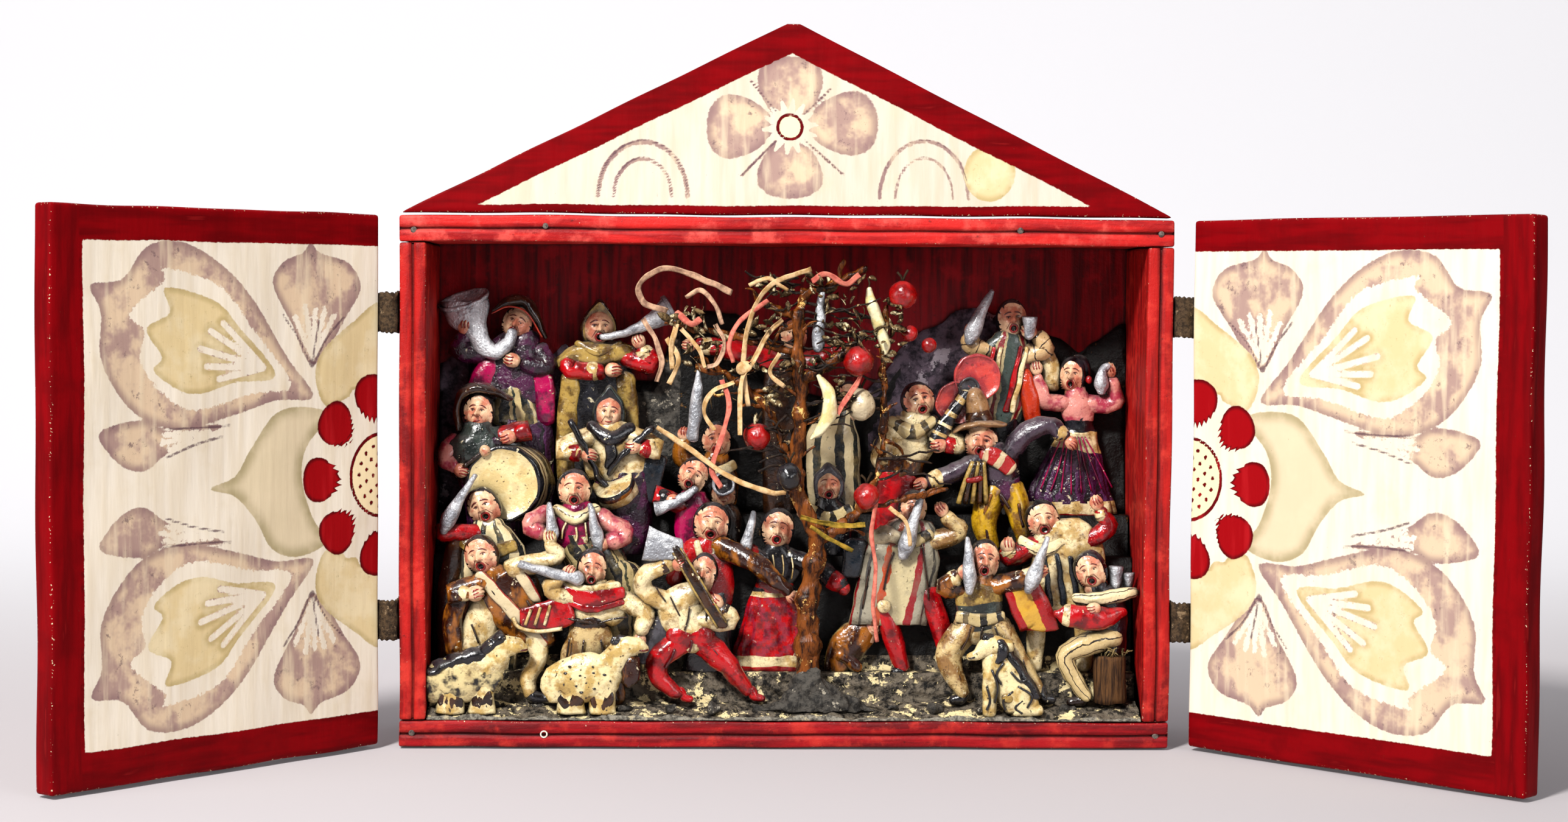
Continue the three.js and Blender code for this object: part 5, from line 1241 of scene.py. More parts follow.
def grey_poncho_man():
    f = Figure("grey_poncho_man", "second", 0, "grey_paste")
    f.roll([(42, 56, 0, 5), (47, 41, -1, 4.2), (50, 31, -1, 3.4)], "red paste")
    f.roll([(61, 62, 0, 5), (67, 46, -1, 4.4), (70, 31, -1, 3.4)], "red paste")
    f.boot(50, 30.6, -3, deeper=-1.4)
    f.boot(70, 30.6, 3, deeper=-1.4)
    f.roll([(44, 49, -1, 15.6, 3.6), (46.5, 62, -0.6, 15.6, 4.6), (50, 78, 0, 16, 5), (53, 90, 0, 11, 4.6)],
           "grey and red poncho", folds=(6, 0.06, 0), around=36, blunt=3.4, tips=(False, True))
    f.flap([(30, 84, -1.6, 4.4, 2), (29, 77, -2, 4.6, 2), (28, 70, -1.6, 4, 1.8)], "navy paste")
    f.flap([(43, 88, -3.6, 2.2), (52, 84, -5.2, 2.6), (62, 88, -3.8, 2.2)], "cream and black scarf")
    f.lump(42, 57, -5.4, (3, 2.6, 3), "cream paste")
    f.marks([(58, 84, 61, 60, -5.4), (46, 80, 42, 64, -5.4), (36, 74, 33, 56, -5)], "dark brown paste", 0.4)
    f.sleeve([(61, 84, 0, 4.4), (73.6, 88.6, -2.4, 4), (69, 94.6, -3.6, 3)], "aged cream paste")
    f.hand(66, 98.2, -4.6, 120, 3.1)
    f.sleeve([(38, 85, -1, 4), (43.6, 87.6, -4, 3.8), (47.6, 86, -5.4, 3.2)], "dusty cream paste")
    f.hand(51.6, 84.6, -6.6, -20, 3.2)
    bottle(f.clay, f.row, [(50, 78.6, -7.6, 2.2), (51.4, 84, -8, 3.6), (54, 93, -7.8, 2.4),
                           (58, 106, -7, 1.2)])
    f.head(54, 97.8, 5.6, 7.5, 12, 8, hair="black paste")
    return f.done()


def striped_poncho_man():
    f = Figure("striped_poncho_man", "second", 0, "cream_paste")
    f.roll([(108, 60, 0, 4.8, 4.2), (106.5, 31, -1, 3.4)], "cream paste")
    f.roll([(128, 60, 0, 4.8, 4.2), (128, 31, 0, 3.6)], "cream paste")
    f.roll([(122, 55, 0, 15, 4.4), (120, 70, 0, 16.6, 5), (117, 81, 0, 17, 5), (111, 87.6, 0, 9, 4.6)],
           "cream paste", folds=(6, 0.05, 0), around=36, blunt=3.2, tips=(False, True))
    for k in range(4):
        f.flap([(110 + 5.4 * k, 80 - k, -4.6, 1.1, 1), (112.4 + 6 * k, 58 + k * 0.4, -4.6, 1.3, 1)],
               "navy paste", steps=3)
    f.flap([(100, 85, -3, 2.2), (109, 81, -5.2, 2.8), (119, 85.4, -3.4, 2.2)], "cream cloth with black lines")
    f.sleeve([(107, 83, 0, 4.6), (96, 78, -1.6, 4.6), (94.8, 80, -3.6, 3.4)], "red paste", "cream paste")
    f.hand(94.4, 83, -4.8, 90, 3.3)
    f.sleeve([(126, 83, 0, 4.2), (137, 90.6, -2.2, 3.8), (134, 97.4, -2.8, 2.9)], "red paste", "cream paste")
    f.hand(132, 101.2, -3.6, 110, 3)
    f.head(109.5, 93.4, 6.5, 7.8, -6, 0, hair="black paste")
    return f.done()


def crouching_figure():
    f = Figure("crouching_figure", "second", 1, "brown_paste")
    f.roll([(23, 29.3, 0, 6, 4), (26, 38, 0, 8, 5), (32, 45, 0, 7, 4.6), (35, 49, 0, 4.4, 4)],
           lambda s, r: "ochre paste" if 0.1 < r < 0.3 else "brown varnished paste", folds=(5, 0.08, 0))
    f.roll([(24, 36, -3, 3, 2.6), (31, 31, -4, 2.6)], "brown varnished paste")
    f.head(37.6, 49, 4.8, 5.6, 36, 20, hair="dark brown paste", mouth="smile")
    return f.done()


def bass_drummer():
    f = Figure("bass_drummer", "third", 0, "grey_paste")
    f.roll([(-124, 77.5, 0, 10, 5), (-124, 98, 0, 12, 5), (-126, 112, 0, 14, 5)], "purple and black skirt",
           folds=(6, 0.06, 0))
    f.roll([(-126, 110, 0, 14.6, 5), (-128, 122, 0, 15.6, 5.2), (-130, 130, 0, 9, 4.8), (-130, 133, 0, 5, 4)],
           "green grey paste", folds=(6, 0.06, 1), around=30)
    f.flap([(-143, 121, -2.4, 1.8), (-130, 124.4, -5.2, 2), (-118, 125.4, -4, 1.8)], "purple paste")
    f.sleeve([(-141, 124, 0, 4.6), (-143.4, 118.4, -2.6, 4.4), (-140.6, 115, -4.2, 3.4)], "pink paste")
    f.hand(-137, 113, -5.8, -20, 3.3)
    f.sleeve([(-121, 127, 0, 4.6), (-108.6, 130, -1.4, 4.4), (-112.6, 129, -3.6, 3.6)], "red paste")
    f.hand(-117.4, 127, -5.6, 200, 3.3)
    f.line([(-136, 114.6, -8), (-131.6, 118, -8.2), (-128, 121, -8.2)], 0.9, "dark brown paste")
    f.lump(-127, 121.4, -8, (2.5, 2.3, 2.5), "flesh paste", around=14, rings=10)
    f.roll([(-138.6, 130, 0.8, 1.6, 4), (-139.4, 140, 0.4, 1.9, 4.4), (-135.6, 146.6, 0, 2.6, 5.6),
            (-127, 147.4, 0, 2.4, 6),
            (-116.6, 143, 0, 1, 4.6)], "dark brown paste", around=20)
    f.roll([(-131.4, 118.6, -1.8, 14, 5.6), (-130, 125, -1.6, 11.6, 5.4), (-130, 131, -1, 6, 4.6)],
           "green grey paste",
           folds=(7, 0.07, 1), around=34)
    f.disc(-119.4, 107.4, -2, 16.4, 5.2, "drum skin paste", "black paste", "striped drum side", lean=5.5,
           rim=1.7,
           dish=0.5)
    f.head(-130, 137.4, 6, 7.6, 4, -8, hair="black paste", mouth="slant")
    return f.done()


def snare_drummer():
    f = Figure("snare_drummer", "third", 0, "cream_paste")
    f.roll([(-70, 77.5, 0, 10, 5), (-68, 94, 0, 12, 5), (-69, 112, 0, 12, 5)], "purple paste",
           folds=(7, 0.07, 0))
    f.roll([(-69.6, 110, 0, 12.4, 5), (-72, 120, 0, 14, 5.2), (-74, 131, 0, 8, 4.8)], "cream paste",
           folds=(6, 0.06, 0))
    f.roll([(-82, 131.4, -1.6, 3), (-74, 126.4, -4.4, 3.4), (-66, 131, -1.6, 3)], "black paste")
    f.roll([(-75, 127.4, -4.8, 2.2, 1.6), (-73.6, 120, -5.4, 2.4, 1.4), (-75, 114.6, -5, 1.7, 1)],
           "black paste")
    f.flap([(-55, 118, -0.6, 5, 2), (-57.6, 108, -1, 5.4, 2), (-59, 100.6, -0.6, 4.8, 1.8)], "navy paste")
    f.sleeve([(-82, 127, 0, 4.6), (-94, 122, -2.2, 4.6), (-88.4, 120.6, -4, 3.8)], "cream paste", "red paste")
    f.hand(-83, 119.6, -6, -10, 3.3)
    f.sleeve([(-66, 128, 0, 4.6), (-54.6, 122.4, -2.6, 4.6), (-59.6, 122.6, -4.4, 3.8)], "cream paste",
             "red paste")
    f.hand(-64.4, 123.4, -6.4, 180, 3.3)
    for stick in ([(-91, 134, -6, 1.1), (-86.6, 126, -6.8, 1.5), (-83, 119, -7.2, 1.4), (-79.6, 112, -7, 1.5),
                   (-76.6, 107.4, -6.4, 1.1)],
                  [(-57, 131.4, -6, 1.3), (-63.6, 125.6, -7.2, 1.4), (-69.6, 119, -7, 1.5),
                   (-74.4, 111.6, -6.4, 1.1)]):
        f.roll(stick, "black paste", around=10, wobble=0.5)
    f.tub(-71.8, 105, -3.4, 9, 8, -26, 34,
          ["cream paste", "cream paste", "black paste", "brown varnished paste",
                                             "cream paste", "cream paste", "brown varnished paste"])
    f.head(-75, 137.2, 6, 7.4, 3, 2, mouth="smile", hairline=1.12,
           hood=("green grey paste", "black paste", 0.18, 0.5), hair="black paste")
    return f.done()


def small_horn_player():
    f = Figure("small_horn_player", "third", 0, "magenta_paste")
    f.roll([(-38, 77.5, 0, 8, 4.8), (-38, 92, 0, 9.4, 5), (-39, 101.6, 0, 6, 4.4)], "magenta paste",
           folds=(5, 0.07, 0))
    f.sleeve([(-43.6, 98, -0.8, 4), (-55, 103, -2.2, 4), (-51, 101.4, -4, 3.4)], "red paste", "black paste")
    f.hand(-47.4, 100.4, -5.8, -10, 3)
    f.roll([(-55, 97, -6.8, 3.2), (-50, 98.4, -7, 2.2), (-44, 101.4, -6.8, 1.9), (-38, 105.6, -5.8, 1.3)],
           "silver paint",
           tips=(False, True))
    f.head(-38.8, 110.6, 6, 7.5, 26, -6, hair="black paste")
    return f.done()


def bell_player():
    f = Figure("bell_player", "third", 2, "brown_paste")
    f.roll([(-24, 77.5, 0, 5, 4), (-24, 92, 0, 6, 4), (-25.6, 98, 0, 4.2, 3.6)], "dark brown paste")
    f.head(-26, 102.6, 5, 6, 0, 0, mouth="smile", hair="dark brown paste")
    f.disc(-26, 108, -5.6, 5.2, 2.4, "black paste", "silver paint", "silver paint", rim=1.2, dish=3.2,
           back=0.5)
    return f.done()


def cap_singer():
    f = Figure("cap_singer", "third", 1, "black_paste")
    f.roll([(20, 77.5, 0, 9, 4.8), (20, 92, 0, 9, 4.8), (19, 100.4, 0, 5.4, 4.2)], "black paste",
           folds=(5, 0.05, 0))
    f.flap([(11, 97, -3, 2.2), (19.6, 93.4, -4.8, 2.6), (28, 97, -3, 2.2)], "cream and black scarf")
    f.head(19, 106.6, 5.8, 7.2, 0, 0, hood=("grey paste", "grey paste", 0.16, 0.25), hair="black paste")
    return f.done()


def guitar_player():
    f = Figure("guitar_player", "third", 1, "cream_paste")
    f.roll([(48, 77.5, 0, 9, 5), (48, 96, 0, 10, 5), (49, 113, 0, 9.4, 5)], "red paste", folds=(5, 0.06, 0))
    f.roll([(49.6, 112, 0, 10, 5), (50.4, 119, 0, 10, 5)], "brown varnished paste", steps=3, around=22)
    f.roll([(50.6, 118, 0, 9.6, 5), (53, 127, 0, 11.6, 5), (56, 136.4, 0, 7, 4.8)], "cream paste",
           folds=(5, 0.06, 0))
    f.roll([(46, 134.4, -2, 2.6), (54.6, 130, -4.8, 3.2), (64, 135, -2, 2.6)], "cream and black scarf")
    f.disc(82.4, 153.4, 1, 10.2, 1.9, "coral paste", "coral paste", "dark brown paste", rim=0.9)
    f.disc(73.6, 142.6, 1, 9.2, 1.9, "coral paste", "coral paste", "dark brown paste", rim=0.9)
    f.disc(78.8, 148.8, -1, 4.6, 1, "grey paste", "grey paste", "grey paste", rim=0.8, dish=0.6)
    f.roll([(77.4, 147, -2, 2.4, 1.6), (70.6, 137, -3.6, 3, 2), (66.6, 130, -4.6, 3.4, 2.2),
            (63.4, 124, -4.8, 3.2, 2.2)],
           lambda s, r: "black paste" if int(s * 13) % 2 else "cream paste", around=18)
    f.sleeve([(63, 131, 0, 4.4), (74.4, 125.4, -1.4, 4.6), (70, 124.6, -3.6, 3.8)], "cream paste",
             "red paste")
    f.hand(65.4, 124.6, -5.6, 190, 3.4)
    f.sleeve([(45, 127, 0, 4.4), (40.6, 118, -2, 4)], "cream paste")
    f.head(57, 143.2, 6.5, 7.5, -14, 10, hair="black paste")
    return f.done()


def hat_man():
    f = Figure("hat_man", "third", -1, "purple_paste")
    f.roll([(90, 106, 0, 6.4, 5), (85.6, 93, -1, 5.4), (88, 82, -1, 4)], "yellow paste", folds=(4, 0.06, 0))
    f.roll([(97, 106, 0, 6, 4.8), (101.4, 93, -1, 5), (104, 82, -1, 3.8)], "yellow paste", folds=(4, 0.06, 1))
    f.marks([(88, 104, 85, 94, -5.6), (92, 104, 96, 98, -5.4), (100, 100, 102, 90, -5.2),
             (85, 92, 87, 84, -5)], "brown varnished paste", 0.8)
    f.boot(88, 80.6, -3)
    f.boot(104, 80.6, 3)
    f.roll([(94, 103, 0, 8, 5), (92, 110, 0, 8.8, 5)], "purple paste", steps=4)
    f.roll([(91.6, 110, 0, 8.4, 5), (90, 119, 0, 7.8, 4.9), (87, 124.4, 0, 5, 4.2)], "purple grey paste")
    f.flap([(84, 121, -4.4, 3, 1.7), (90, 119.6, -5.6, 4, 1.8), (96.6, 114.6, -4.6, 3.4, 1.7)],
           "red and white scarf")
    f.sleeve([(96, 121, -1, 4.4), (103, 130, -2.2, 4.4), (112.6, 133.4, -3.2, 4), (118.6, 129.6, -4, 3.2)],
             "purple grey paste", "cream paste")
    f.hand(122.2, 126, -5, -50, 2.9)
    f.sleeve([(84, 117.6, -1, 4.6), (72.6, 113, -2.4, 4.2), (63, 109.6, -3.2, 3.6)], "purple grey paste",
             "cream paste")
    f.hand(58, 108, -4, 200, 3)
    for k, (dx, slope) in enumerate([(-4.4, -1.6), (-2.4, -0.8), (0, 0), (2.3, 0.8), (4.2, 1.7)]):
        f.line([(82.4 + dx * 0.5, 118, -6.6), (81 + dx, 109, -7 - 0.3 * (k % 2)),
                (80 + dx + slope, 100, -6.6)], 1.15,
               "dark brown paste" if k % 2 else "ochre paste")
    f.roll([(83.4, 110.6, -7.4, 1.4), (78.4, 110, -7.4, 1.4)], "red painted line", steps=2)
    f.roll([(72, 130.4, -0.6, 0.9, 4.6), (77, 132.8, -0.9, 1.5, 6.2), (83, 133.8, -1, 1.8, 6.6),
            (89, 133.8, -0.9, 1.5, 6.2),
            (94.4, 133.4, -0.6, 0.9, 4.6)], "tan felt paste", around=24)
    f.roll([(83.2, 132.6, 0, 6, 5.2), (82.6, 139, 0, 5.2, 4.8), (81.2, 146.2, 0.2, 4, 3.8)], "tan felt paste",
           around=24)
    f.roll([(83, 134.6, -0.4, 6.1, 5.4), (83, 136.8, -0.4, 5.9, 5.2)], "dark brown paste", steps=2, around=22)
    f.head(84, 125.8, 6.8, 7.6, 8, -4, hair="black paste")
    return f.done()


def tuba_player():
    f = Figure("tuba_player", "back", 0, "magenta_paste")
    f.roll([(-113, 94.5, 0, 13, 4.8), (-113, 120, 0, 14, 5), (-115.6, 134, 0, 16, 5)],
           "purple and black skirt",
           folds=(8, 0.06, 0), around=36)
    f.roll([(-115.8, 133, -0.2, 15, 5), (-117, 142, -0.2, 12, 5.1), (-117, 147, -0.2, 10, 5)],
           "cream and black skirt",
           folds=(6, 0.06, 0), around=30)
    f.roll([(-116.4, 143, 0, 17.6, 4.8), (-117, 151, 0, 18, 5), (-114, 163, 0, 12.4, 4.9),
            (-109.6, 169, 0, 5, 4.2)],
           "purple paste", folds=(6, 0.06, 0))
    f.flap([(-131, 132, -1.6, 5, 3), (-131, 146, -2, 5.6, 3.4), (-126, 159, -1.6, 4.6, 3)], "magenta paste")
    f.flap([(-102.6, 134, -1.4, 4.4, 3), (-103, 147, -1.8, 4.8, 3.4), (-105, 158, -1.4, 4, 3)],
           "magenta paste")
    f.sleeve([(-125, 162, 0, 4.6), (-138.6, 163, -2.2, 4.6), (-137.4, 169, -3.4, 3.8)], "purple paste",
             "purple paste")
    f.hand(-136.6, 173.6, -4.8, 85, 3.4)
    f.sleeve([(-105, 163, 0, 4.6), (-102, 156.6, -2.2, 4.6), (-110, 157.4, -4.2, 4)], "purple paste")
    f.hand(-116.6, 159.6, -6.2, 170, 3.4)
    f.roll([(-137.4, 184.4, -1, 10.6, 5.6), (-136, 179.6, -1.4, 9.6, 5.4), (-133.4, 173, -2.4, 6.4, 5),
            (-129.6, 166.6, -3.8, 4.4),
            (-124, 163, -5.4, 3.8), (-118.6, 166.4, -6, 3), (-116.6, 171.6, -5.8, 2)], "silver paint",
            around=30,
           tips=(False, True))
    f.mouth(-137.8, 185.4, -1, 11, 5.6, 3, 0.3)
    f.roll([(-125.4, 180.2, 1, 1, 4.6), (-118, 184.6, 1, 2.6, 5.2), (-110, 183, 1, 2.8, 5.2),
            (-102.8, 169.4, 1, 1.1, 4.2)],
           "dark brown paste", around=18)
    f.line([(-125.6, 179.4, -3.6), (-118.4, 182.4, -5), (-110.6, 180, -5), (-104, 169.4, -3.2)], 0.4,
           "orange paste")
    f.head(-114.6, 175, 6.1, 7.4, 22, -8, hair="black paste")
    return f.done()


def long_horn_player():
    f = Figure("long_horn_player", "back", 0, "yellow_paint")
    f.roll([(-80, 94.5, 0, 15, 5), (-80, 118, 0, 16, 5), (-80, 134, 0, 16.6, 5), (-80, 150, 0, 15, 5),
            (-79, 162, 0, 12, 4.9), (-79, 166.8, 0, 6, 4.2)], "black paste", folds=(6, 0.05, 0))
    for side in (-1, 1):
        f.flap([(-80 + side * 13.4, 108, -1.6, 4.2, 3), (-80 + side * 13.2, 130, -2, 4.8, 3.4),
                (-80 + side * 11.6, 152, -1.8, 4.4, 3.2)], "ochre paste")
    f.roll([(-95.6, 158.6, 0, 3.4, 4), (-88, 162, -1.4, 5, 4.2), (-79.4, 161.6, -2.4, 6.4, 4.4),
            (-70, 163, -1.6, 4.6, 4),
            (-63.6, 160.4, 0, 3, 3.4)], "ochre paste", folds=(6, 0.08, 0), around=30)
    f.flap([(-89, 167, -3.4, 1.3), (-79.6, 163, -6, 1.5), (-70.6, 167, -3.6, 1.3)], "ochre paste")
    f.sleeve([(-90, 160, 0, 4.8), (-91.4, 156, -3, 4.8), (-80, 155, -4.8, 3.8)], "red paste", "cream paste")
    f.hand(-73.4, 155.6, -6.6, 0, 3.4)
    f.sleeve([(-68, 161, -1, 4.6), (-57.4, 158.6, -2.4, 4.6), (-60.4, 163.6, -3.6, 3.6)], "red paste",
             "cream paste")
    f.hand(-62.6, 168, -4.8, 110, 3.2)
    f.roll([(-78, 169.6, -6, 1.2), (-69, 171.4, -6.2, 1.7), (-61, 174.6, -6.2, 2.6), (-54, 178.4, -5.6, 4.4),
            (-49, 181.4, -5, 6.8, 5.4)], "silver paint", around=24, tips=(True, False))
    f.roll([(-49.6, 181, -5, 7.2, 5.8), (-48, 182, -5, 7, 5.6)], "silver paint", steps=2, around=24,
           tips=(False, False))
    f.head(-80, 173.4, 6.7, 8, 0, 8, hairline=1.14, hood=("dark brown paste", "ochre paste", 0.18, 0.42),
           hair="black paste")
    return f.done()


def hidden_singer():
    f = Figure("hidden_singer", "back", 0, "brown_paste")
    f.roll([(-30, 94.5, 0, 9, 4.8), (-30, 110, 0, 10.4, 5), (-29, 118.4, 0, 5.6, 4.2)],
           "brown varnished paste",
           folds=(5, 0.06, 0))
    f.flap([(-38, 115, -2.6, 2.2), (-29.6, 111.6, -5, 2.6), (-21.4, 115, -2.6, 2.2)], "cream paste")
    f.sleeve([(-38, 112, 0, 4.2), (-44.6, 119.6, -2, 3.8), (-43.4, 124.6, -3.2, 3)], "brown varnished paste",
             "cream paste")
    f.hand(-43, 128.4, -4.4, 85, 2.9)
    f.head(-29, 125.2, 5.9, 7.5, 0, 0, hair="black paste")
    return f.done()


def red_sleeved_singer():
    f = Figure("red_sleeved_singer", "back", 1, "red_paste")
    f.roll([(-1, 94.5, 0, 8, 4), (-1, 130, 0, 9, 4), (1, 152, 0, 10, 4.2), (3, 163.4, 0, 6.4, 3.8)],
           "dark brown paste",
           folds=(5, 0.06, 0))
    f.sleeve([(-4, 159, -1, 4.6), (-22, 164.6, -2, 4.4), (-36, 166.4, -2.6, 3.4)], "red paste", "cream paste")
    f.hand(-41, 166.4, -3, 180, 3)
    f.sleeve([(8, 158, -1, 5), (18, 161.6, -2, 5.6, 5), (25, 165, -2, 3.4)], "red paste")
    f.head(4, 171.2, 5.6, 6.8, 0, 0, hair="black paste")
    return f.done()


def beige_poncho_singer():
    f = Figure("beige_poncho_singer", "back", 0, "cream_paste")
    f.roll([(22, 94.5, 0, 11, 4.8), (21, 112, 0, 12, 5), (21, 128, 0, 11.4, 5), (24, 138.4, 0, 6, 4.2)],
           "cream and black poncho", folds=(5, 0.06, 0))
    f.head(28, 143.8, 5.4, 6.8, 0, 0, hair="black paste")
    return f.done()


def tall_man():
    f = Figure("tall_man", "back", -0.6, "grey_paste")
    f.roll([(96, 94.5, 0, 6.4, 4), (95, 118, 0, 7.4, 4), (93.6, 138, 0, 8, 4.2)], "black paste")
    f.roll([(92, 133, 0, 9, 4.2), (94, 148, 0, 13.4, 4.6), (95.6, 160, 0, 14, 4.8), (97, 170.4, 0, 7.6, 4.4)],
           "grey green poncho", folds=(5, 0.06, 0), around=30)
    f.roll([(110, 168, 1, 4, 2.6), (114.6, 158, 1, 4.4, 2.4), (115.4, 149, 1, 4, 2)], "cream paste")
    for x, paint in ((86, "red paste"), (89, "cream paste"), (97.4, "red paste"), (100, "cream paste")):
        f.flap([(x + 4, 166, -4.6, 0.9, 0.9), (x + 1, 152, -5, 1.2, 1), (x - 2, 139, -4.6, 1.2, 1)], paint)
    f.roll([(103.6, 155, -1.6, 3.4), (106, 145, -2, 4.8, 3.8), (107.6, 133, -2, 3)], "orange paste")
    f.sleeve([(91, 163, 0, 4.2), (80.6, 167, -1, 4), (80.2, 170.4, -1.8, 3.4)],
             "cream sleeve with black rings")
    f.hand(80.4, 174, -3.4, 80, 3.3)
    f.sleeve([(100, 162, 0, 4.6), (112, 165.4, -1.4, 4.4), (109.4, 170, -3, 3.6)],
             "cream sleeve with black rings")
    f.hand(105, 173.6, -4.8, 150, 3.4)
    f.roll([(105, 171.6, -7, 2), (105, 177, -7, 3), (105.2, 179.6, -7, 3.2)], "silver paint",
           tips=(True, False), steps=3)
    bottle(f.clay, f.row, [(79.6, 169, -5, 2.2), (81, 173.6, -5.2, 3.6), (84, 181, -5, 2.6),
                           (89, 190.4, -4.4, 1.1)])
    f.head(98, 178.2, 6.1, 7.8, -4, 2, hair="black paste")
    return f.done()


def dancer():
    f = Figure("dancer", "back", 0, "purple_paste")

    def skirt(s, r):
        if s < 0.1:
            return "red paste"
        if s < 0.24 + 0.03 * math.sin(r * 90):
            return "cream paste"
        if s < 0.72:
            return "purple and black skirt"
        return "cream paste" if s < 0.9 else "black paste"

    f.roll([(124, 94.5, 0, 19.5, 5), (124, 104, 0, 17.4, 5), (126, 119, 0, 12, 4.8),
            (127.6, 130, 0, 7.6, 4.6)], skirt,
           around=58, folds=(13, 0.075, 0), steps=8)
    f.marks([(124 + 1.4 * k, 128, 124 + 4.4 * k, 103 + 0.8 * abs(k), -5.2) for k in range(-3, 5)],
            "magenta paste", 0.35)
    f.roll([(128, 131, 0, 6.6, 4.6), (127.6, 136, 0, 6.4, 4.6)], "black paste", steps=3)
    f.roll([(127.6, 135, 0, 6.6, 4.6), (127, 141, 0, 7.6, 4.8), (126, 147.6, 0, 4.4, 3.8)], "pink paste")
    f.sleeve([(122, 142, 0, 4), (112, 143.8, -1.6, 4), (109.4, 152.6, -2.4, 3)], "pink paste")
    f.hand(108.4, 157.4, -3.2, 95, 3)
    f.sleeve([(131, 142, 0, 4), (142.8, 143, -1.6, 3.8), (141.2, 152, -2.2, 3)], "pink paste")
    f.hand(140.2, 156.6, -3.2, 95, 3)
    bottle(f.clay, f.row, [(136.4, 147.6, -5, 1.8), (136.6, 151, -5.2, 3.2), (137, 156.6, -5, 2),
                           (139, 158, -4.6, 1.8)])
    f.lump(127.4, 156.4, 1.4, (5.6, 4, 7), "black paste")
    f.lump(131.4, 152.4, -2.6, (1.6, 1.4, 1.7), "red paste")
    f.head(124.6, 154.2, 5.4, 7.5, 4, -16, hair="black paste", hairline=0.72)
    return f.done()


FIGURE_ROWS = {
    "front": [leaning_man, horn_woman, axe_man, front_man, seated_player],
    "second": [bottle_raiser, two_bottle_man, red_vest_singer, dark_dress_woman, grey_poncho_man,
               striped_poncho_man, crouching_figure],
    "third": [bass_drummer, snare_drummer, small_horn_player, bell_player, cap_singer, guitar_player,
              hat_man],
    "back": [tuba_player, long_horn_player, hidden_singer, red_sleeved_singer, beige_poncho_singer, tall_man,
             dancer],
}


# ---- Ground, hill, tree and animals ----------------------------------------------------------------
GROUND = [(0.8, 11.8), (2.5, 12.6), (9, 15), (16, 16.6), (19.8, 17), (20.8, 28.8), (31.7, 28.8), (32, 77),
          (43.3, 77), (43.6, 94), (59.2, 94)]  # depth and height of the plaster's stepped section
SKYLINE = [(-148.7, 158), (-140, 164), (-128, 150), (-104, 158), (-96, 168), (-82, 150), (-56, 150),
           (-46, 178),
           (-28, 182), (-10, 174), (8, 146), (32, 142), (58, 172), (82, 184), (112, 174), (128, 164),
           (140, 172),
           (148.7, 176)]
TREE_ROW = 12
BRANCHES = [
    [(9, 25, 0, 5.2), (9.6, 42, 0, 4.6), (9.2, 60, 0, 4.2), (12, 76, 0, 3.8), (14, 89, 0, 3.4)],
    [(14, 86, 0, 3.4), (4, 108, 0, 3), (6, 138, 0, 2.8), (5, 160, 0, 2.5), (5, 180, 0, 2.2),
     (9, 191, 0, 1.5)],
    [(7, 190, 0, 1.5), (14, 190.6, 0, 1.6), (20, 193, 0, 1.3), (33, 199, 0, 1.1)],
    [(14, 86, 0, 2.6), (24, 92, 1, 2.2), (31, 99, 2, 1.7), (39, 114, 3, 1.3), (41, 132, 3, 1.6),
     (41, 150, 3, 1.3),
     (40.6, 168, 3, 1.5), (42, 182, 3, 1.2)],
    [(6, 114, 0, 2), (-1, 124, 0, 1.8), (-6, 138, 0, 1.5), (-20, 152, 0, 1.3), (-37, 158, 0, 1.1)],
    [(5, 152, 0, 1.8), (18, 160, 0, 1.6), (31, 170, 0, 1.3)],
    [(6, 178, 0, 1.8), (-4, 182, 0, 1.4), (-14, 188, 0, 1.1)],
    [(4, 164, 2, 1.6), (-22, 171, 3, 1.3), (-50, 176, 4, 1)],
    [(31, 99, 2, 1.4), (50, 102.6, 2.4, 1.1), (68, 108, 3, 0.9)],
    [(-10, 142, 0, 0.9), (-18, 142, -1, 0.6)], [(6, 131, 0, 1.1), (14, 138, -1, 0.7)],
    [(41, 128, 3, 0.9), (52, 121, 2, 0.6)], [(-28, 155, 0, 0.8), (-30, 166, -1, 0.5)],
    [(20, 193, 0, 1), (24, 203, 0, 0.8)], [(7, 176, 0, 1.4), (-2, 174, -1, 0.8), (-8, 164, -2, 0.5)],
    [(24, 92, 1, 1.2), (32, 88, -1, 0.7)], [(-8, 148, 1, 0.9), (-30, 147, 0, 0.6)],
]
HANGING = {
    "hung_bottle_left": [(-36.6, 156.2, 0, 1.0), (-37.2, 148, 0, 2.2), (-38, 138, 0, 2.8),
                         (-39, 129, 0, 2.5)],
    "hung_bottle_right": [(14.5, 189.6, 0, 1.1), (14, 182, 0, 2.2), (13.4, 172, 0, 2.7), (13, 166, 0, 2.2)],
    "banana_left": [(13.4, 154.5, -3.5, 1.0), (17.4, 148, -3.5, 2.7), (18, 140, -3.5, 3),
                    (14, 132, -3.5, 2.4),
                    (10.5, 128.6, -3.5, 1)],
    "banana_right": [(34, 190.5, 0, 1.2), (35.8, 184, 0, 2.4), (38.6, 176, 0, 2.6), (40.8, 169, -1, 2.2),
                     (40.8, 164.6, -2.2, 1.2)],
}
BAUBLES = {
    "red_ball_top": (48.3, 188.4, 0, 6.0), "red_ball_upper": (30, 160.8, -2.6, 6.4),
    "red_ball_left": (-12.2, 129, 1, 5.8), "red_ball_lower": (33.6, 104.6, -5, 5.4),
    "pale_bulb": (31.4, 142.5, 2, 6.0), "dark_bulb": (1.2, 112.6, -6.6, 5.2),
}
PAPER_THICK = 0.16
PAPER_SHARE = 0.52  # of the full width that follows, each strip is cut to this share
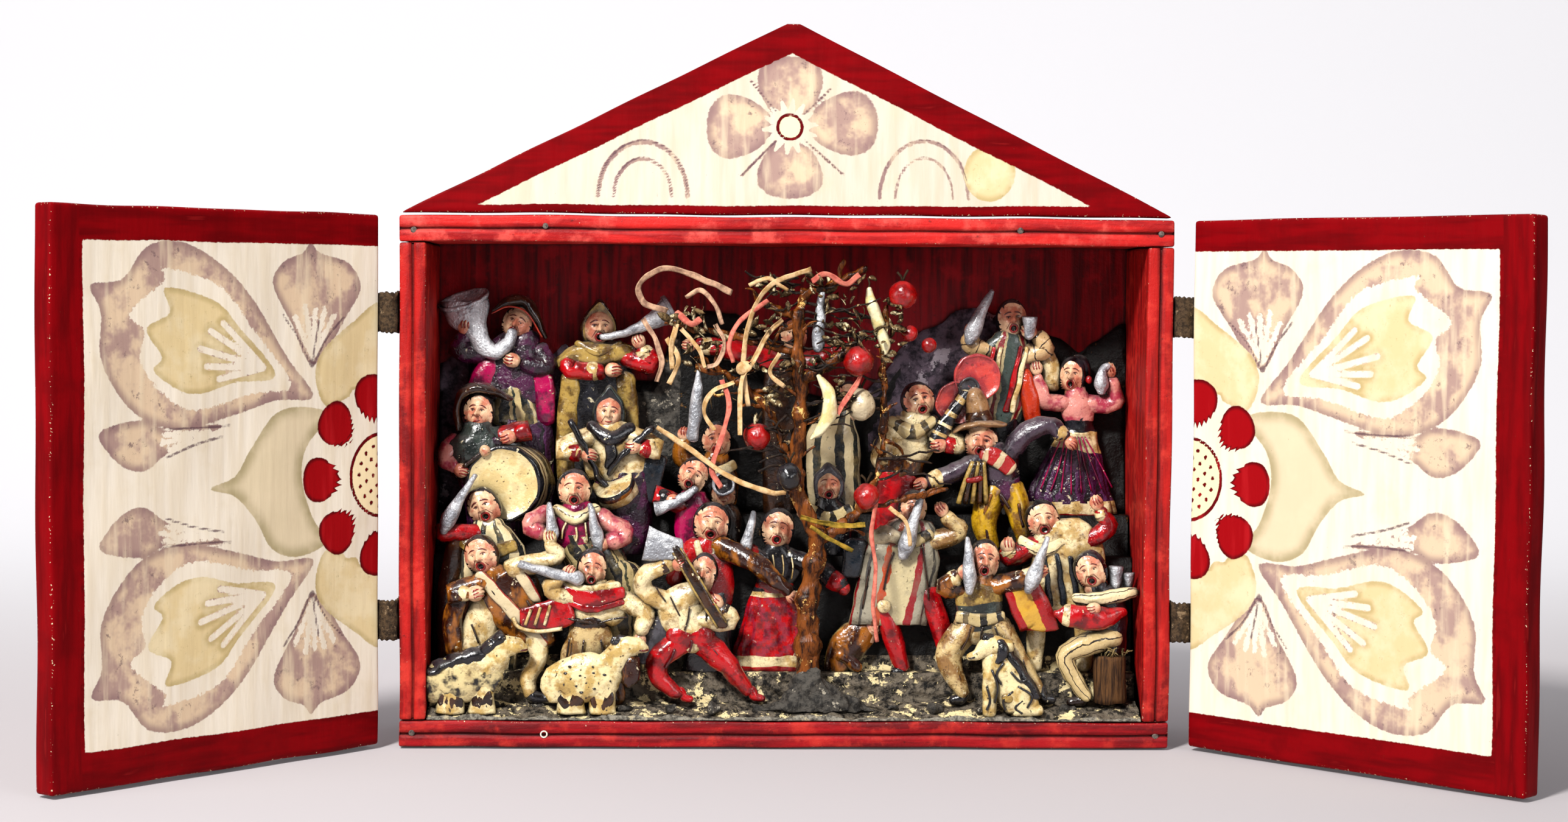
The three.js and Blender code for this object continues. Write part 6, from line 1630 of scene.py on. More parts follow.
# Paper streamers: full width in mm, paint, and the way each hangs as (x, z, deeper).
STREAMERS = [
    (4.2, "cream paper", [(10, 199, -2), (-6, 193, -6), (-14, 182, -7), (-17.5, 168, -7), (-18, 156, -7),
                          (-16, 142, -6)]),
    (4.0, "cream paper", [(-2, 178, -7), (-8, 172, -8), (-14, 161, -8.5), (-19, 152, -8), (-19.4, 130, -7)]),
    (4.0, "pink paper", [(-8, 186, -6), (-20, 177, -7), (-24, 168, -7.4), (-22.4, 160, -7)]),
    (4.4, "pink paper", [(-27, 153, -6), (-24, 142, -8), (-27.4, 128, -8), (-31, 116, -7), (-27, 108, -6.4)]),
    (3.6, "cream paper", [(-22, 152, -7), (-31, 148, -7.6), (-34.4, 140, -7.4), (-30, 132, -7)]),
    (4.4, "cream paper", [(-54, 133, -6), (-40, 124, -7.6), (-24, 113, -8), (-8, 106.6, -7.4),
                          (0, 106, -6.4)]),
    (5.0, "pale paper", [(-23, 189, 1), (-34, 194, -2), (-50, 199, -3), (-61, 193, -2), (-60, 185, 0),
                         (-50, 181, 3)]),
    (4.2, "pink paper", [(34, 166, -2), (30, 153, -4.6), (24, 144, -5), (21, 139, -4)]),
    (3.6, "pink paper", [(38, 103, -6), (35.6, 90, -7.6), (37.4, 75, -8), (36.6, 60, -8), (38.4, 44, -7)]),
    (3.4, "cream paper", [(43, 100, -6), (50, 94, -7), (52, 84, -6)]),
    (4.4, "yellow paper", [(6, 96, -7), (16, 93.4, -7.6), (26, 92.6, -7.4), (33, 92.8, -6.6)]),
    (3.6, "yellow paper", [(10, 92, -7), (20, 86, -7.6), (28, 82, -7)]),
    (4.6, "cream paper", [(-46, 176, -6), (-48, 166, -7), (-47.4, 157, -6.4)]),
    (3.6, "cream paper", [(-44, 174, -6), (-37, 166, -7), (-34, 158, -6)]),
    (5.4, "pink paper", [(-46, 181, -6), (-40, 176, -7.4), (-36, 178, -6.6)]),
    (4.6, "pink paper", [(10, 194, -5), (16, 197, -6.4), (24, 193, -6), (30, 197, -4.6)]),
    (4.4, "pale paper", [(-60, 178, -5), (-55, 170, -6.5), (-52, 160, -6), (-54, 152, -5)]),
    (4.0, "pale paper", [(-42, 187, -4), (-36, 190, -6), (-30, 184, -6), (-27, 176, -5)]),
    (4.0, "cream paper", [(-50, 170, -5), (-45, 161, -6.6), (-49, 151, -6)]),
    (3.6, "pale paper", [(-30, 176, -5), (-26, 168, -6.4), (-29, 160, -6), (-34, 158, -5)]),
    (3.4, "cream paper", [(0, 190, -4), (-8, 195, -6), (-16, 192, -5)]),
    (3.6, "cream paper", [(-1, 150, -6), (-7, 156, -7), (-3, 164, -6.6)]),
]
TUFTS = [(-34, 168, 6), (-40, 182, 5), (-2, 150, 5), (16, 180, 6), (42, 172, 6), (-12, 176, 6), (-4, 188, 8),
         (10, 191, 9), (20, 188, 8), (32, 196, 4), (46, 178, 6), (-24, 150, 7), (-36, 158, 5), (8, 160, 6),
         (20, 172, 8), (30, 176, 7), (-44, 176, 6), (40, 120, 6), (36, 108, 5), (24, 150, 6), (-8, 142, 5),
         (44, 184, 5),
         (-30, 171, 6), (38, 168, 5), (26, 166, 6), (-16, 158, 5), (0, 178, 6)]


def one_piece(clay, name, replaced):
    thing = clay.piece(name)
    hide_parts(*replaced)
    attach(thing, "case")
    return thing


def ground_piece():
    """The plaster ground: a rough speckled slope up to a low wall, and hidden ledges behind, painted near
    black as shade.
    """
    clay = Clay()
    deepest = GROUND[-1][0]
    line = []
    for (d0, z0), (d1, z1) in zip(GROUND, GROUND[1:]):
        n = max(1, int(math.hypot(d1 - d0, z1 - z0) / (1.1 if z1 < 30 else 6)))
        line += [(d0 + (d1 - d0) * k / n, z0 + (z1 - z0) * k / n) for k in range(n)]
    line += [(deepest, 94), (deepest, 11.4), (0.8, 11.4)]
    loop = np.array(line)
    x = np.linspace(-148.6, 148.6, 250)
    rings = np.zeros((len(x), len(loop), 3))
    rings[..., 0] = x[:, None]
    rings[..., 1] = FRONT + loop[None, :, 0]
    rings[..., 2] = loop[None, :, 1]
    loose = (loop[:, 1] > 12) & (loop[:, 1] < 28) & (loop[:, 0] < 21)
    for k, (size, tall) in enumerate([(23, 0.55), (9, 0.5), (4.3, 0.38), (2.1, 0.2)]):
        wave = np.sin(x[:, None] / size * 2 + 3 * k + 2 * np.sin(loop[None, :, 0] / size * 3 + k))
        rings[..., 2] += tall * wave * loose
        rings[..., 1] += 0.7 * tall * np.cos(x[:, None] / size * 2.7 + k + loop[None, :, 1]) * loose
    edge = (loop[:, 0] < 1.4) & (loop[:, 1] > 11.6)
    rings[:, edge, 2] += 0.5 * np.sin(x / 5.3 + np.sin(x / 2.9) * 1.6)[:, None]
    heights = loop[:, 1]

    # Ledge faces above the slope (above 28.9 mm) are painted near black as shade.
    def paint(s, r):
        k = int(round(r * len(loop))) % len(loop)
        return ("dark hollow plaster" if heights[k] > 28.9 else "dusty edge plaster" if loop[k, 0] < 2.4
                else "speckled plaster")

    clay.skin(rings, paint, wobble=0)
    roll(clay, TREE_ROW - 2.2, [(11, 14.6, 0, 25, 6.4), (11, 17.6, 0, 20, 6.4), (10.6, 21.6, 0, 11.6, 5.8),
         (10, 29, 0, 5.6, 4.6)], "grey plaster", around=50, folds=(7, 0.09, 0), tips=(False, True),
         wobble=0.8)
    for k in range(16):  # crumbs of plaster lying on the slope
        a = TURN * k
        roll(clay, 9 + 4 * math.sin(a * 3),
             [(-142 + 18.6 * k, 15.4, 0, 2 + math.sin(a)), (-139.4 + 18.6 * k, 15.6, 0, 1.4)],
             "grey plaster", around=10, steps=2, wobble=0.7)
    return one_piece(clay, "plaster_ground_modelled", ["plaster_ground"])


def hill_piece():
    """A low relief of hills on the back panel, with a rolling skyline; where it lies in the dark hollow it is
    painted near black as shade.
    """
    clay = Clay()
    s = np.array(SKYLINE, float)
    x = np.linspace(-148.6, 148.6, 150)
    top = np.interp(x, s[:, 0], s[:, 1]) + 0.9 * np.sin(x / 3.7) + 0.6 * np.sin(x / 1.9)
    share = np.linspace(0, 1, 26)
    z = 94.4 + (top[:, None] - 94.4) * share[None]
    hump = 3.4 - 2.6 * share[None] ** 6 + 0.9 * np.sin(x[:, None] / 11 + z / 13)
    hump = hump + 0.5 * np.sin(x[:, None] / 5 - z / 6)
    front = np.stack([np.broadcast_to(x[:, None], z.shape), -FRONT - 5.3 - hump, z], -1)
    rear = front[:, ::-1].copy()
    rear[..., 1] = -FRONT - 5.3
    rings = np.concatenate([front, rear], 1)

    # Most of the hill is painted near black as shade; the lilac and grey patches are its own paint.
    def paint(a, r):
        k, up = a * 297 - 148.6, r * 2
        lilac = (44 + 8 * math.sin(up * 9) < k < 96 and up > 0.45) or k < -138 or (38 < k < 112 and up > 0.84)
        if -66 < k < -45 and 0.3 < up < 0.86:
            return "grey plaster"
        return "hill plaster" if lilac or (-112 < k < -92 and up > 0.6) else "dark hollow plaster"

    clay.skin(rings, paint, wobble=0.3)
    return one_piece(clay, "hill_relief_modelled", ["hill_relief"])


def tree_piece():
    """A natural forked twig set in the plaster, with its broken side twigs and two small berries."""
    clay = Clay()
    for k, path in enumerate(BRANCHES):
        roll(clay, TREE_ROW, path, "twig bark", around=16 if k < 2 else 10, steps=7, folds=(3, 0.16, k),
             wobble=0.9)
        for x, z, deeper, r in path[1:-1]:  # swollen joints
            lump(clay, TREE_ROW, (x, z, deeper), (r * 1.3, r * 1.25, r * 1.5), "twig bark", around=12,
                 rings=8, wobble=0.5)
    for x, z, side, far in ((9, 47, -1, 4), (9.4, 66, 1, 5), (6, 120, 1, 6), (5, 145, -1, 6), (5, 172, 1, 7),
                            (41, 140, 1, 5),
                            (40, 122, -1, 5), (41, 160, -1, 4), (-20, 152, 1, 6), (-14, 146, -1, 6),
                            (-12, 187, -1, 5),
                            (20, 161, -1, 5), (-36, 173, -1, 6), (58, 104, 1, 6), (-30, 156, -1, 8)):
        roll(clay, TREE_ROW, [(x, z, -0.5, 0.9), (x + side * far * 0.5, z + far * 0.6, -1.6, 0.6),
             (x + side * far, z + far * 0.8, -2.4, 0.35)], "twig bark", around=7, steps=3, wobble=0.5)
    for k in range(46):  # brittle side twigs
        a, z = TURN * k, 112 + (7.3 * k) % 84
        x = 5 + 34 * (k % 4 == 0)
        side, far = (-1 if k % 3 else 1), 9 + (5.7 * k) % 24
        roll(clay, TREE_ROW, [(x, z, 1, 0.6), (x + side * far * 0.5, z + 3 * math.sin(a), -2, 0.5),
             (x + side * far, z + 6 * math.sin(a + 1), -3 + 2 * math.sin(a), 0.35)], "dark twig", around=6,
             steps=4, wobble=0.9)
    for x, z, r in ((51.5, 172.4, 3.5), (59.6, 167.6, 3.2)):
        lump(clay, TREE_ROW, (x, z, 1), (r, r, r), "red ball varnish", around=20, rings=14)
    return one_piece(clay, "tree_modelled", ["tree"])


def leaf_tufts(twist, density, length):
    """Dry curled leaves scattered round the twigs by Geometry Nodes, then kept as a plain mesh."""
    clay = Clay()
    for x, z, r in TUFTS:
        lump(clay, TREE_ROW, (x, z, -1.5), (r, r * 0.5, r * 0.75), "dry leaf", around=10, rings=7, wobble=1.5)
    cloud = clay.piece("leaf_cloud")
    blade = Clay()
    t = np.linspace(0, 1, 6)
    half = np.sin(t * math.pi) ** 0.7 * 1.25 + 0.05
    rings = [[(-h, 0.5 * u * u * 5 - 0.12, u * 5), (0, 0.5 * u * u * 5 + 0.14, u * 5),
              (h, 0.5 * u * u * 5 - 0.12, u * 5),
              (0, 0.5 * u * u * 5 - 0.02, u * 5)] for u, h in zip(t, half)]
    blade.skin(rings, "dry leaf", wobble=0)
    leaf = blade.piece("leaf_blade")
    tree = bpy.data.node_groups.new("Leaf tufts", "GeometryNodeTree")
    face = tree.interface
    face.new_socket("Geometry", in_out="INPUT", socket_type="NodeSocketGeometry")
    sockets = {}
    for name, kind, value in (("Leaf", "NodeSocketObject", leaf),
                              ("Finish", "NodeSocketMaterial", PASTE["dry leaf"]),
                              ("Density", "NodeSocketFloat", density), ("Size", "NodeSocketFloat", length),
                              ("Seed", "NodeSocketInt", twist)):
        sockets[name] = (face.new_socket(name, in_out="INPUT", socket_type=kind), value)
    face.new_socket("Geometry", in_out="OUTPUT", socket_type="NodeSocketGeometry")
    given = add(tree, "NodeGroupInput").outputs
    spots = add(tree, "GeometryNodeDistributePointsOnFaces",
                {"Mesh": given["Geometry"], "Density": given["Density"],
                "Seed": given["Seed"]})
    turn = add(tree, "FunctionNodeRandomValue",
               {"Min": (0, 0, 0), "Max": (6.28, 6.28, 6.28), "Seed": given["Seed"]},
               data_type="FLOAT_VECTOR").outputs[0]
    size = add(tree, "FunctionNodeRandomValue", {2: 0.5, 3: 1.3, "Seed": given["Seed"]},
               data_type="FLOAT").outputs[1]
    size = product(tree, size, given["Size"])
    one = add(tree, "GeometryNodeObjectInfo", {"Object": given["Leaf"]}).outputs["Geometry"]
    many = add(tree, "GeometryNodeInstanceOnPoints",
               {"Points": spots.outputs["Points"], "Instance": one, "Rotation": turn,
               "Scale": size}).outputs[0]
    real = add(tree, "GeometryNodeRealizeInstances", {0: many}).outputs[0]
    done = add(tree, "GeometryNodeSetMaterial", {"Geometry": real, "Material": given["Finish"]}).outputs[0]
    add(tree, "NodeGroupOutput", {0: done})
    modifier = cloud.modifiers.new("Leaf tufts", "NODES")
    modifier.node_group = tree
    for socket, value in sockets.values():
        modifier[socket.identifier] = value
    bpy.context.view_layer.update()
    mesh = bpy.data.meshes.new_from_object(cloud.evaluated_get(bpy.context.evaluated_depsgraph_get()))
    thing = bpy.data.objects.new("leaf_tufts", mesh)
    bpy.context.scene.collection.objects.link(thing)
    for spare in (cloud, leaf):
        bpy.data.objects.remove(spare)
    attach(thing, "case")
    return thing


def hanging_pieces():
    """Bottles, bananas, balls and bulbs hung from the twigs on threads."""
    out = []
    for name, path in HANGING.items():
        clay = Clay()
        paint, slot = ("silver paint", "silver_paint") if "bottle" in name else ("banana paste",
                "yellow_paint")
        roll(clay, TREE_ROW, path, paint, around=20, steps=6, wobble=0.3)
        x, z, deeper, _ = path[0]
        stroke(clay, [(x, FRONT + TREE_ROW + deeper, z), (x + 0.4, FRONT + TREE_ROW, z + 3),
                      (x - 0.3, FRONT + TREE_ROW, z + 5)],
               0.35, "thread")
        out.append(one_piece(clay, name + "_modelled", [name]))
    for name, (x, z, deeper, r) in BAUBLES.items():
        clay = Clay()
        paint, slot = {"red": ("red ball varnish", "glossy_red"),
                       "pale": ("speckled cream paste", "cream_paste"),
                       "dark": ("black paste", "black_paste")}[name.split("_")[0]]
        tall = 1.12 if "bulb" in name else 1.0
        lump(clay, TREE_ROW, (x, z, deeper), (r, r, r * tall), paint, around=34, rings=24, wobble=0.25)
        for k, lean in enumerate((-0.8, 0.7)):
            base = FRONT + TREE_ROW + deeper
            stroke(clay, [(x, base, z + r * tall - 0.3), (x + lean, base, z + r * tall + 2),
                          (x + lean * 3, base - 0.4,
                   z + r * tall + 3.6 + k)], 0.5, "thread")
        out.append(one_piece(clay, name + "_modelled", [name]))
    return out


def streamer_pieces():
    """Narrow strips of old crinkled paper, twisted and looped through the twigs."""
    clay = Clay()
    for n, (wide, paint, path) in enumerate(STREAMERS):
        p = smooth(np.array(path, float), 9)
        p = np.stack([p[:, 0], FRONT + TREE_ROW + p[:, 2], p[:, 1]], -1)
        t = np.linspace(0, 1, len(p))
        way = np.gradient(p, axis=0)
        way /= np.linalg.norm(way, axis=1, keepdims=True)
        side = np.cross(way, np.array([0, 1, 0]))
        side /= np.maximum(np.linalg.norm(side, axis=1, keepdims=True), 1e-6)
        lift = np.cross(side, way)
        twist = 0.55 * np.sin(t * (4 + n % 3) + n) + 0.12 * np.sin(t * 23 + n)
        flat = side * np.cos(twist)[:, None] + lift * np.sin(twist)[:, None]
        skin = np.cross(flat, way)
        share = np.array([-0.5, -0.25, 0, 0.25, 0.5])
        cup = 0.5 * (1 - (share * 2) ** 2) * math.sin(n * 2.1)
        across = (share * wide * PAPER_SHARE)[None, :, None]
        face = p[:, None] + flat[:, None] * across + skin[:, None] * cup[None, :, None]
        back = (face + skin[:, None] * PAPER_THICK)[:, ::-1]
        clay.skin(np.concatenate([face, back], 1), paint, wobble=0.15)
    lump(clay, TREE_ROW, (-18, 158, -8), (3.2, 1.6, 2.6), "cream paper", around=12, rings=9, wobble=0.8)
    thing = clay.piece("paper_streamers")
    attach(thing, "case")
    return thing


def stool_piece():
    """A block stool of split cane, with frayed fibres standing up round its top."""
    clay = Clay()
    k = np.linspace(0, 2 * math.pi, 60, endpoint=False)
    ridge = 1 + 0.035 * np.sin(k * 19) + 0.02 * np.sin(k * 31)
    rings = [np.stack([137 + 6.7 * s * ridge * np.cos(k), FRONT + 12.6 + 6.5 * s * ridge * np.sin(k),
                       np.full(60, z)], -1)
             for z, s in ((17.8, 1.02), (20, 1.02), (28, 0.99), (36, 0.98), (37.6, 0.93), (37.8, 0.5))]
    clay.skin(rings, "split cane", wobble=0.3)
    for n in range(34):
        a, far = TURN * n, 3 + 3.4 * ((n * 0.37) % 1)
        x, y = 137 + far * math.cos(a), FRONT + 12.6 + far * math.sin(a)
        stroke(clay, [(x, y, 37), (x + math.cos(a * 3) * 2, y + math.sin(a) * 1.4, 39 + n % 3),
                      (x + math.cos(a * 3) * 4.4,
               y + math.sin(a) * 2, 38.6 + n % 4)], 0.22, "straw", around=5)
    return one_piece(clay, "block_stool_modelled", ["block_stool"])


def sheep(name, x, patch):
    """A sheep side on: four legs run together in pairs, a fleece painted with dabs, and its head up."""
    clay = Clay()
    row = ROW["animal"]
    fleece = "flecked fleece paste" if patch == "dark brown paste" else "sheepskin paste"
    for shift, wide in ((-1, 6.4), (12, 5.8)):
        roll(clay, row, [(x + shift, 13.6, 0, wide, 3.2), (x + shift, 19, 0, wide * 0.92, 3.3),
                         (x + shift, 27, 0, wide, 3.8)],
             "sheepskin paste", around=20, tips=(False, True))
        lump(clay, row, (x + shift, 20, -2.1), (wide * 0.82, 1.2, 5.8), "dark brown paste", around=18,
             rings=12, wobble=0.5)
    roll(clay, row, [(x - 7.4, 20, 0, 3.6, 2.8), (x - 6.4, 26, 0, 8, 3.8), (x + 4, 28.4, 0, 10.4, 4.4),
                     (x + 13, 29.4, 0, 9, 4),
         (x + 17, 31, 0, 5.4, 3.6)], fleece, around=28)
    roll(clay, row, [(x + 11, 30, 0, 8, 4), (x + 17, 36, -0.2, 6, 3.9), (x + 21, 41, -0.4, 5.2, 3.9),
                     (x + 26.4, 42, -0.8, 3.6, 3.1),
         (x + 29.6, 41, -0.8, 2, 2)], "sheepskin paste", around=22)
    for side in (-1, 1):
        roll(clay, row, [(x + 19, 43.6, side * 1.8 - 0.6, 1.8, 1),
                         (x + 16, 44.4, side * 2.6 - 0.6, 1.3, 0.8)], "black paste", around=10)
    y = FRONT + row
    stroke(clay, [(x + 26, y - 3.2, 42.6), (x + 27.2, y - 3.2, 43), (x + 28.2, y - 2.9, 42.6)], 0.4,
           "painted line")
    stroke(clay, [(x + 31, y - 2.2, 40.6), (x + 29, y - 3, 40.2), (x + 27.4, y - 3.2, 40.6)], 0.4,
           "painted line")
    roll(clay, row, [(x + 19, 45, -0.4, 1.6, 2), (x + 23, 44.8, -0.6, 1.4, 1.6)], "black paste", around=12,
         steps=3)
    if fleece == "flecked fleece paste":
        roll(clay, row, [(x - 8, 31, -0.4, 3.4, 3.4), (x + 2, 35.4, -0.4, 3.8, 3.8),
                         (x + 13, 38.4, -0.4, 3, 3.4)], "black paste",
             around=14, wobble=0.9)
        roll(clay, row, [(x + 14, 40, -1, 2.4, 3), (x + 20, 45, -0.7, 3, 3.4)], "black paste", around=14,
             wobble=0.7)
    else:
        roll(clay, row, [(x + 24, 36, -0.2, 4, 3), (x + 23, 28, -0.4, 4, 3.2)], "brown varnished paste",
             around=14, wobble=0.8)
        for k in range(16):
            a = TURN * k
            px, pz = x + 5 + 12 * math.cos(a) * math.sqrt(k / 16), 29 + 6 * math.sin(a) * math.sqrt(k / 16)
            lump(clay, row, (px, pz, -4), (0.6 + 0.3 * math.sin(3 * a), 0.5, 0.5), "black paste", around=8,
                 rings=5, wobble=0.3)
    return one_piece(clay, name + "_modelled", [name])


def dog_piece():
    clay = Clay()
    row = ROW["animal"]
    roll(clay, row, [(100, 15.6, 0, 7, 4), (97, 22, 0, 8.6, 4.2), (91.6, 31, 0, 6.4, 3.8),
                     (87.4, 38.4, 0, 4.6, 3.6)],
         "sheepskin paste", around=24)
    roll(clay, row, [(85.6, 14, 0, 3, 3.2), (86, 26, -0.4, 3.6, 3.4), (87, 38, 0, 4.4, 3.6)],
         "sheepskin paste", around=18)
    roll(clay, row, [(106, 15.4, -0.6, 2.4, 3), (97, 15.6, -2, 2.6, 2)], "sheepskin paste", around=14)
    roll(clay, row, [(93, 42, 0, 3.2, 3), (86, 42.4, -0.4, 4.6, 3.7), (80, 39, -0.6, 2.6, 2.4),
                     (77, 38, -0.6, 1.6, 1.7)],
         "sheepskin paste", around=20)
    roll(clay, row, [(104.6, 22, -0.4, 3, 3), (99, 30, 0.2, 3, 3.4), (93.4, 39, 0.2, 2.6, 3.2)],
         "black paste", around=14, wobble=0.5)
    roll(clay, row, [(89.6, 44.6, -2.4, 2, 1.2), (90.6, 40, -3.4, 2.4, 1.2), (88.6, 36, -3.2, 1.7, 1)],
         "black paste", around=12)
    roll(clay, row, [(84, 45.4, -0.6, 2.4, 2.4), (86, 45.8, -0.2, 2, 2.4)], "black paste", around=12, steps=2)
    y = FRONT + row
    for line in ([(95, 24), (91, 20), (92, 16)], [(97, 26), (103, 22), (101, 17)],
                 [(86, 33), (88.6, 26), (87.4, 19)],
                 [(91, 36), (88, 31), (90, 27)], [(99, 20), (96, 17), (99, 14.6)],
                 [(84, 26), (85.4, 20), (84, 16)],
                 [(94, 32), (98, 28), (101, 29)]):
        stroke(clay, smooth([(a, y - 3.9, b) for a, b in line], 4), 0.5, "black paste")
    lump(clay, row, (93, 21, -3.4), (2.6, 1, 2.2), "ochre paste", around=12, rings=8)
    stroke(clay, [(79, y - 3, 38), (77.4, y - 2.4, 37.4), (76.4, y - 1.8, 37.6)], 0.36, "dark painted line")
    return one_piece(clay, "dog_modelled", ["dog"])


# ---- Case, doors, gable and straps -----------------------------------------------------------------
def coat(thing, material, replaced, body):
    thing.data.materials.append(material)
    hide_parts(replaced)
    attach(thing, body)
    return thing


def case_pieces():
    size = CASE_HIGH - CASE_LOW
    wide, deep, tall = size[0], size[1] - 0.3, size[2]
    corner = np.array([CASE_LOW[0], FRONT, 0])
    inside = tall - 2 * BOARD - 0.6
    rim = red_wood("brushed red rail", "9e0c14", "5c050c", "bc2c22", wear=0.02)
    # The top rail is painted a brighter red than the other rails: a painted highlight of the light from
    # above.
    top = red_wood("rubbed red top rail", "c8201c", "86080e", "e0544a", wear=0.03)
    post = red_wood("brushed red post", "b01612", "6c0709", "cc3428", streak=(3, 3, 26), wear=0.02)
    lines = [((wide, BOARD, deep), (0, 0, 0), "case_floor", rim, ((1, BOARD / 2),)),
             ((wide, BOARD, deep), (0, 0, tall - BOARD), "case_top", top, ((1, BOARD / 2),)),
             ((BOARD, inside, deep), (0, 0, BOARD + 0.3), "case_side_left", post, ((0, BOARD / 2),)),
             ((BOARD, inside, deep), (wide - BOARD, 0, BOARD + 0.3), "case_side_right", post,
              ((0, BOARD / 2),))]
    for size, place, name, finish, grooves in lines:
        at = corner + np.array(place)
        thing = board(name + "_board", size, 2.0, 1.1, lambda p, at=at: at + p[:, [0, 2, 1]], grooves=grooves)
        coat(thing, finish, name, "case")
    back_box = [np.array(v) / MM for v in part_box("case_back")]
    size = back_box[1] - back_box[0]
    thing = board("case_back_board", (size[0], size[2], size[1]), 3.0, 0.8,
                  lambda p: back_box[0] + p[:, [0, 2, 1]])
    coat(thing, red_wood("rubbed red back", "8c000e", "4a0007", "a60a18", streak=(2, 2, 30), wear=-0.02,
                         grime=0.8), "case_back",
         "case")
    clay = Clay()
    for x, z in ((-154.6, 6), (-154, 214), (154.4, 214.4), (154.6, 5.4), (-100, 216), (96, 215.4)):
        lump(clay, 0, (x, z, 0.1), (1.3, 0.35, 1.3), "nail head", around=16, rings=8, wobble=0.1)
    ring = [(-100 + 1.3 * math.cos(k), FRONT + 0.1, 5.6 + 1.3 * math.sin(k)) for k in np.linspace(0, 6.28,
            20)[:-1]]
    stroke(clay, ring, 0.35, "chipped paint", closed=True)  # a round chip in the paint of the front rail
    thing = clay.piece("nail_heads")
    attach(thing, "case")


def gable_piece():
    low, high = (np.array(v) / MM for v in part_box("gable_board"))
    wide, tall, thick = high[0] - low[0], high[2] - low[2], high[1] - low[1]

    def place(p):
        share = np.clip(p[:, 1] / tall, 0, 1)
        x = (p[:, 0] - wide / 2) * (1 - share) + share * ((p[:, 0] / wide - 0.5) * 5.2 + 1.5)
        return np.stack([x, low[1] + p[:, 2], low[2] + p[:, 1]], -1)

    thing = board("gable_painted", (wide, tall, thick), 1.15, 1.2, place, gable_paints(low[2], wide))
    # The gable's limewash is given darker than the doors' (d2c8b8 and c8bca6 against e6dccb and dccfb9):
    # painted shade that holds back the stronger light falling on it.
    coat(thing, flower_paint("gable limewash and red", "7c0006", "5e0004", "d2c8b8", "c8bca6"), "gable_board",
         "case")


def door_piece(side):
    word = "left" if side < 0 else "right"
    out = math.radians(OPEN_DEGREES - 90)
    along = np.array([side * math.sin(out), -math.cos(out), 0])
    normal = np.array([-side * math.cos(out), -math.sin(out), 0])
    corner = np.array([side * 168, FRONT, 1])

    def place(p):
        return corner + p[:, :1] * along + p[:, 1:2] * np.array([0, 0, 1]) - (p[:, 2:] + DOOR_EASE) * normal

    thing = board("door_" + word + "_painted", DOOR_SIZE, 1.15, 1.3, place, door_paints)
    coat(thing, flower_paint(word + " door limewash and red", "7c0006", "5e0004"), "door_" + word,
         word + "_door")
    for n, middle in STRAP_HEIGHTS:
        clay = Clay()
        path = np.array([(160.9, 22.6), (160.9, 12), (160.9, 3), (161.8, 0.2), (164.4, -1.1), (167, 0.1),
                         (170, 3.1),
                         (174, 6.7)])
        p = smooth(path, 6)
        way = np.gradient(p, axis=0)
        way /= np.linalg.norm(way, axis=1, keepdims=True)
        across = np.stack([way[:, 1], -way[:, 0]], -1)
        z = np.linspace(-8.1, 8.1, 12)
        fray = 0.35 * np.sin(np.arange(len(p)) * 1.3 + n + side)[:, None] * (np.sign(z) * (np.abs(z) > 7))
        rings = []
        for h in (0.55, -0.55):
            x, y = ((p[:, k] + across[:, k] * h)[:, None] + 0 * z for k in (0, 1))
            rings.append(np.stack([side * x, FRONT + y, middle + z + fray], -1)[:, :: 1 if h > 0 else -1])
        rings = np.concatenate(rings, 1)
        clay.skin(rings, "old leather", wobble=0.35)
        strap = clay.piece(f"strap_{word}_{n}_leather")
        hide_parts(f"strap_{word}_{n}_case", f"strap_{word}_{n}_door")
        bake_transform(strap)


# ---- Stage -----------------------------------------------------------------------------------------
def stage_pieces(sun):
    """A pale sweep that glows a little of its own, more towards the back, lit from above and in front by
    softboxes. The key stands high on the left.
    """
    sweep = Clay()
    arc = [(0.75 + 0.45 * math.sin(a), 0.45 - 0.45 * math.cos(a)) for a in np.linspace(0, math.pi / 2, 12)]
    path = [(-1.2, 0)] + arc + [(1.2, 3)]
    x = np.linspace(-2.6, 2.6, 9)
    rings = [[(v * 1000, y * 1000, z * 1000 - 0.6) for v in x] + [(v * 1000, y * 1000 + 8,
                                                                   z * 1000 - 8) for v in x[::-1]]
             for y, z in path]
    sweep.skin(rings, "studio sweep", wobble=0)
    sweep.piece("studio_sweep")
    for name, place, aim, size, power, tone in (
            ("key_softbox", (-0.62, -1.2, 1.2), (0, 0, 0.12), 0.24, 47, (1, 0.985, 0.96)),
            ("fill_softbox", (1.1, -1.5, 0.7), (0, 0, 0.1), 0.7, 7, (0.97, 0.98, 1)),
            ("left_softbox", (-1.6, -0.9, 0.5), (0, 0, 0.15), 0.6, 5, (0.97, 0.98, 1)),
            ("sweep_light", (0, 0.35, 2.2), (0, 1.2, 0.3), 2.2, 17, (1, 1, 1))):
        data = bpy.data.lights.new(name, "AREA")
        data.size, data.energy, data.color = size, power * sun, tone
        light = bpy.data.objects.new(name, data)
        light.location = place
        light.rotation_euler = (Vector(aim) - Vector(place)).to_track_quat("-Z", "Y").to_euler()
        bpy.context.scene.collection.objects.link(light)
    world = bpy.data.worlds.new("studio air")
    world.use_nodes = True
    world.node_tree.nodes["Background"].inputs["Color"].default_value = colour("f4f4f8")
    world.node_tree.nodes["Background"].inputs["Strength"].default_value = 0.11 * sun
    bpy.context.scene.world = world
    bpy.context.scene.view_settings.view_transform = "Standard"


CAMERA_PLACE = (-31.506, -1171.421, 189.985)
CAMERA_TURN = (1.52, 2.496, 0.389)  # to the right, down, and rolled, in degrees


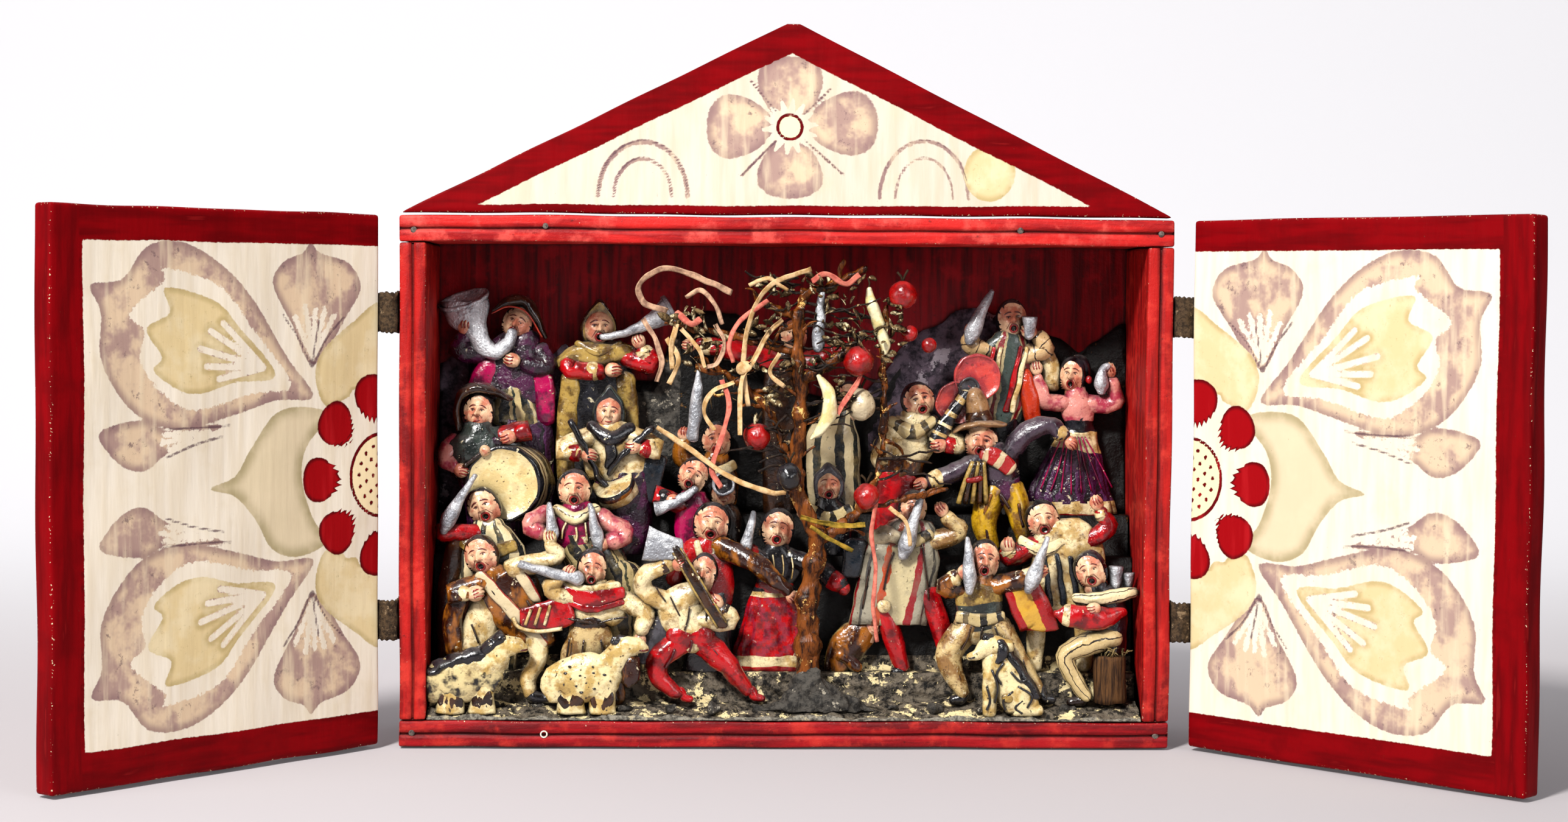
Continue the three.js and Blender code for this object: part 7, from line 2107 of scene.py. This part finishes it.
def camera_piece(lens):
    data = bpy.data.cameras.new("camera")
    data.lens, data.sensor_width = lens, 36
    yaw, down, rolled = (math.radians(v) for v in CAMERA_TURN)
    forward = Vector((math.sin(yaw) * math.cos(down), math.cos(yaw) * math.cos(down), -math.sin(down)))
    right = Vector((math.cos(yaw), -math.sin(yaw), 0))
    up = right.cross(forward)
    across = math.cos(rolled) * right + math.sin(rolled) * up
    above = -math.sin(rolled) * right + math.cos(rolled) * up
    camera = bpy.data.objects.new("camera", data)
    turn = Matrix((across, above, -forward)).transposed()
    camera.matrix_world = Matrix.Translation(Vector(CAMERA_PLACE) * MM) @ turn.to_4x4()
    bpy.context.scene.collection.objects.link(camera)
    bpy.context.scene.camera = camera


# ---- Add-on ----------------------------------------------------------------------------------------
class ShrineSettings(bpy.types.PropertyGroup):
    leaf_density: bpy.props.FloatProperty(name="Leaf density",
                                          description="Dry leaves per square metre of twig tuft",
                                          default=26000, min=0)
    leaf_size: bpy.props.FloatProperty(name="Leaf size",
                                       description="Size of one dry leaf against its drawing",
                                       default=1.1, subtype="FACTOR", min=0)
    leaf_seed: bpy.props.IntProperty(name="Leaf seed", description="Fixed seed of the leaves' places",
                                     default=7)
    lens: bpy.props.FloatProperty(name="Lens", description="Focal length of the camera", default=63.32,
                                  unit="CAMERA")
    light: bpy.props.FloatProperty(name="Light", description="Strength of the soft studio light", default=1.0,
                                   min=0)


def finishes():
    paste_paints()
    plain_finish("speckled plaster", "6e6456", "0c0a09", 3.4, 0.5, 2.0, third=("ecd8a4", 0.55))
    plain_finish("grey plaster", "4c4842", "1c1a18", 3.0, 0.6, 1.3, third=("9c9484", 0.6))
    plain_finish("dusty edge plaster", "8a8478", "46423c", 2.0, 0.9, 0.8, third=("a89c80", 0.58))
    plain_finish("hill plaster", "5c4e5a", "1c1820", 6, 0.7, 1.4, third=("948a92", 0.58))
    # Near black plaster: painted shade for the ledges and hills that lie in shadow deep in the case.
    plain_finish("dark hollow plaster", "0a0705", "030202", 4, 0.5, 1.2, third=("5c401c", 0.64))
    plain_finish("twig bark", "7c4216", "200d05", 4, 0.22, 1.2, (1, 1, 4), third=("e0b468", 0.6))
    plain_finish("dark twig", "2a1a10", "0e0806", 2, 0.5, 0.8, third=("b09468", 0.6))
    plain_finish("dry leaf", "7e6642", "2e1e10", 1.8, 0.8, 0.4, third=("dccca2", 0.55))
    plain_finish("chipped paint", "ece4d6", "d2c8b6", 1, 0.9, 0.1)
    plain_finish("thread", "3a2a18", "1e150c", 1.0, 0.9, 0.2)
    plain_finish("cream paper", "dcb98a", "b48c58", 4, 0.85, 0.3)
    plain_finish("pale paper", "d0a888", "94705c", 4, 0.85, 0.3)
    plain_finish("pink paper", "d87c68", "b05448", 4, 0.85, 0.3)
    plain_finish("yellow paper", "a8842c", "6c5a18", 3, 0.85, 0.3)
    plain_finish("split cane", "5e3e20", "26150a", 1.0, 0.7, 0.8, (1, 1, 14))
    plain_finish("straw", "a08c5e", "6e5a34", 1.0, 0.9, 0.2)
    plain_finish("old leather", "4f3d2a", "2a1f15", 1.6, 0.85, 0.8, third=("8a7358", 0.6))
    plain_finish("nail head", "6e625a", "3a3230", 1.0, 0.5, 0.3)
    sweep = plain_finish("studio sweep", "d6d4d6", "d2d0d2", 300, 0.9, 0.0)
    shader = next(n for n in sweep.node_tree.nodes if n.type == "BSDF_PRINCIPLED")
    tree = sweep.node_tree
    # Painted light: the sweep glows of its own, and its colour and glow rise from the front to the back,
    # brightening the backdrop.
    depth = add(tree, "ShaderNodeSeparateXYZ",
                {0: add(tree, "ShaderNodeTexCoord").outputs["Object"]}).outputs[1]
    far = sharpened(tree, depth, -0.1, 1.0)
    tree.links.new(mixed(tree, far, colour("a09a9c"), colour("bcbabc")), shader.inputs["Base Color"])
    shader.inputs["Emission Color"].default_value = colour("f6f6fa")
    tree.links.new(sharpened(tree, depth, -0.1, 1.0, 0.06, 0.42), shader.inputs["Emission Strength"])


class SHRINE_OT_finishes(bpy.types.Operator):
    """Makes the pastes, papers, barks and other finishes"""
    bl_idname = "shrine.finishes"
    bl_label = "Make finishes"

    def execute(self, context):
        finishes()
        return {"FINISHED"}


class SHRINE_OT_case(bpy.types.Operator):
    """Builds the case boards and the painted gable"""
    bl_idname = "shrine.case"
    bl_label = "Build case and gable"

    def execute(self, context):
        case_pieces()
        gable_piece()
        return {"FINISHED"}


class SHRINE_OT_doors(bpy.types.Operator):
    """Builds the two painted doors and their leather straps"""
    bl_idname = "shrine.doors"
    bl_label = "Build doors"

    def execute(self, context):
        for side in (-1, 1):
            door_piece(side)
        return {"FINISHED"}


class SHRINE_OT_ground(bpy.types.Operator):
    """Builds the plaster ground, the hill, the stool and the animals"""
    bl_idname = "shrine.ground"
    bl_label = "Build ground and animals"

    def execute(self, context):
        ground_piece()
        hill_piece()
        stool_piece()
        sheep("sheep_left", -138, "dark brown paste")
        sheep("sheep_right", -88, "ochre paste")
        dog_piece()
        return {"FINISHED"}


class SHRINE_OT_tree(bpy.types.Operator):
    """Builds the tree with its leaves, streamers and hanging ornaments"""
    bl_idname = "shrine.tree"
    bl_label = "Build tree"

    def execute(self, context):
        settings = context.scene.shrine
        tree_piece()
        leaf_tufts(settings.leaf_seed, settings.leaf_density, settings.leaf_size)
        hanging_pieces()
        streamer_pieces()
        return {"FINISHED"}


class SHRINE_OT_figures(bpy.types.Operator):
    """Builds one row of paste figures"""
    bl_idname = "shrine.figures"
    bl_label = "Build a row of figures"
    row: bpy.props.EnumProperty(name="Row", description="Which row to build",
                                items=[(r, r.title(), "The " + r + " row") for r in FIGURE_ROWS])

    def execute(self, context):
        for make in FIGURE_ROWS[self.row]:
            make()
        return {"FINISHED"}


class SHRINE_OT_stage(bpy.types.Operator):
    """Sets the pale sweep, the soft lights and the camera"""
    bl_idname = "shrine.stage"
    bl_label = "Set stage"

    def execute(self, context):
        stage_pieces(context.scene.shrine.light)
        camera_piece(context.scene.shrine.lens)
        return {"FINISHED"}


class SHRINE_PT_panel(bpy.types.Panel):
    bl_label = "Folding shrine box"
    bl_idname = "SHRINE_PT_panel"
    bl_space_type = "VIEW_3D"
    bl_region_type = "UI"
    bl_category = "Shrine"

    def draw(self, context):
        for name in ShrineSettings.__annotations__:
            self.layout.prop(context.scene.shrine, name)
        for step in ("finishes", "case", "doors", "ground", "tree", "stage"):
            self.layout.operator("shrine." + step)
        for row in FIGURE_ROWS:
            self.layout.operator("shrine.figures", text="Build the " + row + " row").row = row


CLASSES = (ShrineSettings, SHRINE_OT_finishes, SHRINE_OT_case, SHRINE_OT_doors, SHRINE_OT_ground,
           SHRINE_OT_tree,
           SHRINE_OT_figures, SHRINE_OT_stage, SHRINE_PT_panel)


def register():
    for c in CLASSES:
        bpy.utils.register_class(c)
    bpy.types.Scene.shrine = bpy.props.PointerProperty(type=ShrineSettings)


def unregister():
    del bpy.types.Scene.shrine
    for c in reversed(CLASSES):
        bpy.utils.unregister_class(c)


def main():
    register()
    for step in (bpy.ops.shrine.finishes, bpy.ops.shrine.stage, bpy.ops.shrine.case, bpy.ops.shrine.doors,
                 bpy.ops.shrine.ground, bpy.ops.shrine.tree):
        step()
    for row in FIGURE_ROWS:
        bpy.ops.shrine.figures(row=row)


if __name__ == "__main__":
    main()
